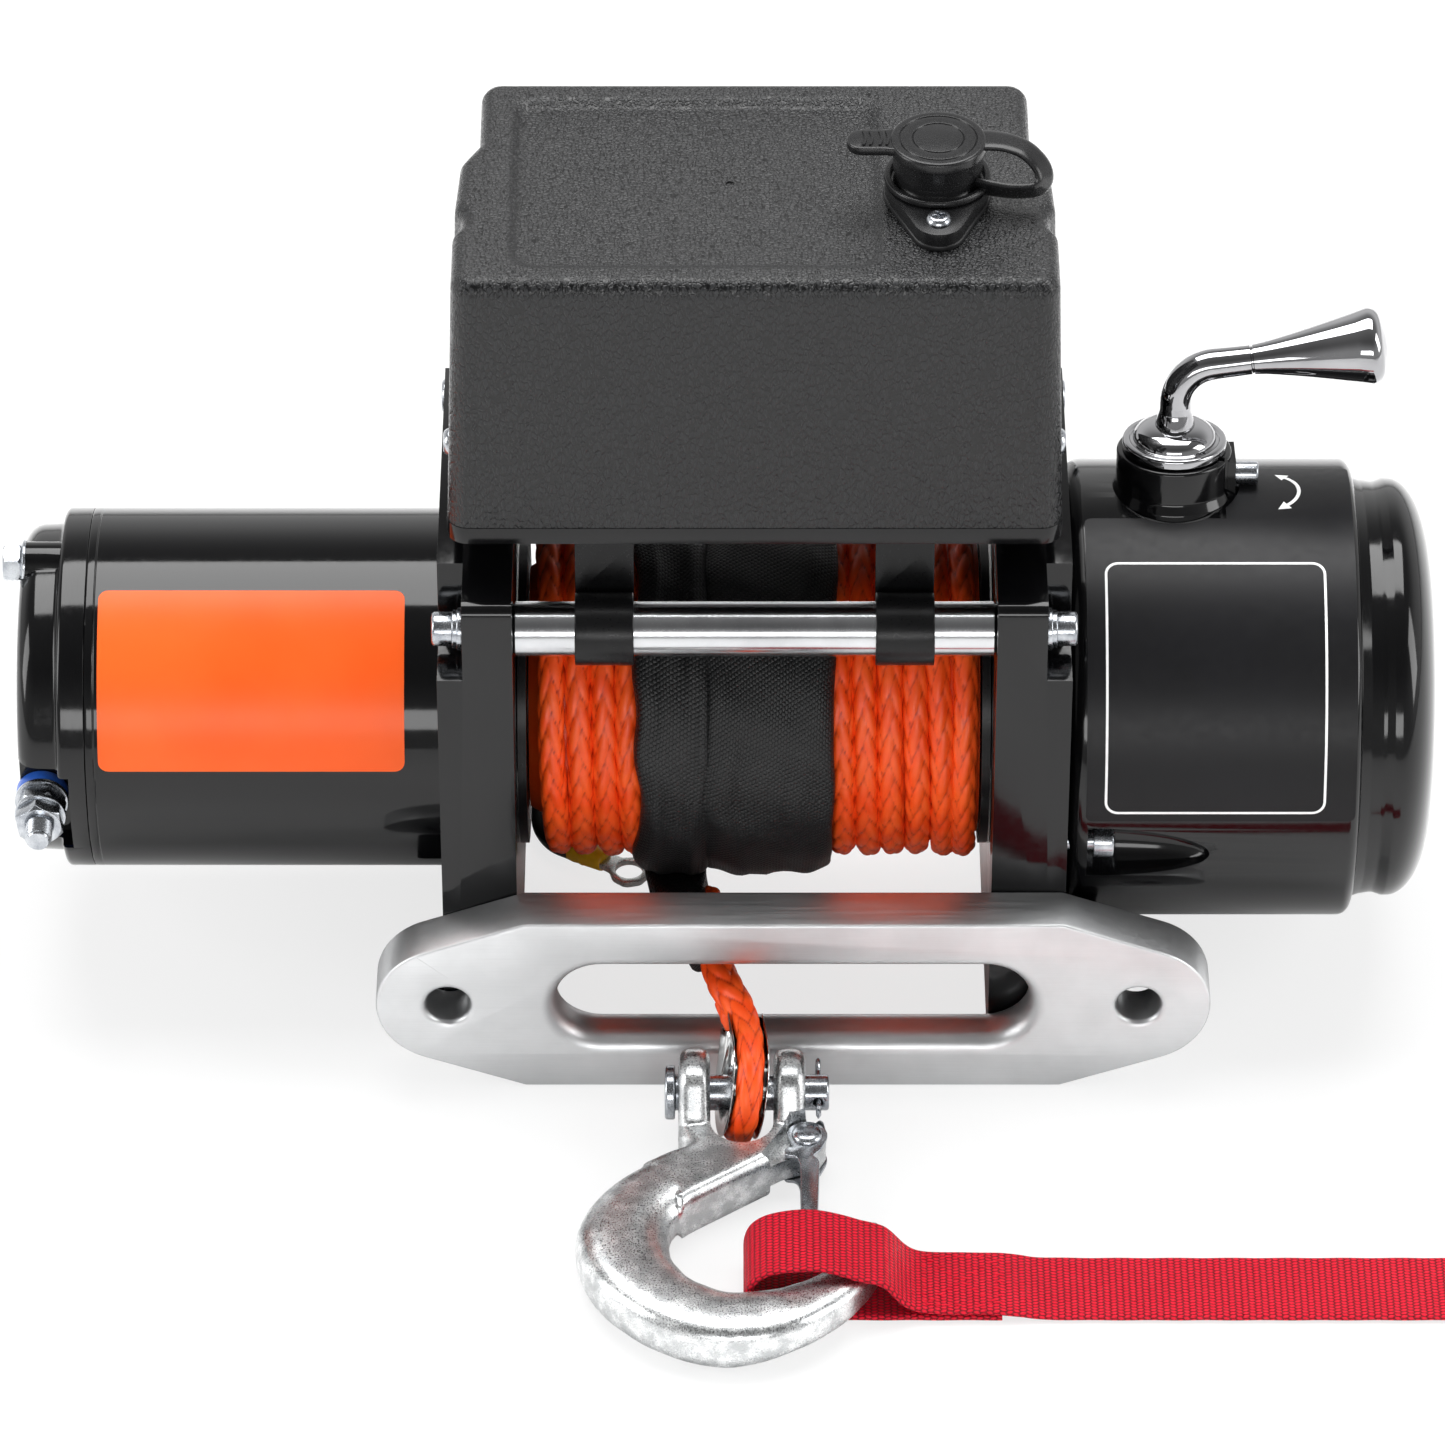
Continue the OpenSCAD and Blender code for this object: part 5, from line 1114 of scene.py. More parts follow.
@dataclass
class MotorLead:
    """The rubber lead from the control box, down behind the drum, to its booted terminal."""

    diameter: float = 9.0
    route: tuple[Point, ...] = (
        (-60, 34, 177.8), (-60, 34.5, 168), (-60, 37, 157), (-60, 42, 146), (-60, 49, 135), (-60, 56, 124),
        (-60, 62, 112), (-60, 66, 99), (-60, 68, 85), (-60, 68, 70), (-60.5, 66.5, 55), (-61, 64, 41),
        (-62, 60.5, 28), (-63.2, 56.5, 17), (-64, 50, 9.4), (-64.2, 43, 5.4), (-64, 36, 4.6),
        (-63, 29.8, 4.6), (-60, 24.6, 4.6), (-55, 21, 4.6))

    def end_frame(self) -> Matrix:
        """The place and heading of the lead's end, with its own Z along the lead."""
        way = Vector(self.route[-1]) - Vector(self.route[-2])
        return shift(*self.route[-1]) @ turn(math.degrees(math.atan2(way.y, way.x)), "Z") @ turn(90, "Y")

    def terminal(self) -> list[Piece]:
        """The yellow boot and the crimped ring."""
        boot = lathe("lead_boot",
                     fillet([(-3, 0), (-3, 4.35, 0.8), (2, 4.5, 2), (4, 4.2, 1), (5, 4.35, 0.4),
                             (6, 4.1, 0.4), (12.2, 3.5, 0.9), (12.2, 0)], 3))
        move(boot, self.end_frame())
        tag = prism("terminal_ring",
                    fillet([(11, -3.2), (16, -3.4, 2), (19, -6, 3), (24, -6.3, 3), (27.3, -2.5, 3),
                            (27.3, 2.5, 3), (24, 6.3, 3), (19, 6, 3), (16, 3.4, 2), (11, 3.2)]), Axis.Y, -1,
                    1)
        cut(tag, rod("hole", 4.2, (21, -2, 0), (21, 2, 0)))
        soften(tag, 0.3, 2, 40)
        # The tag was drawn with its length along X, which is turned to the lead's own Z.
        move(tag, self.end_frame() @ turn(-90, "Y") @ turn(90, "X"))
        return [finish_piece(boot, "frame", YELLOW_VINYL, ["lead_terminal"]),
                finish_piece(tag, "frame", TINNED_COPPER, ["lead_terminal"])]

    def gland(self) -> Piece:
        """The tapered grommet where the lead leaves the tray."""
        profile = [(178.2, 0), (178.2, 8.6, 0.5), (176.4, 8.6, 0.6), (175.6, 6.6, 0.6), (170, 6.2, 0.5),
                   (169, 5.6, 0.3), (164, 5.5, 0.4), (163, 5.2, 0.3), (157.5, 4.9, 0.4), (157.5, 0)]
        grommet = turned("lead_gland", fillet(profile, 3), Axis.Z, (-60, 34, 0), 40)
        # It follows the lead, which leans back as it goes down.
        for vertex in grommet.data.vertices:
            drop = max(0.0, 178 - vertex.co.z / MM)
            vertex.co.y += 0.0062 * drop * drop * MM
        return finish_piece(grommet, "frame", RUBBER)

    def build(self) -> None:
        path = spline(self.route, 1.2)
        angles = round_angles(32)
        along = np.linspace(0, 1.2 * len(path), len(path))
        heat = 1 + 0.012 * np.sin(along / 5.1)[:, None] + 0.008 * np.sin(along[:, None] / 2.3 + 3 * angles)
        lead = tube("motor_lead_cable", path, self.diameter / 2 * heat, angles, (1, 0, 0))
        finish_piece(lead, "frame", CABLE_RUBBER, ["motor_lead"], 60)
        boot, tag = self.terminal()
        route = in_metres(spline(self.route, 2))
        self.gland()


@dataclass
class DrumRope:
    """The rope on the drum: wound turns over a hidden lower layer, and the mesh sleeve in the middle.

    Attributes:
        layer: Radius that the visible turns are wound on.
        edge: Half the width of the lower layers.
        last_turn: Where the turns stop short of the flange.
        windings: Name, start, number of turns, pitch and random seed of each winding.
        laps: Middle, half width and height of each lap of the sleeve.
    """

    layer: float = 46.86
    diameter: float = 8.0
    edge: float = 66.7
    last_turn: float = 62.3
    windings: tuple[tuple[str, float, float, float, int], ...] = (
        ("rope_turns_left", -63.0, 4.0, 7.5, 3),
        ("rope_turns_right", 21.8, 5.95, 7.4, 8),
    )
    laps: tuple[tuple[float, float, float], ...] = ((-24.6, 10.9, 9.3), (4.6, 19.6, 8.9))
    braid: Braid = field(default_factory=Braid)

    def winding(self, name: str, start: float, turns: float, pitch: float, lead_in: float,
                seed: int) -> Piece:
        """A helix of braided rope that starts and ends low at the back of the drum."""
        wander = np.random.default_rng(seed)
        phases = wander.uniform(0, math.tau, 6)
        step = 0.95
        total = turns * math.tau * self.layer
        s = np.arange(0, total, step)
        theta = s / self.layer
        fade = np.minimum(1, np.minimum(s, total - s) / 70)
        radius = (self.layer - 5.5 * (1 - fade) + 0.28 * np.sin(2.3 * theta + phases[0])
                  + 0.2 * np.sin(5.1 * theta + phases[1]))
        x = (np.minimum(start + pitch * theta / math.tau, self.last_turn)
             + 0.35 * np.sin(1.7 * theta + phases[2]) + 0.22 * np.sin(4.3 * theta + phases[3]))
        angle = lead_in - theta
        path = np.column_stack([x, -radius * np.cos(angle), AXIS_H + radius * np.sin(angle)])
        outer = np.linspace(-1.95, 1.95, 27)
        inner = np.linspace(1.95, math.tau - 1.95, 7)[1:-1]
        angles = np.concatenate([outer, inner])
        base = np.full(len(path), self.diameter / 2 * 1.02)
        radii, relief = self.braid.radii(base * np.clip(fade + 0.5, 0, 1), s, angles)
        _, side, _ = frames(path[:2], (0, path[0, 1], path[0, 2] - AXIS_H))
        return tube(name, path, radii, angles, side[0], relief)

    def core(self) -> Piece:
        """The lower layers, seen only between the turns, darkened with painted shade."""
        profile = [(-self.edge, 30), (-self.edge, 36), (-63.4, 38), (-62.8, 43.5)]
        x = -self.edge + 7.2
        while x < self.edge - 4:
            profile += [(x - 2.8, 46.2), (x - 1.6, 47.4), (x, 47.8), (x + 1.6, 47.4), (x + 2.8, 46.2)]
            x += 7.8
        profile += [(self.edge, 43.5), (self.edge, 30)]
        core = turned("rope_lower_layers", profile)
        # Painted shade: a fixed relief of 0.32 mixes half the crease colour into the whole layer, as the
        # shade between the turns.
        set_relief(core.data, np.full(len(core.data.vertices), 0.32))
        core.data.uv_layers.new(name="lay")
        return core

    def sleeve(self, name: str, middle: float, half: float, height: float, seed: int) -> Piece:
        """One flat turn of the mesh sleeve, creased lengthwise and wavy at its edges."""
        wander = np.random.default_rng(seed)
        p = wander.uniform(0, math.tau, 12)
        count = 300
        theta = round_angles(count)[:, None]
        t = round_angles(72)[None, :]
        across = np.sign(np.cos(t)) * np.abs(np.cos(t)) ** 0.55
        lift = np.sign(np.sin(t)) * np.abs(np.sin(t)) ** 0.62
        wave = (0.85 * np.sin(5 * theta + p[0]) + 0.6 * np.sin(9 * theta + p[1])
                + 0.35 * np.sin(14 * theta + p[2]))
        x = middle + half * across + wave * (0.35 - 0.65 * across) - 0.9 * np.cos(theta + p[3])
        crease = (0.55 * np.sin(3.2 * across + 2 * theta + p[4]) + 0.4 * np.sin(7 * across + 3 * theta + p[5])
                  + 0.3 * np.sin(11 * across - 5 * theta + p[6])
                  + 0.22 * np.sin(17 * theta + 4 * across + p[7]))
        dent = -1.0 * np.exp(-((across - 0.25 - 0.1 * np.sin(2 * theta + p[8])) * half / 1.6) ** 2)
        dent = dent - 0.55 * np.exp(-((across + 0.3 - 0.08 * np.sin(3 * theta + p[9])) * half / 1.1) ** 2)
        radius = 47.2 + height * (0.5 + 0.5 * lift) + (crease + dent) * (lift > 0) * np.abs(lift)
        spots = np.stack([x + 0 * lift, -radius * np.cos(theta), AXIS_H + radius * np.sin(theta)], axis=-1)
        obj = skin(name, spots, closed=True)
        n = spots.shape[1]
        row, column = (place.reshape(-1, 4) for place in corner_places(obj.data, n))
        row = np.where((row == 0) & (row.max(1, keepdims=True) == count - 1), count, row)
        column = np.where((column == 0) & (column.max(1, keepdims=True) == n - 1), n, column)
        u = row.ravel() * math.tau / count * 52 * MM
        v = run_along(np.vstack([spots[0], spots[0][:1]]))[column.ravel()] * MM
        set_lay(obj.data, np.column_stack([u + 0.55 * v, v - 0.4 * u]))
        return obj

    def build(self) -> None:
        """Makes both windings, the lower layers and the two laps of sleeve."""
        finish_piece(self.core(), "drum", ORANGE_ROPE, ["rope_wraps"], 60)
        for name, start, turns, pitch, seed in self.windings:
            wound = self.winding(name, start, turns, pitch, math.radians(200), seed)
            finish_piece(wound, "drum", ORANGE_ROPE, ["rope_wraps"], 80)
        for i, (middle, half, height) in enumerate(self.laps):
            lap = self.sleeve(f"mesh_sleeve_lap_{i + 1}", middle, half, height, 20 + i)
            finish_piece(lap, "drum", BLACK_MESH, ["rope_sleeve"], 70)


# ---------------------------------------------------------------- supports and motor


@dataclass
class Supports:
    """The two cast drum supports with their feet, and the rods, bolts and straps between them."""

    inner: float = 70.0
    outer: float = 92.0
    half_depth: float = 70.0
    top: float = 167.0
    foot: tuple[float, float, float] = (102.0, 28.0, 10.0)
    hole: tuple[float, float, float] = (84.0, 57.15, 4.25)
    pocket: tuple[float, float, float] = (84.5, 48.0, 141.0)
    rod_y: float = 57.0
    rod_z: float = 150.0
    rod_radius: float = 8.0
    strap_x: float = 43.5
    strap_width: float = 17.0
    strap_wall: float = 2.4
    strap_rise: float = 28.0

    def side(self, sign: int, name: str, node: str, seat_end: float) -> None:
        """One support: a plate with foot lugs, nut windows, corner pockets and the drum's seat."""
        d, t = self.half_depth, self.top
        plate = prism(name, fillet([(-d, 0, 2.5), (d, 0, 2.5), (d, t, 4), (-d, t, 4)]), Axis.X, self.inner,
                      self.outer)
        reach, near, high = self.foot
        x, hole_y, hole_r = self.hole
        px, py, pz = self.pocket
        for y in (-1, 1):
            plan = fillet([(88, near * y), (reach, near * y, 3), (reach, d * y, 3), (88, d * y)])
            combine(plate, prism("foot", plan, Axis.Z, 0, high), Solid.ADD)
            low, far = sorted((py * y, (d + 2) * y))
            cut(plate, rod("hole", hole_r, (x, hole_y * y, -2), (x, hole_y * y, high + 2), 40),
                block("window", (75.5, hole_y * y - 9.5, high), (96, hole_y * y + 9.5, 23)),
                block("pocket", (px, low, pz), (self.outer + 2, far, t + 2)),
                rod("clearance", 3.2, (self.inner - 2, self.rod_y * y, self.rod_z),
                    (self.outer + 2, self.rod_y * y, self.rod_z), 32))
        cut(plate, rod("seat", 28.05, (self.inner - 2, 0, AXIS_H), (seat_end, 0, AXIS_H), 96))
        if seat_end < self.outer:
            cut(plate, rod("shaft_hole", 9.05, (80, 0, AXIS_H), (self.outer + 2, 0, AXIS_H), 48))
        soften(plate, 1.1, 3, 40)
        if sign < 0:
            move(plate, Matrix.Scale(-1, 4, (1, 0, 0)))
        finish_piece(plate, "frame", GLOSS_PAINT, [node])

    def rods(self) -> None:
        """Both tie rods with chamfered ends."""
        r, x = self.rod_radius, self.inner
        profile = [(-x, 0), (-x, r - 0.8), (-x + 0.8, r), (x - 0.8, r), (x, r - 0.8), (x, 0)]
        rods = [turned("tie_rod_pair", profile, centre=(0, y * self.rod_y, self.rod_z)) for y in (-1, 1)]
        finish_piece(join("tie_rod_pair", rods), "frame", GROUND_STEEL, ["tie_rods"], 25)

    def bolts(self) -> None:
        """Cap screws with washers in the four corner pockets."""
        x = self.pocket[0]
        washer = lathe("washer",
                       fillet([(0, 3.1), (0, 6.2, 0.3), (1.7, 6.2, 0.3), (1.7, 5.6), (3.1, 5.6, 0.3),
                               (3.1, 3.1)], 3))
        head = lathe("head", fillet([(3.1, 0), (3.1, 5.0, 0.2), (9.1, 5.0, 1.1), (9.1, 0)], 5))
        cut(head, prism("socket", hexagon(4.6), Axis.Z, 6.2, 10))
        first = join("cap_screws", [head, washer, rod("shank", 2.9, (0, 0, -14), (0, 0, 4), 24)])
        places = [shift(sx * x, sy * self.rod_y, self.rod_z) @ turn(90 - 90 * sx, "Z") @ turn(90, "Y")
                  for sx in (-1, 1) for sy in (-1, 1)]
        bolts = repeat("tie_rod_cap_screws", first, places)
        finish_piece(bolts, "frame", ZINC_PLATE, ["tie_rod_bolts"], 30)

    def straps(self) -> None:
        """Four folded steel straps that clamp round the rods and carry the box."""
        r, y = self.rod_radius + 0.2, self.rod_y
        wall, half = self.strap_wall, self.strap_width / 2
        inner, top = r - y, self.rod_z + self.strap_rise
        outline = fillet([(inner, self.rod_z), (inner + wall, self.rod_z), (inner + wall, top - wall, 1.0),
                          (inner + 22, top - wall), (inner + 22, top), (inner, top, 3.2)])
        parts = []
        for x in (-self.strap_x, self.strap_x):
            for mirror in (False, True):
                clamp = turned("band", band(x - half, x + half, r, r + wall, 0.4), centre=(0, -y, self.rod_z),
                               steps=72)
                combine(clamp, prism("leaf", outline, Axis.X, x - half, x + half), Solid.ADD)
                soften(clamp, 0.35, 2, 50)
                if mirror:
                    move(clamp, Matrix.Scale(-1, 4, (0, 1, 0)))
                parts.append(clamp)
        finish_piece(join("box_straps", parts), "frame", POWDER_COAT, ["box_brackets"])

    def build(self) -> None:
        """Makes both supports and everything that ties them together."""
        self.side(-1, "motor_side_support", "left_support", 86.0)
        self.side(1, "gear_side_support", "right_support", 94.0)
        self.rods()
        self.bolts()
        self.straps()


@dataclass
class Motor:
    """The motor: drawn tube, cast end cap, through bolts, terminal studs and a bare label."""

    left: float = -197.0
    right: float = -92.0
    radius: float = 53.7
    bore: float = 50.0
    rim: float = 8.0
    dome: float = 12.5
    dome_radius: float = 48.5
    bolt_radius: float = 46.4
    stud_place: tuple[float, float, float] = (-211.0, -40.0, 76.0)
    label: tuple[float, float, float, float] = (-193.0, -102.8, 10.4, 69.6)

    def tube(self) -> None:
        """The tube, with the rolled edge that shows as a fine line beside the cap."""
        profile = fillet([(self.left, self.bore), (self.left, self.radius, 0.5),
                          (self.left + 2.4, self.radius, 0.15), (self.left + 2.7, self.radius - 0.25, 0.15),
                          (self.left + 3.0, self.radius, 0.15), (self.right, self.radius),
                          (self.right, self.bore)], 3)
        finish_piece(turned("motor_barrel", profile, steps=128), "frame", TUBE_PAINT,
                     ["motor_tube"], 30)

    def cap(self) -> None:
        """The cast cap: rim, dome, two bolt bosses and the flat pads under the studs."""
        start = self.left - self.rim
        end = start - self.dome
        profile = fillet([(end, 0), (end, self.dome_radius, 6), (start - 0.3, self.dome_radius + 0.6, 1.5),
                          (start - 0.3, self.radius, 1.6), (self.left, self.radius, 0.3),
                          (self.left, self.bore - 1), (self.left - 4, self.bore - 1), (self.left - 4, 0)], 6)
        cap = turned("motor_cast_cap", profile, steps=128)
        _, y, stud_z = self.stud_place
        for sign in (1, -1):
            z = AXIS_H + sign * self.bolt_radius
            combine(cap, rod("boss", 6.4, (end + 1.6, 0, z), (self.left - 1, 0, z), 48), Solid.ADD)
            if sign < 0:
                cut(cap, rod("sink", 6.8, (end - 8, 0, z), (end + 8, 0, z), 40))
            low, far = sorted((sign * y, sign * y * 1.7))
            cut(cap, block("pad", (end - 2, low, stud_z - 15), (start + 3, far, stud_z + 15)))
        soften(cap, 0.8, 3, 42)
        finish_piece(cap, "frame", GLOSS_PAINT, ["motor_end_cap"], 34)

    def bolts(self) -> None:
        """Flanged hexagon bolts right through the motor."""
        seat = self.left - self.rim - self.dome + 2
        head = hex_nut("head", 10.4, 1.4, 6.9, turn_by=12)
        flange = lathe("flange", fillet([(0, 0), (0, 6.8, 0.3), (0.9, 6.8, 0.3), (1.8, 5.4), (1.8, 0)], 3))
        first = join("bolt", [head, flange, rod("shank", 2.85, (0, 0, -118), (0, 0, 1), 24)])
        # The lower bolt sits deeper, in its sink.
        places = [shift(seat + deep, 0, AXIS_H + side * self.bolt_radius) @ turn(-90, "Y")
                  for deep, side in ((0, 1), (6, -1))]
        bolts = repeat("motor_through_bolts", first, places)
        finish_piece(bolts, "frame", ZINC_PLATE, ["motor_bolts"], 30)

    def studs(self) -> None:
        """Threaded studs with two washers and two nuts on each side, on blue insulators."""
        x, y, z = self.stud_place
        stud = [(-6, 0), (-6, 3.9)] + thread(4.0, 3.5, 23.2, 1.25) + [(23.5, 3.5), (24, 3.1), (24, 0)]
        first = join("stud_stack", [
            lathe("stud", stud, 40),
            lathe("washer", band(4.02, 5.6, 4.2, 8.0, 0.35), 56),
            lathe("washer", band(10.6, 12.2, 4.2, 7.6, 0.3), 56),
            hex_nut("nut", 13.0, 5.6, 10.6, 4.0, 8),
            hex_nut("nut", 13.0, 12.2, 17.2, 4.0, 37),
        ])
        collar = lathe("insulator", fillet([(0, 4.1), (0, 7.8, 0.5), (4, 7.8, 0.6), (4, 4.1)], 3), 56)
        places = [shift(x, side * y, z) @ turn(side * 90, "X") for side in (1, -1)]
        stacks = repeat("terminal_stud_stacks", first, places)
        collars = repeat("blue_insulators", collar, places)
        finish_piece(stacks, "frame", ZINC_PLATE, ["terminal_studs"], 28)
        finish_piece(collars, "frame", BLUE_NYLON, ["terminal_insulators"])

    def bare_label(self) -> None:
        """A bare orange label with round corners, wrapped round the tube."""
        x0, x1, low, high = self.label
        arcs = [math.radians(a) * self.radius for a in (low, high)]
        outline = round_box(x0, x1, *arcs, 3)
        label = wrap_on(prism("motor_bare_label", outline, Axis.Y, -0.32, -0.05), self.radius, 44)
        finish_piece(label, "frame", ORANGE_VINYL, ["motor_label"], 30)

    def build(self) -> None:
        """Makes the motor's outside."""
        self.tube()
        self.cap()
        self.bolts()
        self.studs()
        self.bare_label()


# ---------------------------------------------------------------- gearbox and clutch


def clutch_frame(x: float = 124.0, lean: float = 8.6) -> Matrix:
    """The clutch's own frame: Z along its leaning axis, from the drum axis."""
    return shift(x, 0, AXIS_H) @ turn(-lean, "X")


@dataclass
class Gearbox:
    """The gearbox: cast housing and cover, screws, collar, and the bare label with its printed line."""

    left: float = 92.0
    right: float = 178.0
    end: float = 201.0
    radius: float = 68.5
    bore: float = 53.0
    cover_radius: float = 62.3
    pocket_angles: tuple[float, ...] = (-8.0, 188.0, 270.0)
    screw_radius: float = 56.8
    hole_radius: float = 62.9
    collar_radius: float = 17.0
    collar_top: float = 81.0
    frame_line: float = 0.75

    def pocket(self, angle: float) -> Piece:
        """A scoop, deep at the support's side, that lets a bolt head into the housing."""
        scoop = ball("pocket", (38, 10.4, 11.2), (self.left + 4, 0, self.radius), 64)
        keep = block("keep", (self.left + 6, -20, self.radius - 20), (self.left + 60, 20, self.radius + 20))
        combine(scoop, keep, Solid.COMMON)
        return move(scoop, shift(0, 0, AXIS_H) @ turn(90 - angle, "X"))

    def housing(self) -> None:
        """The housing with three bolt pockets and the bore for the clutch shaft."""
        profile = fillet([(self.left, 29), (self.left, self.radius, 5.5), (self.right, self.radius, 6.0),
                          (self.right, self.cover_radius - 1), (self.right, self.bore),
                          (self.left + 5, self.bore, 2), (self.left + 5, 29)], 7)
        shell = turned("gearbox_cast_housing", profile, steps=144)
        cut(shell, move(rod("bore", 7.05, (0, 0, 45), (0, 0, 90), 40), clutch_frame()))
        for angle in self.pocket_angles:
            cut(shell, self.pocket(angle))
            start, end = (on_drum(angle, self.hole_radius, self.left + x) for x in (-2, 12))
            cut(shell, rod("bolt_hole", 3.1, start, end, 24))
        soften(shell, 0.9, 3, 42)
        finish_piece(shell, "frame", GLOSS_PAINT, ["gearbox_housing"], 36)

    def screw_spots(self) -> list[Vector]:
        """The six places of the cover's screws, seen along the drum axis."""
        angles = [math.radians(60 * i + 22) for i in range(6)]
        return [Vector((0, -self.screw_radius * math.sin(a), AXIS_H + self.screw_radius * math.cos(a)))
                for a in angles]

    def cover(self) -> None:
        """The end cover: flange, shallow neck and a domed drum, with its screw wells left uncut as if plugged
        flush.
        """
        x, r = self.right, self.cover_radius
        dome, drop = 11.5, 22.5
        neck = fillet([(x, 0), (x, r + 1.0), (x + 3, r - 0.1, 3), (x + 7, r - 0.7, 3), (x + 10, r + 0.3, 2.5),
                       (self.end - dome, r + 0.3)], 8)
        neck += [(self.end - dome + dome * math.sin(a), r + 0.3 - drop * (1 - math.cos(a)))
                 for a in np.linspace(0.08, math.pi / 2, 22)]
        cover = turned("gearbox_end_cover", neck + [(self.end, 0)], steps=144)
        finish_piece(cover, "frame", GLOSS_PAINT, ["gearbox_cover"], 36)

    @staticmethod
    def socket_screw(radius: float, length: float, shank: float, reach: float) -> Piece:
        """A socket head cap screw along Z, its head from 0 up."""
        head = lathe("screw", fillet([(0, 0), (0, radius, 0.2), (length, radius, 0.7), (length, 0)], 4), 40)
        cut(head, prism("socket", hexagon(radius * 0.92), Axis.Z, length * 0.45, length + 1))
        return join("screw", [head, rod("shank", shank, (0, 0, -reach), (0, 0, 0.5), 20)])

    def screws(self) -> None:
        """Cover screws, housing bolts and the collar's set screw."""
        lie = turn(90, "Y")
        pin_place = clutch_frame() @ shift(self.collar_radius + 1, 0, self.collar_top - 8.5)
        bolt_spots = [on_drum(angle, self.hole_radius, self.left + 8) for angle in self.pocket_angles]
        groups = [repeat("cover_screws", self.socket_screw(3.9, 4.6, 2.5, 24),
                         [shift(self.end - 14, s.y, s.z) @ lie for s in self.screw_spots()]),
                  repeat("housing_bolts", self.socket_screw(5, 6, 3, 16),
                         [shift(*spot) @ lie for spot in bolt_spots]),
                  repeat("set_screw", self.socket_screw(3.5, 7, 2.3, 8), [pin_place @ lie])]
        screws = join("gearbox_cap_screws", groups)
        finish_piece(screws, "frame", ZINC_PLATE, ["gearbox_screws"], 30)

    def collar(self) -> None:
        """The collar that the clutch lever turns in, with its flat lug and flared foot."""
        r, top = self.collar_radius, self.collar_top
        profile = fillet([(63, 7.1), (63, r + 2.2), (67.6, r + 1.4, 2), (70.5, r, 2.4), (top, r, 1.0),
                          (top, 7.1)], 5)
        collar = lathe("clutch_collar_boss", profile, 96)
        lug = block("lug", (8, -6.5, 64), (r + 1, 6.5, top - 1.5))
        combine(collar, lug, Solid.ADD)
        for sign in (-1, 1):
            cut(collar, block("slit", (r - 4.5, sign * 7.6 - 0.9, 66), (r + 3, sign * 7.6 + 0.9, top + 2)))
        soften(collar, 0.55, 2, 42)
        move(collar, clutch_frame())
        finish_piece(collar, "frame", GLOSS_PAINT, ["clutch_collar"], 36)

    def bare_label(self) -> None:
        """A dark label, cut out round the collar, and the white line printed on it."""
        low, high, top = (math.radians(a) * self.radius for a in (3, 84, 108))
        outline = fillet([(97.2, low, 2), (176.2, low, 2), (176.2, top, 2), (139, top, 2), (139, high),
                          (97.2, high, 2)])
        label = wrap_on(prism("gearbox_bare_label", outline, Axis.Y, -0.34, -0.05), self.radius, 72)
        cut(label, move(rod("cut_out", 19.6, (0, 0, 50), (0, 0, 92), 72), clutch_frame()))
        finish_piece(label, "frame", DARK_VINYL, ["gearbox_label"], 30)
        low, high = (math.radians(a) * self.radius for a in (5.2, 70.0))
        x0, x1, w = 102.6, 167.4, self.frame_line
        line = prism("label_frame_line", round_box(x0, x1, low, high, 4, 7), Axis.Y, -0.4, -0.3)
        cut(line, prism("inside", round_box(x0 + w, x1 - w, low + w, high - w, 3.3, 7), Axis.Y, -1, 1))
        wrap_on(line, self.radius, 48)
        finish_piece(line, "frame", WHITE_INK)

    def turn_arrow(self) -> None:
        """The curved double arrow that shows which way the lever turns."""
        r, w, reach = 9.6, 0.55, 0.95
        middle = (161.0 - r, math.radians(95.4) * self.radius)
        outline = arc(r + w, -reach, reach, 18, middle) + arc(r - w, reach, -reach, 18, middle)
        arrow = prism("turn_arrow", outline, Axis.Y, -0.4, -0.3)
        for angle, way in ((reach, 1), (-reach, -1)):
            tip = Vector((middle[0] + r * math.cos(angle), middle[1] + r * math.sin(angle)))
            ahead = Vector((-math.sin(angle), math.cos(angle))) * way
            side = Vector((ahead.y, -ahead.x))
            head = [tip + ahead * 3.2, tip - side * 1.9 - ahead * 0.4, tip + side * 1.9 - ahead * 0.4]
            combine(arrow, prism("head", head, Axis.Y, -0.4, -0.3), Solid.ADD)
        wrap_on(arrow, self.radius, 18)
        finish_piece(arrow, "frame", WHITE_INK)

    def build(self) -> None:
        """Makes the gearbox's outside."""
        self.housing()
        self.cover()
        self.screws()
        self.collar()
        self.bare_label()
        self.turn_arrow()


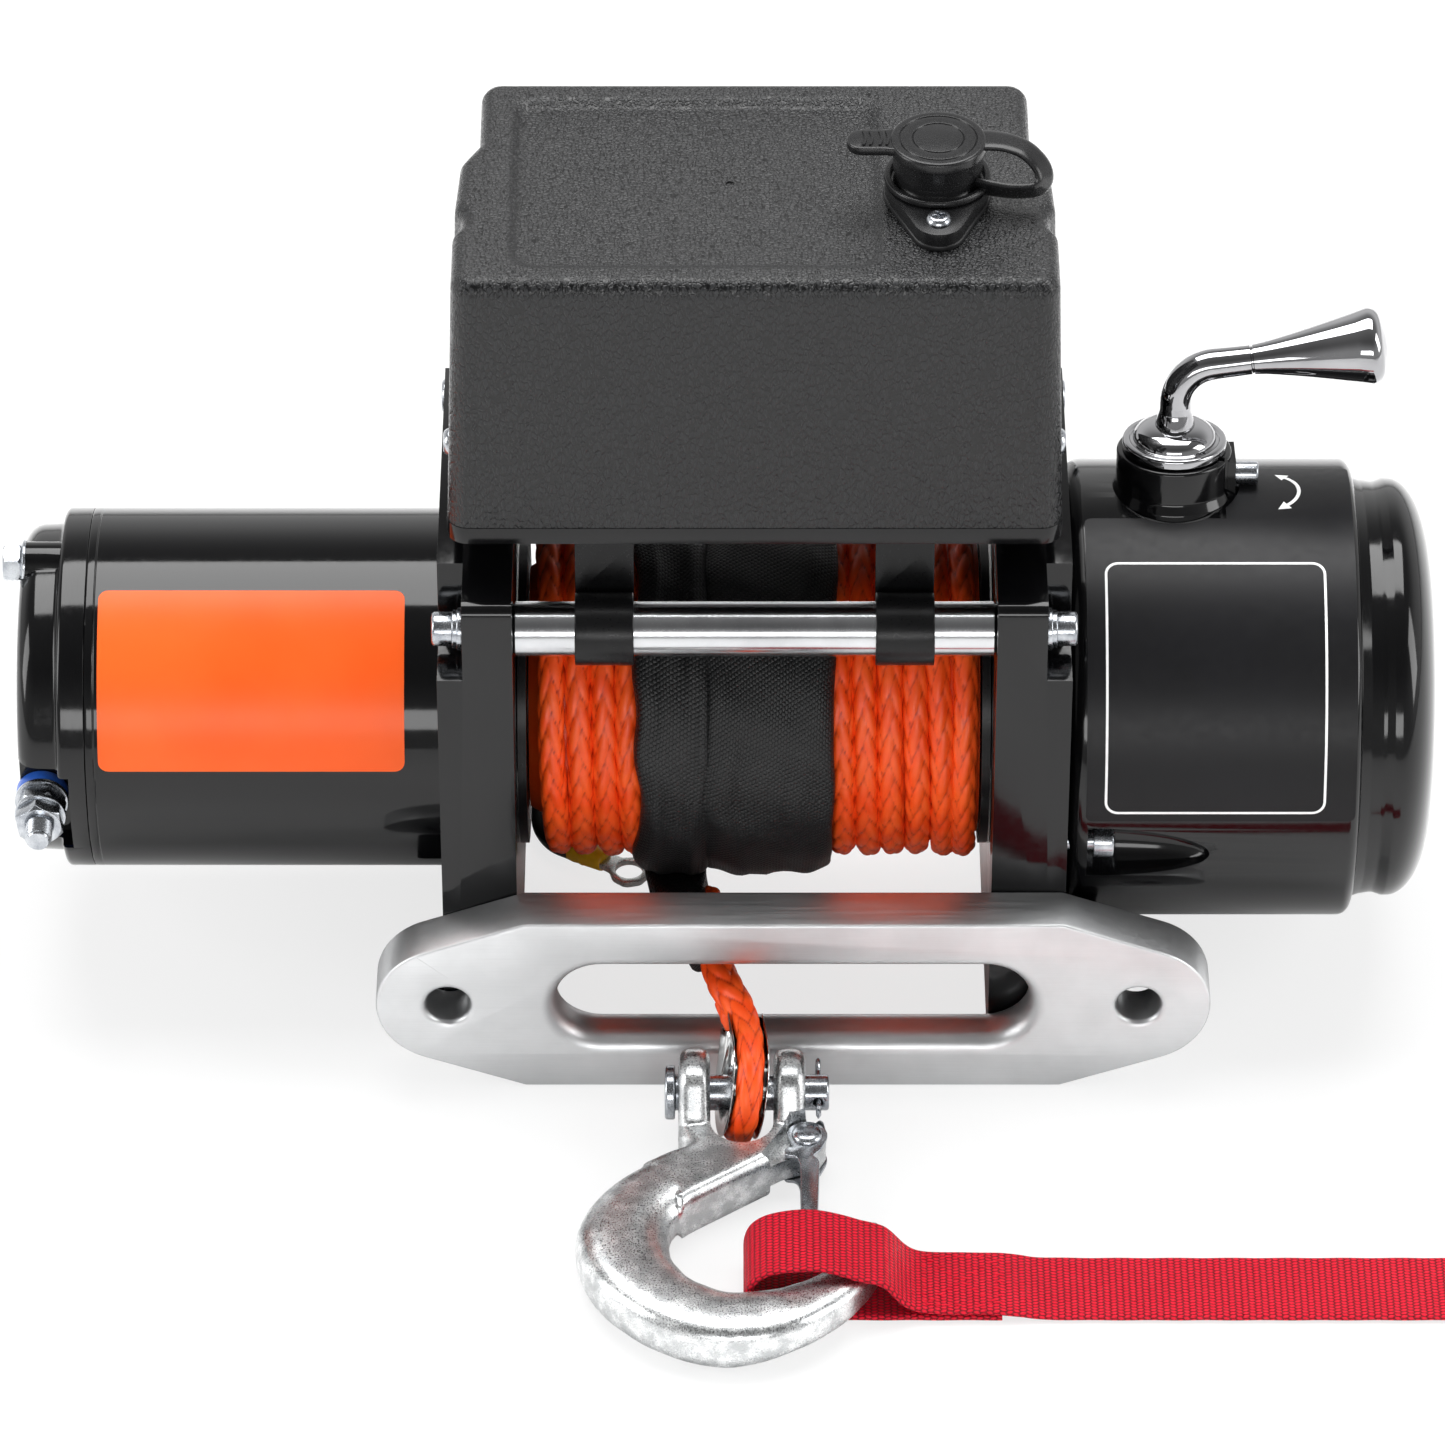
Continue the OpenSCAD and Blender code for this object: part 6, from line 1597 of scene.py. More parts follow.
@dataclass
class ClutchLever:
    """The chromed lever: rim, dome, bent bar and flared handle, drawn upright on the clutch axis."""

    base: float = 81.3
    rim: float = 15.4
    dome: float = 12.3
    bar: float = 4.6
    bend: float = 12.5
    rise: float = 15.0
    slope: float = 7.5
    straight: float = 11.5
    handle: float = 39.5
    flare: float = 11.3

    def hub(self) -> Piece:
        """Rim, groove and dome, hollow over the shaft."""
        b = self.base
        profile = fillet([(b, 7.05), (b, self.rim, 0.5), (b + 3.1, self.rim, 0.9),
                          (b + 3.1, self.dome + 1.2, 0.3), (b + 2.7, self.dome + 0.7, 0.2),
                          (b + 3.2, self.dome, 0.3)], 4)
        dome = [(b + 3.2 + 4.4 * math.sin(a), 5.0 + (self.dome - 5.0) * math.cos(a))
                for a in np.linspace(0, 1.45, 9)]
        neck = fillet([(b + 7.9, 5.9), (b + 12, 4.7, 3), (b + 14, 4.6), (b + 14, 0), (84.1, 0), (84.1, 7.05)],
                      5)
        return lathe("clutch_chrome_lever", profile + dome + neck, 96)

    def grow(self, obj: Piece, way: Vector, steps: Sequence[tuple[float, float]]) -> None:
        """Extrudes the selected end face along a direction.

        Args:
            obj: The bar, in edit mode.
            way: Unit direction to grow in.
            steps: Length and end radius of each extrusion, in millimetres.
        """
        for length, radius in steps:
            bpy.ops.mesh.extrude_region_move(TRANSFORM_OT_translate={"value": way * length * MM})
            bpy.context.view_layer.update()
            obj.update_from_editmode()
            spots = [v.co for v in obj.data.vertices if v.select]
            centre = sum(spots, Vector()) / len(spots)
            now = (spots[0] - centre).length
            ratio = radius * MM / now
            bpy.ops.transform.resize(value=(ratio,) * 3, center_override=centre)

    def arm(self) -> Piece:
        """A round bar grown upwards, spun through the bend, and grown out into the handle."""
        b = self.base
        select_only()
        bpy.ops.mesh.primitive_circle_add(vertices=40, radius=self.bar * MM, fill_type="NGON",
                                          location=(0, 0, (b + 6) * MM))
        bar = settle("arm")
        sweep = math.radians(90 - self.slope)
        with editing(bar):
            self.grow(bar, Vector((0, 0, 1)), [(self.rise - 6, self.bar)])
            bpy.ops.mesh.spin(steps=14, angle=-sweep, center=Vector((self.bend, 0, b + self.rise)) * MM,
                              axis=(0, 1, 0))
            way = Vector((math.cos(math.radians(self.slope)), 0, math.sin(math.radians(self.slope))))
            n = 10
            flare = [((self.handle - 5.4) / n, 4.35 + (self.flare - 4.35) * (k / n) ** 1.2)
                     for k in range(1, n + 1)]
            # The rim is a quarter round in five steps of 0.3 radians.
            rim = [(4.0 * (math.sin(a + 0.3) - math.sin(a)), self.flare - 3.6 * (1 - math.cos(a + 0.3)))
                   for a in (0, 0.3, 0.6, 0.9, 1.2)]
            groove = [(0.3, 4.05), (0.3, 4.05), (0.3, 4.4)]
            crown = [(0.6, self.flare - 5.2), (0.5, self.flare - 7.2), (0.3, self.flare - 9.2)]
            self.grow(bar, way, [(2, 4.5), (self.straight - 2.6, 4.35)] + groove + flare + rim + crown)
            bpy.ops.mesh.select_all(action="SELECT")
            bpy.ops.mesh.normals_make_consistent(inside=False)
        return bar

    def build(self) -> None:
        """Joins the arm into the hub and leans them on the clutch axis."""
        hub = self.hub()
        combine(hub, self.arm(), Solid.ADD)
        move(hub, clutch_frame())
        finish_piece(hub, "clutch_lever", CHROME, ["clutch_lever"], 38)


# ---------------------------------------------------------------- control box and socket


@dataclass
class ControlBox:
    """The grained cover with its sunk panel, the glossy tray and the two side screws."""

    low: float = 183.5
    high: float = 268.0
    taper: float = 0.972
    round_top: float = 4.6
    wall: float = 2.5
    side: tuple[tuple[float, float, float], ...] = (
        (88.5, -53, 6), (88.5, -24.5, 5), (86.2, -20.5, 4), (86.2, -15, 4), (88.2, -10.5, 5), (87, 11.5, 7),
        (81.5, 22, 7), (81.5, 53, 6))
    panel: tuple[float, float, float, float] = (-70, 36, -42, 42)
    screw: Point = (88.2, -22, 191.5)

    def outline(self) -> Outline:
        """The cover's outline at its open edge, with the soft pads down both sides."""
        left = [(-x, y, r) for x, y, r in self.side[::-1]]
        return fillet(list(self.side) + left, 6)

    @staticmethod
    def inset(outline: Outline, by: float) -> Outline:
        """The outline moved inwards all round."""
        points = np.asarray(outline, float)
        along = np.roll(points, -1, 0) - np.roll(points, 1, 0)
        along /= np.linalg.norm(along, axis=1)[:, None]
        return [tuple(p) for p in points + np.column_stack([-along[:, 1], along[:, 0]]) * by]

    def loop(self, z: float, by: float) -> Loop:
        """The outline at a height, drawn in by the draft of the mould and by an inset."""
        scale = 1 + (self.taper - 1) * (z - self.low) / (self.high - self.low)
        return [(x * scale, y * scale, z) for x, y in self.inset(self.outline(), by)]

    def cover(self) -> None:
        """The hollow cover."""
        r = self.round_top
        heights = [(z, 0.0)
                   for z in (self.low, self.low + 0.4, *np.linspace(self.low + 8, self.high - r - 1.5, 7))]
        heights += [(self.high - r + r * math.sin(a), r * (1 - math.cos(a)))
                    for a in np.linspace(0, math.pi / 2, 8)]
        cover = skin("box_grained_cover", [self.loop(z, by) for z, by in heights])
        inner = skin("inside", [self.loop(self.low - 1, self.wall), self.loop(self.high - 7, self.wall),
                                self.loop(self.high - self.wall - 0.3, self.wall + 4)])
        x0, x1, y0, y1 = self.panel
        sink = [[(x, y, z) for x, y in round_box(x0 + d, x1 - d, y0 + d, y1 - d, corner, 6)]
                for d, corner, z in ((-0.9, 7.9, self.high + 0.3), (2.6, 5.4, self.high - 1.9))]
        cut(cover, inner, skin("panel", sink))

        def on_rim(mid: Vector, way: Vector) -> bool:
            """Whether an edge lies round the sunk panel."""
            inside = x0 - 1 < mid.x < x1 + 1 and y0 - 1 < mid.y < y1 + 1
            return inside and mid.z > self.high - 2.1 and abs(way.z) < 0.3

        round_edges(cover, 1.0, on_rim)
        pip = fillet([(-0.7, 0), (-0.7, 1.15, 0.4), (1, 1.3), (1, 0)], 3)
        cut(cover, turned("pip", pip, Axis.Z, (-7.2, 1.5, self.high - 1.9), 20))
        finish_piece(cover, "frame", GRAINED_ABS, ["box_cover"], 40)

    def tray(self) -> None:
        """The tray that the cover stands on: a floor with an upstanding wall round it."""
        rim = self.inset(self.outline(), -0.2)
        tray = prism("box_gloss_tray", rim, Axis.Z, 178, self.low)
        cut(tray, prism("inside", self.inset(self.outline(), 5), Axis.Z, 180, self.low + 1),
            rod("lead_hole", 6.1, (-60, 34, 175), (-60, 34, 182)))
        soften(tray, 0.7, 3, 50)
        finish_piece(tray, "frame", GLOSS_ABS, ["box_tray"], 40)

    def screws(self) -> None:
        """One pan-head screw on each side."""
        x, y, z = self.screw
        places = [shift(side * (x - 0.35), y, z) @ turn(side * 90, "Y") for side in (-1, 1)]
        pair = repeat("box_side_screws", pan_screw(4.1, 2.4), places)
        finish_piece(pair, "frame", ZINC_PLATE, ["box_screws"], 30)

    def build(self) -> None:
        """Makes the box."""
        self.cover()
        self.tray()
        self.screws()


def pan_screw(radius: float, height: float) -> Piece:
    """A cross-recessed pan head along Z, standing on 0, with a short shank below."""
    crown = [(height * math.sin(a), radius * (0.55 + 0.45 * math.cos(a))) for a in np.linspace(0.25, 1.45, 8)]
    stem = [(-3, 0), (-3, radius * 0.5), (0, radius * 0.5), (0, radius * 0.97)]
    head = lathe("screw", stem + crown + [(height, 0)], 40)
    for angle in (20, 110):
        slot = block("recess", (-radius * 0.52, -0.42, height * 0.45), (radius * 0.52, 0.42, height + 1))
        cut(head, move(slot, turn(angle, "Z")))
    soften(head, 0.12, 2, 40)
    return head


@dataclass
class SocketSet:
    """The control socket on the cover, its rubber cap, and the strap that keeps the cap."""

    centre: Point = (52, -7, 268)
    flange: float = 5.4
    barrel: float = 11.4
    bore: float = 9.0
    barrel_top: float = 284.5
    cap_floor: float = 284.8
    skirt: float = 13.0
    tab: float = 14.0

    def plate(self, name: str, grow: float, low: float, high: float) -> Piece:
        """A rounded diamond plate through the two screw places."""
        x, y, _ = self.centre
        rounds = [(0, 0, 15 + grow), (0, 20.2, 7.2 + grow), (0, -20.2, 7.2 + grow)]
        points = sorted(p for u, v, r in rounds for p in circle(r, 48, (u, v)))
        hull = []
        for row in (points, points[::-1]):
            side = []
            for p in row:
                while len(side) > 1 and cross(side[-2], side[-1], p) <= 0:
                    side.pop()
                side.append(p)
            hull += side[:-1]
        return prism(name, [(x + u, y + v) for u, v in hull], Axis.Z, low, high)

    def socket(self) -> None:
        """Gasket, flange, barrel with its bore and pins, and the two flange screws."""
        x, y, z = self.centre
        gasket = soften(self.plate("socket_gasket", 0.5, z - 0.05, z + 1.5), 0.4, 2)
        finish_piece(gasket, "frame", RUBBER, ["control_socket"], 40)
        body = self.plate("socket_flange", 0, z + 1.5, z + self.flange)
        top, neck = self.barrel_top, z + self.flange
        foot = fillet([(z + 1.6, 0), (z + 1.6, self.barrel + 1.8), (neck, self.barrel + 1.8),
                       (neck + 1.8, self.barrel + 0.2, 1.6), (top, self.barrel, 0.7), (top, 0)], 4)
        combine(body, turned("barrel", foot, Axis.Z, (x, y, 0), 72), Solid.ADD)
        cut(body, rod("bore", self.bore, (x, y, top - 9), (x, y, top + 1), 64))
        soften(body, 0.5, 3, 50)
        finish_piece(body, "frame", SOCKET_NYLON, ["control_socket"], 36)
        spots = arc(4.6, math.radians(45), math.radians(315), 4, (x, y))
        pins = join("socket_pins",
                    [rod("pin", 1.1, (u, v, top - 9.2), (u, v, top - 3), 20) for u, v in spots])
        finish_piece(soften(pins, 0.3, 2), "frame", ZINC_PLATE, ["control_socket"], 30)
        places = [shift(x, y + side * 20.4, neck) for side in (-1, 1)]
        screws = repeat("socket_flange_screws", pan_screw(3.7, 2.0), places)
        finish_piece(screws, "frame", ZINC_PLATE, ["box_screws"], 30)

    def cap(self) -> None:
        """The pushed-on cap: skirt, plug, two rings sunk in its top and a ribbed tab."""
        x, y, _ = self.centre
        f, r = self.cap_floor, self.skirt
        profile = [(f - 7, 11.7), (f - 7, r - 0.3, 0.3), (f - 0.6, r, 0.4), (f - 0.2, r + 0.9, 0.5),
                   (f + 3, r + 0.7, 0.9), (f + 3, 11.3, 0.2), (f + 2.4, 11.0, 0.2), (f + 3, 10.7, 0.2),
                   (f + 3, 7.6, 0.2), (f + 2.4, 7.3, 0.2), (f + 3, 7.0, 0.2), (f + 3, 0)]
        under = [(f - 5, 0), (f - 5, 8.2, 0.5), (f, 8.4), (f, 11.7)]
        cap = turned("socket_rubber_cap", fillet(profile + under, 3), Axis.Z, (x, y, 0), 88)
        end = x - r - self.tab + 1
        leaf = fillet([(x - r + 3, y - 6), (x - r + 3, y + 6), (x - r - 2, y + 5, 3), (end, y + 5, 4.5),
                       (end, y - 5, 4.5), (x - r - 2, y - 5, 3)], 6)
        tab = prism("tab", leaf, Axis.Z, f + 0.1, f + 2.7)
        combine(cap, soften(tab, 0.6, 3, 50), Solid.ADD)
        bow = [(0.9 * math.cos(t * 1.3), y + 3.4 * t) for t in np.linspace(-1, 1, 7)]
        for step in (0, 1.9, 4.6, 6.5):
            near, far = (end + 4.5 + step + half for half in (-0.35, 0.35))
            outline = [(near + u, v) for u, v in bow] + [(far + u, v) for u, v in bow[::-1]]
            combine(cap, prism("rib", outline, Axis.Z, f + 2, f + 3.2), Solid.ADD)
        finish_piece(cap, "socket_cap", SOCKET_NYLON, ["socket_cap"], 40)

    def strap(self) -> None:
        """The flat strap from the cap, round to the right, down to a ring round the socket's neck."""
        x, y, _ = self.centre
        route = [(x + 10.5, y + 0.6, 286.4), (x + 15, y + 0.4, 286.6), (x + 20, y - 0.6, 286.4),
                 (x + 25, y - 2.6, 285.2), (x + 29, y - 5.4, 282.2), (x + 30.2, y - 7.4, 278.6),
                 (x + 28, y - 8.6, 276), (x + 22, y - 8.2, 275), (x + 16.5, y - 6.8, 274.8),
                 (x + 11.6, y - 5, 274.8)]
        path = spline(route, 0.6)
        angles = round_angles(40)
        along = np.linspace(0, 1, len(path))[:, None]
        wide = 4.6 - 1.0 * np.sin(along * math.pi)
        shape = squircle(angles, wide, 0.95, 6)
        strap = tube("socket_cap_strap", path, shape, angles, (0, 1, 0))
        ring = fillet([(273.9, 13.5), (273.9, 15.4, 0.5), (275.8, 15.2, 0.6), (275.8, 13.4, 0.4)], 3)
        combine(strap, turned("ring", ring, Axis.Z, (x, y, 0), 72), Solid.ADD)
        soften(strap, 0.2, 2, 60)
        finish_piece(strap, "", SOCKET_NYLON, (), 50)
        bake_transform(strap)

    def build(self) -> None:
        """Makes the socket and its cap."""
        self.socket()
        self.cap()
        self.strap()


def cross(a: Sequence[float], b: Sequence[float], c: Sequence[float]) -> float:
    """Twice the signed area of a triangle in the plane."""
    return (b[0] - a[0]) * (c[1] - a[1]) - (b[1] - a[1]) * (c[0] - a[0])


# ---------------------------------------------------------------- fairlead


@dataclass
class Fairlead:
    """The milled aluminium hawse: chamfered plate, slot with rounded lips, two bolt holes."""

    middle: float = 11.6
    front: float = -86.0
    back: float = -70.0
    height: float = 62.0
    flat: float = 79.5
    end: float = 102.2
    end_radius: float = 21.3
    slot: tuple[float, float] = (140.0, 27.0)
    lip: float = 4.8
    roll: float = 6.4
    hole: float = 6.5

    def outline(self) -> Outline:
        """The plate's outline: long flats, and slopes that run into round ends."""
        mid = self.height / 2
        reach, r = self.end - self.flat, self.end_radius
        # Angle of the tangent from the flat's corner to the end's arc.
        away = math.hypot(reach, mid)
        start = math.atan2(mid, -reach) - math.acos(r / away)
        right = arc(r, -start, start, 33, (self.middle + self.end, mid))
        left = [(2 * self.middle - x, z) for x, z in right[::-1]]
        east, west = self.middle + self.flat, self.middle - self.flat
        return [(east, 0.0)] + right + [(east, self.height), (west, self.height)] + left + [(west, 0.0)]

    def opening(self) -> Piece:
        """The slot's cutter: straight in the middle, rolled out in a quarter ellipse at each face."""
        middle, lip, roll = (self.middle, self.height / 2), self.lip, self.roll
        mill = [(roll * (1 - math.cos(a)), lip * (1 - math.sin(a))) for a in np.linspace(0, math.pi / 2, 9)]
        faces = [(self.front - 1, lip)] + [(self.front + deep, grow) for deep, grow in mill]
        faces += [(self.back - deep, grow) for deep, grow in mill[::-1]] + [(self.back + 1, lip)]
        wide, high = self.slot
        return skin("opening", [[(x, y, z) for x, z in oval(wide + 2 * grow, high + 2 * grow, middle, 24)]
                                for y, grow in faces])

    def build(self) -> None:
        """Makes the plate, mills it and takes off its edges."""
        plate = prism("hawse_fairlead_plate", self.outline(), Axis.Y, self.front, self.back)
        cut(plate, self.opening())
        profile = [(self.front - 1, self.hole + 2.2), (self.front + 1.2, self.hole),
                   (self.back - 1.2, self.hole), (self.back + 1, self.hole + 2.2)]
        for side in (-1, 1):
            middle = (self.middle + side * self.end, self.height / 2)
            cut(plate, skin("hole", [[(x, y, z) for x, z in circle(r, 48, middle)] for y, r in profile]))
        soften(plate, 0.9, 3, 32)
        finish_piece(plate, "frame", BRUSHED_ALUMINIUM, ["fairlead"], 34)


# ---------------------------------------------------------------- hook, latch and strap


@dataclass
class HookFrame:
    """Places that the hook, its latch and the strap share, from the clevis pin, in millimetres."""

    origin: Point = (-3.6, -108, 0)
    pin_height: float = 16.5
    pivot: Point = (19.1, -16.5)
    thick: float = 17.0

    def place(self) -> Matrix:
        """From the hook's own places to the scene."""
        return shift(*self.origin)

    def at_pivot(self, angle: float = 0) -> Matrix:
        """From the latch's own places, with its length along X, to the scene."""
        return self.place() @ shift(*self.pivot) @ turn(angle, "Z")


@dataclass
class Hook(HookFrame):
    """The drop-forged, zinc plated clevis hook with its pin and cotter."""

    bowl: Point = (-2.4, -67)
    outer: tuple[Point, ...] = ((19, 45), (0, 43.6), (-22, 40), (-43, 38.2), (-84, 38.2), (-123, 38.3),
                                (-144, 39.7), (-161, 42.4), (-190, 46.7), (-204, 46.7), (-238, 45.8),
                                (-253, 47.1))
    inner: tuple[Point, ...] = ((19, 39.2), (8, 33.4), (-11, 26.5), (-38, 20.3), (-75, 16), (-120, 14.4),
                                (-161, 15.8), (-195, 19.2), (-219, 22.4), (-240, 24.4))
    tip_angle: float = 19
    root_angle: float = -246
    ear_gap: float = 18.6
    ear: float = 9.4
    ear_radius: float = 13.0
    pin: float = 5.3
    voxel: float = 0.7

    def edge(self, table: Sequence[Point], angle: float) -> tuple[float, float]:
        """The point of the outer or inner edge at an angle round the bowl."""
        r = float(np.interp(-angle, [-a for a, _ in table], [r for _, r in table]))
        a = math.radians(angle)
        return self.bowl[0] + r * math.cos(a), self.bowl[1] + r * math.sin(a)

    def arm(self) -> Piece:
        """The bowl as a loft of rounded sections, lifted under the tip where the strap passes."""
        loops = []
        turns = round_angles(40)
        tip = self.tip_angle
        lean = math.radians(tip)
        for angle in [*np.linspace(tip + 3.5, tip, 5), *np.linspace(tip - 2, self.root_angle, 70)]:
            past = max(0.0, angle - tip)
            shrink = math.sqrt(max(0.03, 1 - (past / 3.55) ** 2))
            ahead = Vector((-math.sin(lean), math.cos(lean))) * past * 0.75
            a, b = (Vector(self.edge(table, min(angle, tip))) + ahead for table in (self.outer, self.inner))
            low = float(np.interp(angle, [-92, -62], [0.1, 3.4]))
            top = self.thick - float(np.interp(angle, [-60, -25, 19], [0, 1.7, 4.6]))
            middle, half = (a + b) / 2, (a - b) / 2
            out_n, in_n = 3.4, 2.3
            loop = []
            for t in turns:
                c, s = math.cos(t), math.sin(t)
                n = out_n if c > 0 else in_n
                r = (abs(c) ** n + abs(s) ** n) ** (-1 / n) * shrink
                spot = middle + half * (c * r)
                loop.append((spot.x, spot.y, (low + top) / 2 + (top - low) / 2 * s * r))
            loops.append(loop)
        return skin("hook_arm", loops)

    def body(self) -> Piece:
        """The block between the bowl, the ears and the latch lug."""
        outline = [self.edge(self.outer, a) for a in np.linspace(-234, -253, 8)]
        outline += [(-18.5, -15), (-18.5, -10.5), (24.3, -10.5), (24.8, -17), (22.6, -21.8), (11.7, -26.4)]
        outline += [self.edge(self.inner, a) for a in np.linspace(-240, -230, 4)]
        core = prism("hook_body", outline, Axis.Z, 0, self.thick)
        round_edges(core, 3.6, lambda mid, way: abs(way.z) < 0.2)
        return core

    def ears(self) -> list[Piece]:
        """The two clevis ears: flat cheeks with a fully rounded edge."""
        made = []
        profile = [(-8, self.pin_height + 9.9), (-15, self.thick - 0.6), (-19.5, self.thick - 1.5),
                   (-19.5, 1.2), (-13.5, 1.2)]
        steep = math.radians(118)
        round_end = arc(self.ear_radius, -steep, steep, 30, (0, self.pin_height))
        for side in (-1, 1):
            middle = side * (self.ear_gap + self.ear) / 2
            cheek = prism("ear", round_end + profile, Axis.X, middle - self.ear / 2, middle + self.ear / 2)
            round_edges(cheek, 3.2, lambda mid, way: abs(way.x) < 0.2)
            made.append(cheek)
        return made

    def relief(self, low: float, high: float) -> Piece:
        """The room that a latch cheek sweeps from shut to open."""
        swept = prism("sweep", circle(6.5, 40), Axis.Z, low, high)
        shut, opened = -118, -73
        for angle in (opened, shut):
            arm = prism("arm", [(0, -6.7), (16, -6.7), (16, 6.4), (0, 6.4)], Axis.Z, low, high)
            combine(swept, move(arm, turn(angle, "Z")), Solid.ADD)
        fan = [(0, 0)] + arc(17, math.radians(shut), math.radians(opened), 10)
        combine(swept, prism("wedge", fan, Axis.Z, low, high), Solid.ADD)
        return move(swept, shift(*self.pivot))

    def forging(self) -> None:
        """Melts the parts into one forging, then machines the slot, the holes and the latch seat."""
        hook = join("forged_clevis_hook", [self.arm(), self.body()] + self.ears())
        melt(hook, self.voxel, 3)
        h, g = self.pin_height, self.ear_gap / 2
        x, y = self.pivot
        crotch = [(-g, 16), (-g, -13.4)] + arc(g, -3.0, -0.14, 21, (0, -13.4)) + [(g, -13.4), (g, 16)]
        cut(hook, prism("crotch", crotch, Axis.Z, -2, 34),
            rod("pin_hole", self.pin + 0.15, (-30, 0, h), (30, 0, h), 56),
            rod("rivet_hole", 2.75, (x, y, -2), (x, y, 20), 32),
            rod("spring_seat", 5.3, (x, y, 9), (x, y, 20), 40), self.relief(-1, 5.3), self.relief(12.7, 20))
        move(hook, self.place())
        finish_piece(hook, "hook", FORGED_ZINC, ["hook"], 50)

    def clevis_pin(self) -> None:
        """The headed pin with its cross hole, turned along X."""
        end, head = 25.7, -19.7
        profile = [(head - 3, 0), (head - 3, 8, 0.9), (head, 8, 0.6), (head, self.pin, 0.4),
                   (end, self.pin, 0.9), (end, 0)]
        pin = turned("clevis_pin_turned", fillet(profile, 4), Axis.X, (0, 0, self.pin_height), 64)
        cut(pin, move(rod("cross_hole", 1.55, (0, 0, -20), (0, 0, 20), 28), self.cotter_place()))
        soften(pin, 0.25, 2, 40)
        move(pin, self.place())
        finish_piece(pin, "hook", ZINC_PLATE, ["clevis_pin"], 32)

    def cotter_place(self) -> Matrix:
        """Where the cotter sits across the pin: its eye behind, a little below level."""
        return shift(22.4, 0, self.pin_height) @ turn(-96.5, "X")

    def cotter(self) -> None:
        """The split pin: two half-round legs from one looped eye, their ends spread."""
        r = 2.15
        eye = [(r * math.sin(a) * 1.15, 10.2 + r * (1 - math.cos(a)))
               for a in np.linspace(0.5, math.tau - 0.5, 22)]
        leg = [(0.55, 9.4), (0.55, 0), (0.55, -6.2), (0.9, -8.4), (1.9, -10.6)]
        route = [(0, y, z) for y, z in leg[::-1] + eye + [(-y, z) for y, z in leg]]
        path = spline(route, 0.35)
        angles = round_angles(12)
        shape = np.where(np.cos(angles) > 0, 0.95, 0.62) + 0 * path[:, :1]
        number = np.arange(len(path))
        ends = np.minimum(1, 0.3 + np.minimum(number, number[::-1]) / 4)[:, None]
        cotter = tube("cotter_pin_wire", path, shape * ends, angles, (1, 0, 0))
        move(cotter, self.place() @ self.cotter_place())
        finish_piece(cotter, "hook", ZINC_PLATE, ["cotter_pin"], 60)

    def build(self) -> None:
        """Makes the hook, its pin and its cotter."""
        self.forging()
        self.clevis_pin()
        self.cotter()


@dataclass
class HookLatch(HookFrame):
    """The pressed latch, its domed rivet and its coiled spring."""

    angle: float = -92.0
    low: float = 3.6
    high: float = 14.4
    sheet: float = 1.2
    length: float = 37.5
    rivet: float = 2.5

    def pressing(self) -> None:
        """A channel of sheet: two cheeks with round roots and a folded web."""
        n = self.length
        root = arc(6, math.radians(88), math.radians(262), 22)
        outline = root + fillet([(4.4, -6.2, 2), (9.6, -6.6, 2.2), (9.2, -2.6, 2.4), (13, -1.6, 3),
                                 (n - 1.6, -0.6, 1.5), (n, 1.2, 1.2), (n, 4, 1), (n - 3, 4, 2), (10, 4, 4)],
                                5) + [(6, 4.2), (2, 5.7)]
        latch = prism("pressed_hook_latch", outline, Axis.Z, self.low, self.high)
        web = 4 - self.sheet
        channel = [(-9, -9), (n - 4, -9), (n - 4, web), (9.5, web), (9.5, 9), (-9, 9)]
        cut(latch, prism("inside", channel, Axis.Z, self.low + self.sheet, self.high - self.sheet),
            rod("hole", self.rivet + 0.1, (0, 0, 0), (0, 0, 20), 32))
        soften(latch, 0.35, 3, 40)
        move(latch, self.at_pivot(self.angle))
        finish_piece(latch, "hook_latch", ZINC_PLATE, ["hook_latch"], 36)

    def rivet_piece(self) -> None:
        """The rivet with a wide domed head on top."""
        dome = [(self.high + 0.1 + 1.8 * math.sin(a), 4.6 * math.cos(a) ** 0.75)
                for a in np.linspace(0, 1.5, 10)]
        foot = [(1.9, 0), (1.9, 2.8), (2.4, 3.5), (3.5, 3.6), (3.5, self.rivet),
                (self.high + 0.1, self.rivet)]
        rivet = lathe("latch_domed_rivet", foot + dome + [(self.high + 1.9, 0)])
        move(rivet, self.at_pivot())
        finish_piece(rivet, "hook", ZINC_PLATE, ["latch_rivet"], 40)

    def spring(self) -> None:
        """Three turns of wire with both ends led out."""
        turns = np.linspace(0, math.tau * 2.9, 90)
        route = [(4 * math.cos(a), 4 * math.sin(a), 10 + 2.2 * a / turns[-1]) for a in turns]
        route = [(4.2, -6.5, 10), (4.1, -3.2, 10)] + route + [(3.2, -5.6, 12.2)]
        path = spline(route, 0.4)
        angles = round_angles(12)
        spring = tube("latch_coil_spring", path, np.full((len(path), 12), 0.45), angles, (0, 0, 1))
        move(spring, self.at_pivot(self.angle))
        finish_piece(spring, "hook_latch", ZINC_PLATE, ["latch_spring"], 60)

    def build(self) -> None:
        """Makes the latch."""
        self.pressing()
        self.rivet_piece()
        self.spring()


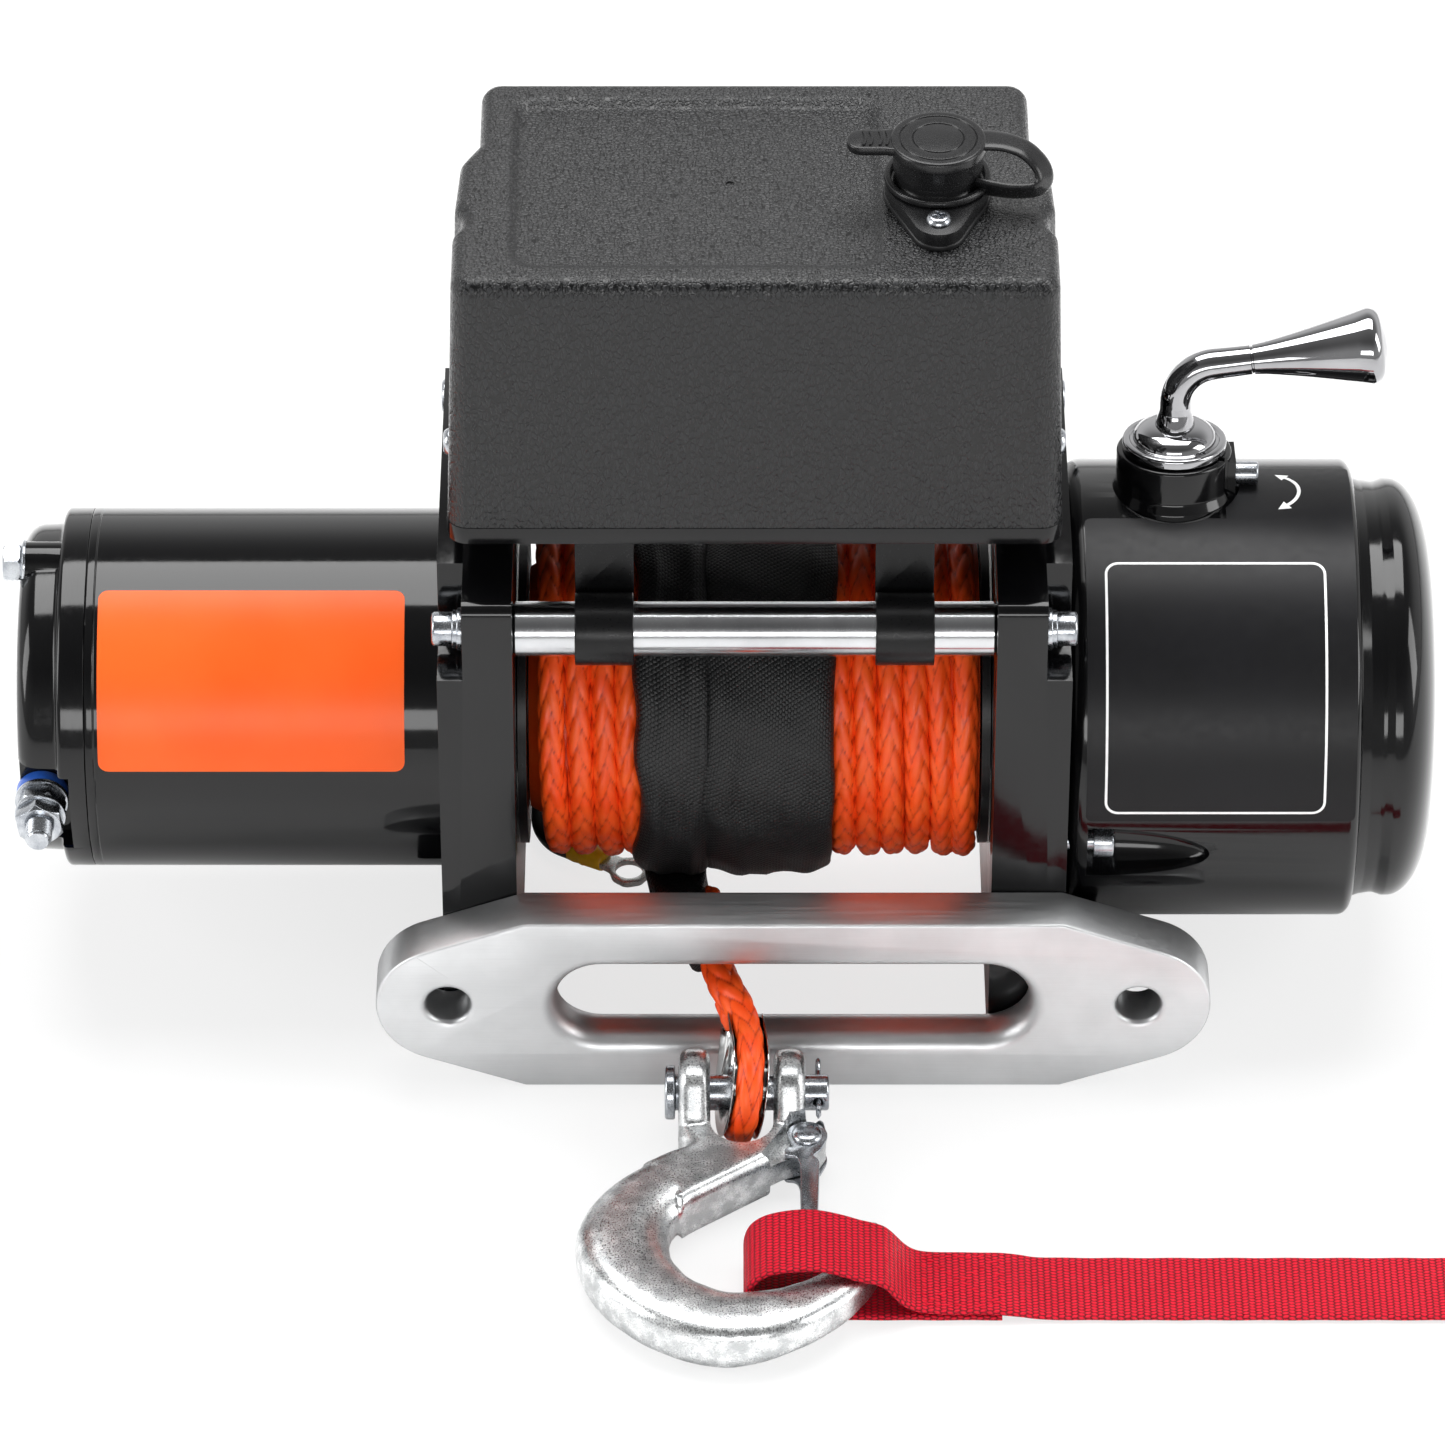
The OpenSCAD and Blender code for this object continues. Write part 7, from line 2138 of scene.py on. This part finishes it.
@dataclass
class HandStrap(HookFrame):
    """The hand strap: a flat webbing passed round the hook, its end sewn down on itself."""

    width: float = 26.0
    middle: float = -69.0
    thickness: float = 2.0
    seam: tuple[float, float] = (52.5, 74.0)
    length: float = 320.0
    route: tuple[Point, ...] = (
        (228, 1.2), (200, 1.2), (170, 1.2), (140, 1.2), (112, 1.2), (96, 1.25), (86, 1.5), (80, 2.5),
        (74, 3.2), (66, 3.4), (58, 3.4), (52, 4), (48.6, 5.3), (46.2, 7.3), (44.2, 9.8), (42.4, 12.1),
        (40.4, 13.9), (37.4, 15.1), (33.5, 16.2), (28, 18.3), (22.5, 19.8), (17, 20), (11, 19.2), (6.5, 17.6),
        (3.2, 14.6), (1.6, 10.6), (1.4, 6), (2.4, 2.6), (5.6, 1.25), (12, 1.2), (30, 1.2), (50, 1.2),
        (66, 1.2), (75, 1.2))

    def ribbon(self, name: str, route: Sequence[Point], width: float) -> Piece:
        """A webbing strip along a route in x and z, with cord-like selvedges and a lay UV."""
        path = spline([(x, self.middle, z) for x, z in route], 0.55)
        section = np.array(self.section(width))
        angles, radii = np.arctan2(section[:, 1], section[:, 0]), np.hypot(section[:, 0], section[:, 1])
        steps = np.linalg.norm(np.roll(section, -1, 0) - section, axis=1)
        along = 0.55 * np.arange(len(path))[:, None]
        # The edge of a woven strap is never quite straight: a small ripple runs along it.
        ripple = 1 + 0.006 * np.sin(along / 2.6) * (np.abs(np.cos(angles)) > 0.9)
        return tube(name, path, radii * ripple, angles, (0, 1, 0),
                    around=np.concatenate([[0], np.cumsum(steps)]))

    def section(self, width: float) -> Outline:
        """The webbing cut across: flat, with a round selvedge."""
        h, w = self.thickness / 2, width / 2
        top = [(u, h) for u in np.linspace(w - 1.2, -w + 1.2, 26)]
        left = [(-w + 1.2 + 1.2 * math.cos(a), h * math.sin(a))
                for a in np.linspace(math.pi / 2, 3 * math.pi / 2, 7)[1:-1]]
        return top + left + [(-u, -v) for u, v in top] + [(-u, -v) for u, v in left]

    def stitches(self) -> Piece:
        """Box stitching through the two layers, as short thread loops."""
        made = []
        left, right = self.seam
        spots = [(x, y) for y in (-79.4, -58.6) for x in np.arange(left + 1, right, 3)]
        spots += [(x, y) for x in (left, right) for y in np.arange(-78, -59, 3)]
        across = (right - left) - 1
        spots += [(left + 0.6 + t * across, -69 + side * (9.8 - t * 19.6)) for side in (-1, 1)
                  for t in np.linspace(0.08, 0.92, 8)]
        heights = np.array(sorted(self.route[:12])).T
        for x, y in spots:
            z = float(np.interp(x, *heights)) + self.thickness / 2
            made.append(ball("stitch", (1.0, 0.32, 0.3), (x, y, z), 8))
        return join("strap_stitches", made)

    def build(self) -> None:
        strap = self.ribbon("red_hand_strap", self.route, self.width)
        move(strap, self.place())
        finish_piece(strap, "hook", RED_WEBBING, ["hand_strap"], 60)
        thread_piece = move(self.stitches(), self.place())
        finish_piece(thread_piece, "hook", RED_THREAD, (), 60)


@dataclass
class InnerWorks:
    """CAD parts inside the housings, whose shapes stay and which only get their materials."""

    kept: tuple[tuple[Finish, tuple[str, ...]], ...] = (
        (MACHINED_STEEL, ("ring_gear", "carrier_1", "carrier_2", "carrier_3", "planet_1a", "planet_1b",
                          "planet_1c", "planet_2a", "planet_2b", "planet_2c", "planet_3a", "planet_3b",
                          "planet_3c", "rotor_shaft", "drum_brake", "clutch_shaft")),
        (BLACK_STEEL, ("clutch_slider",)),
        (POWDER_COAT, ("drum",)),
        (FERRITE, ("motor_magnets",)),
        (COPPER, ("rotor_core", "commutator")),
        (BRONZE, ("bronze_bushes", "motor_brushes")),
        (PHENOLIC, ("contactor",)),
    )

    def build(self) -> None:
        """Dresses every kept node."""
        for finish, names in self.kept:
            for name in names:
                dress_node(name, finish)


def main() -> None:
    """Builds every sub-assembly in order."""
    logging.basicConfig(level=logging.INFO, format="%(name)s: %(message)s")
    CameraRig().build()
    for assembly in (FreeRope, MotorLead, Studio, DrumRope, Supports, Motor, Gearbox, ClutchLever, ControlBox,
                     SocketSet, Fairlead, Hook, HookLatch, HandStrap, InnerWorks):
        LOG.info("building %s", assembly.__name__)
        assembly().build()


if __name__ == "__main__":
    main()
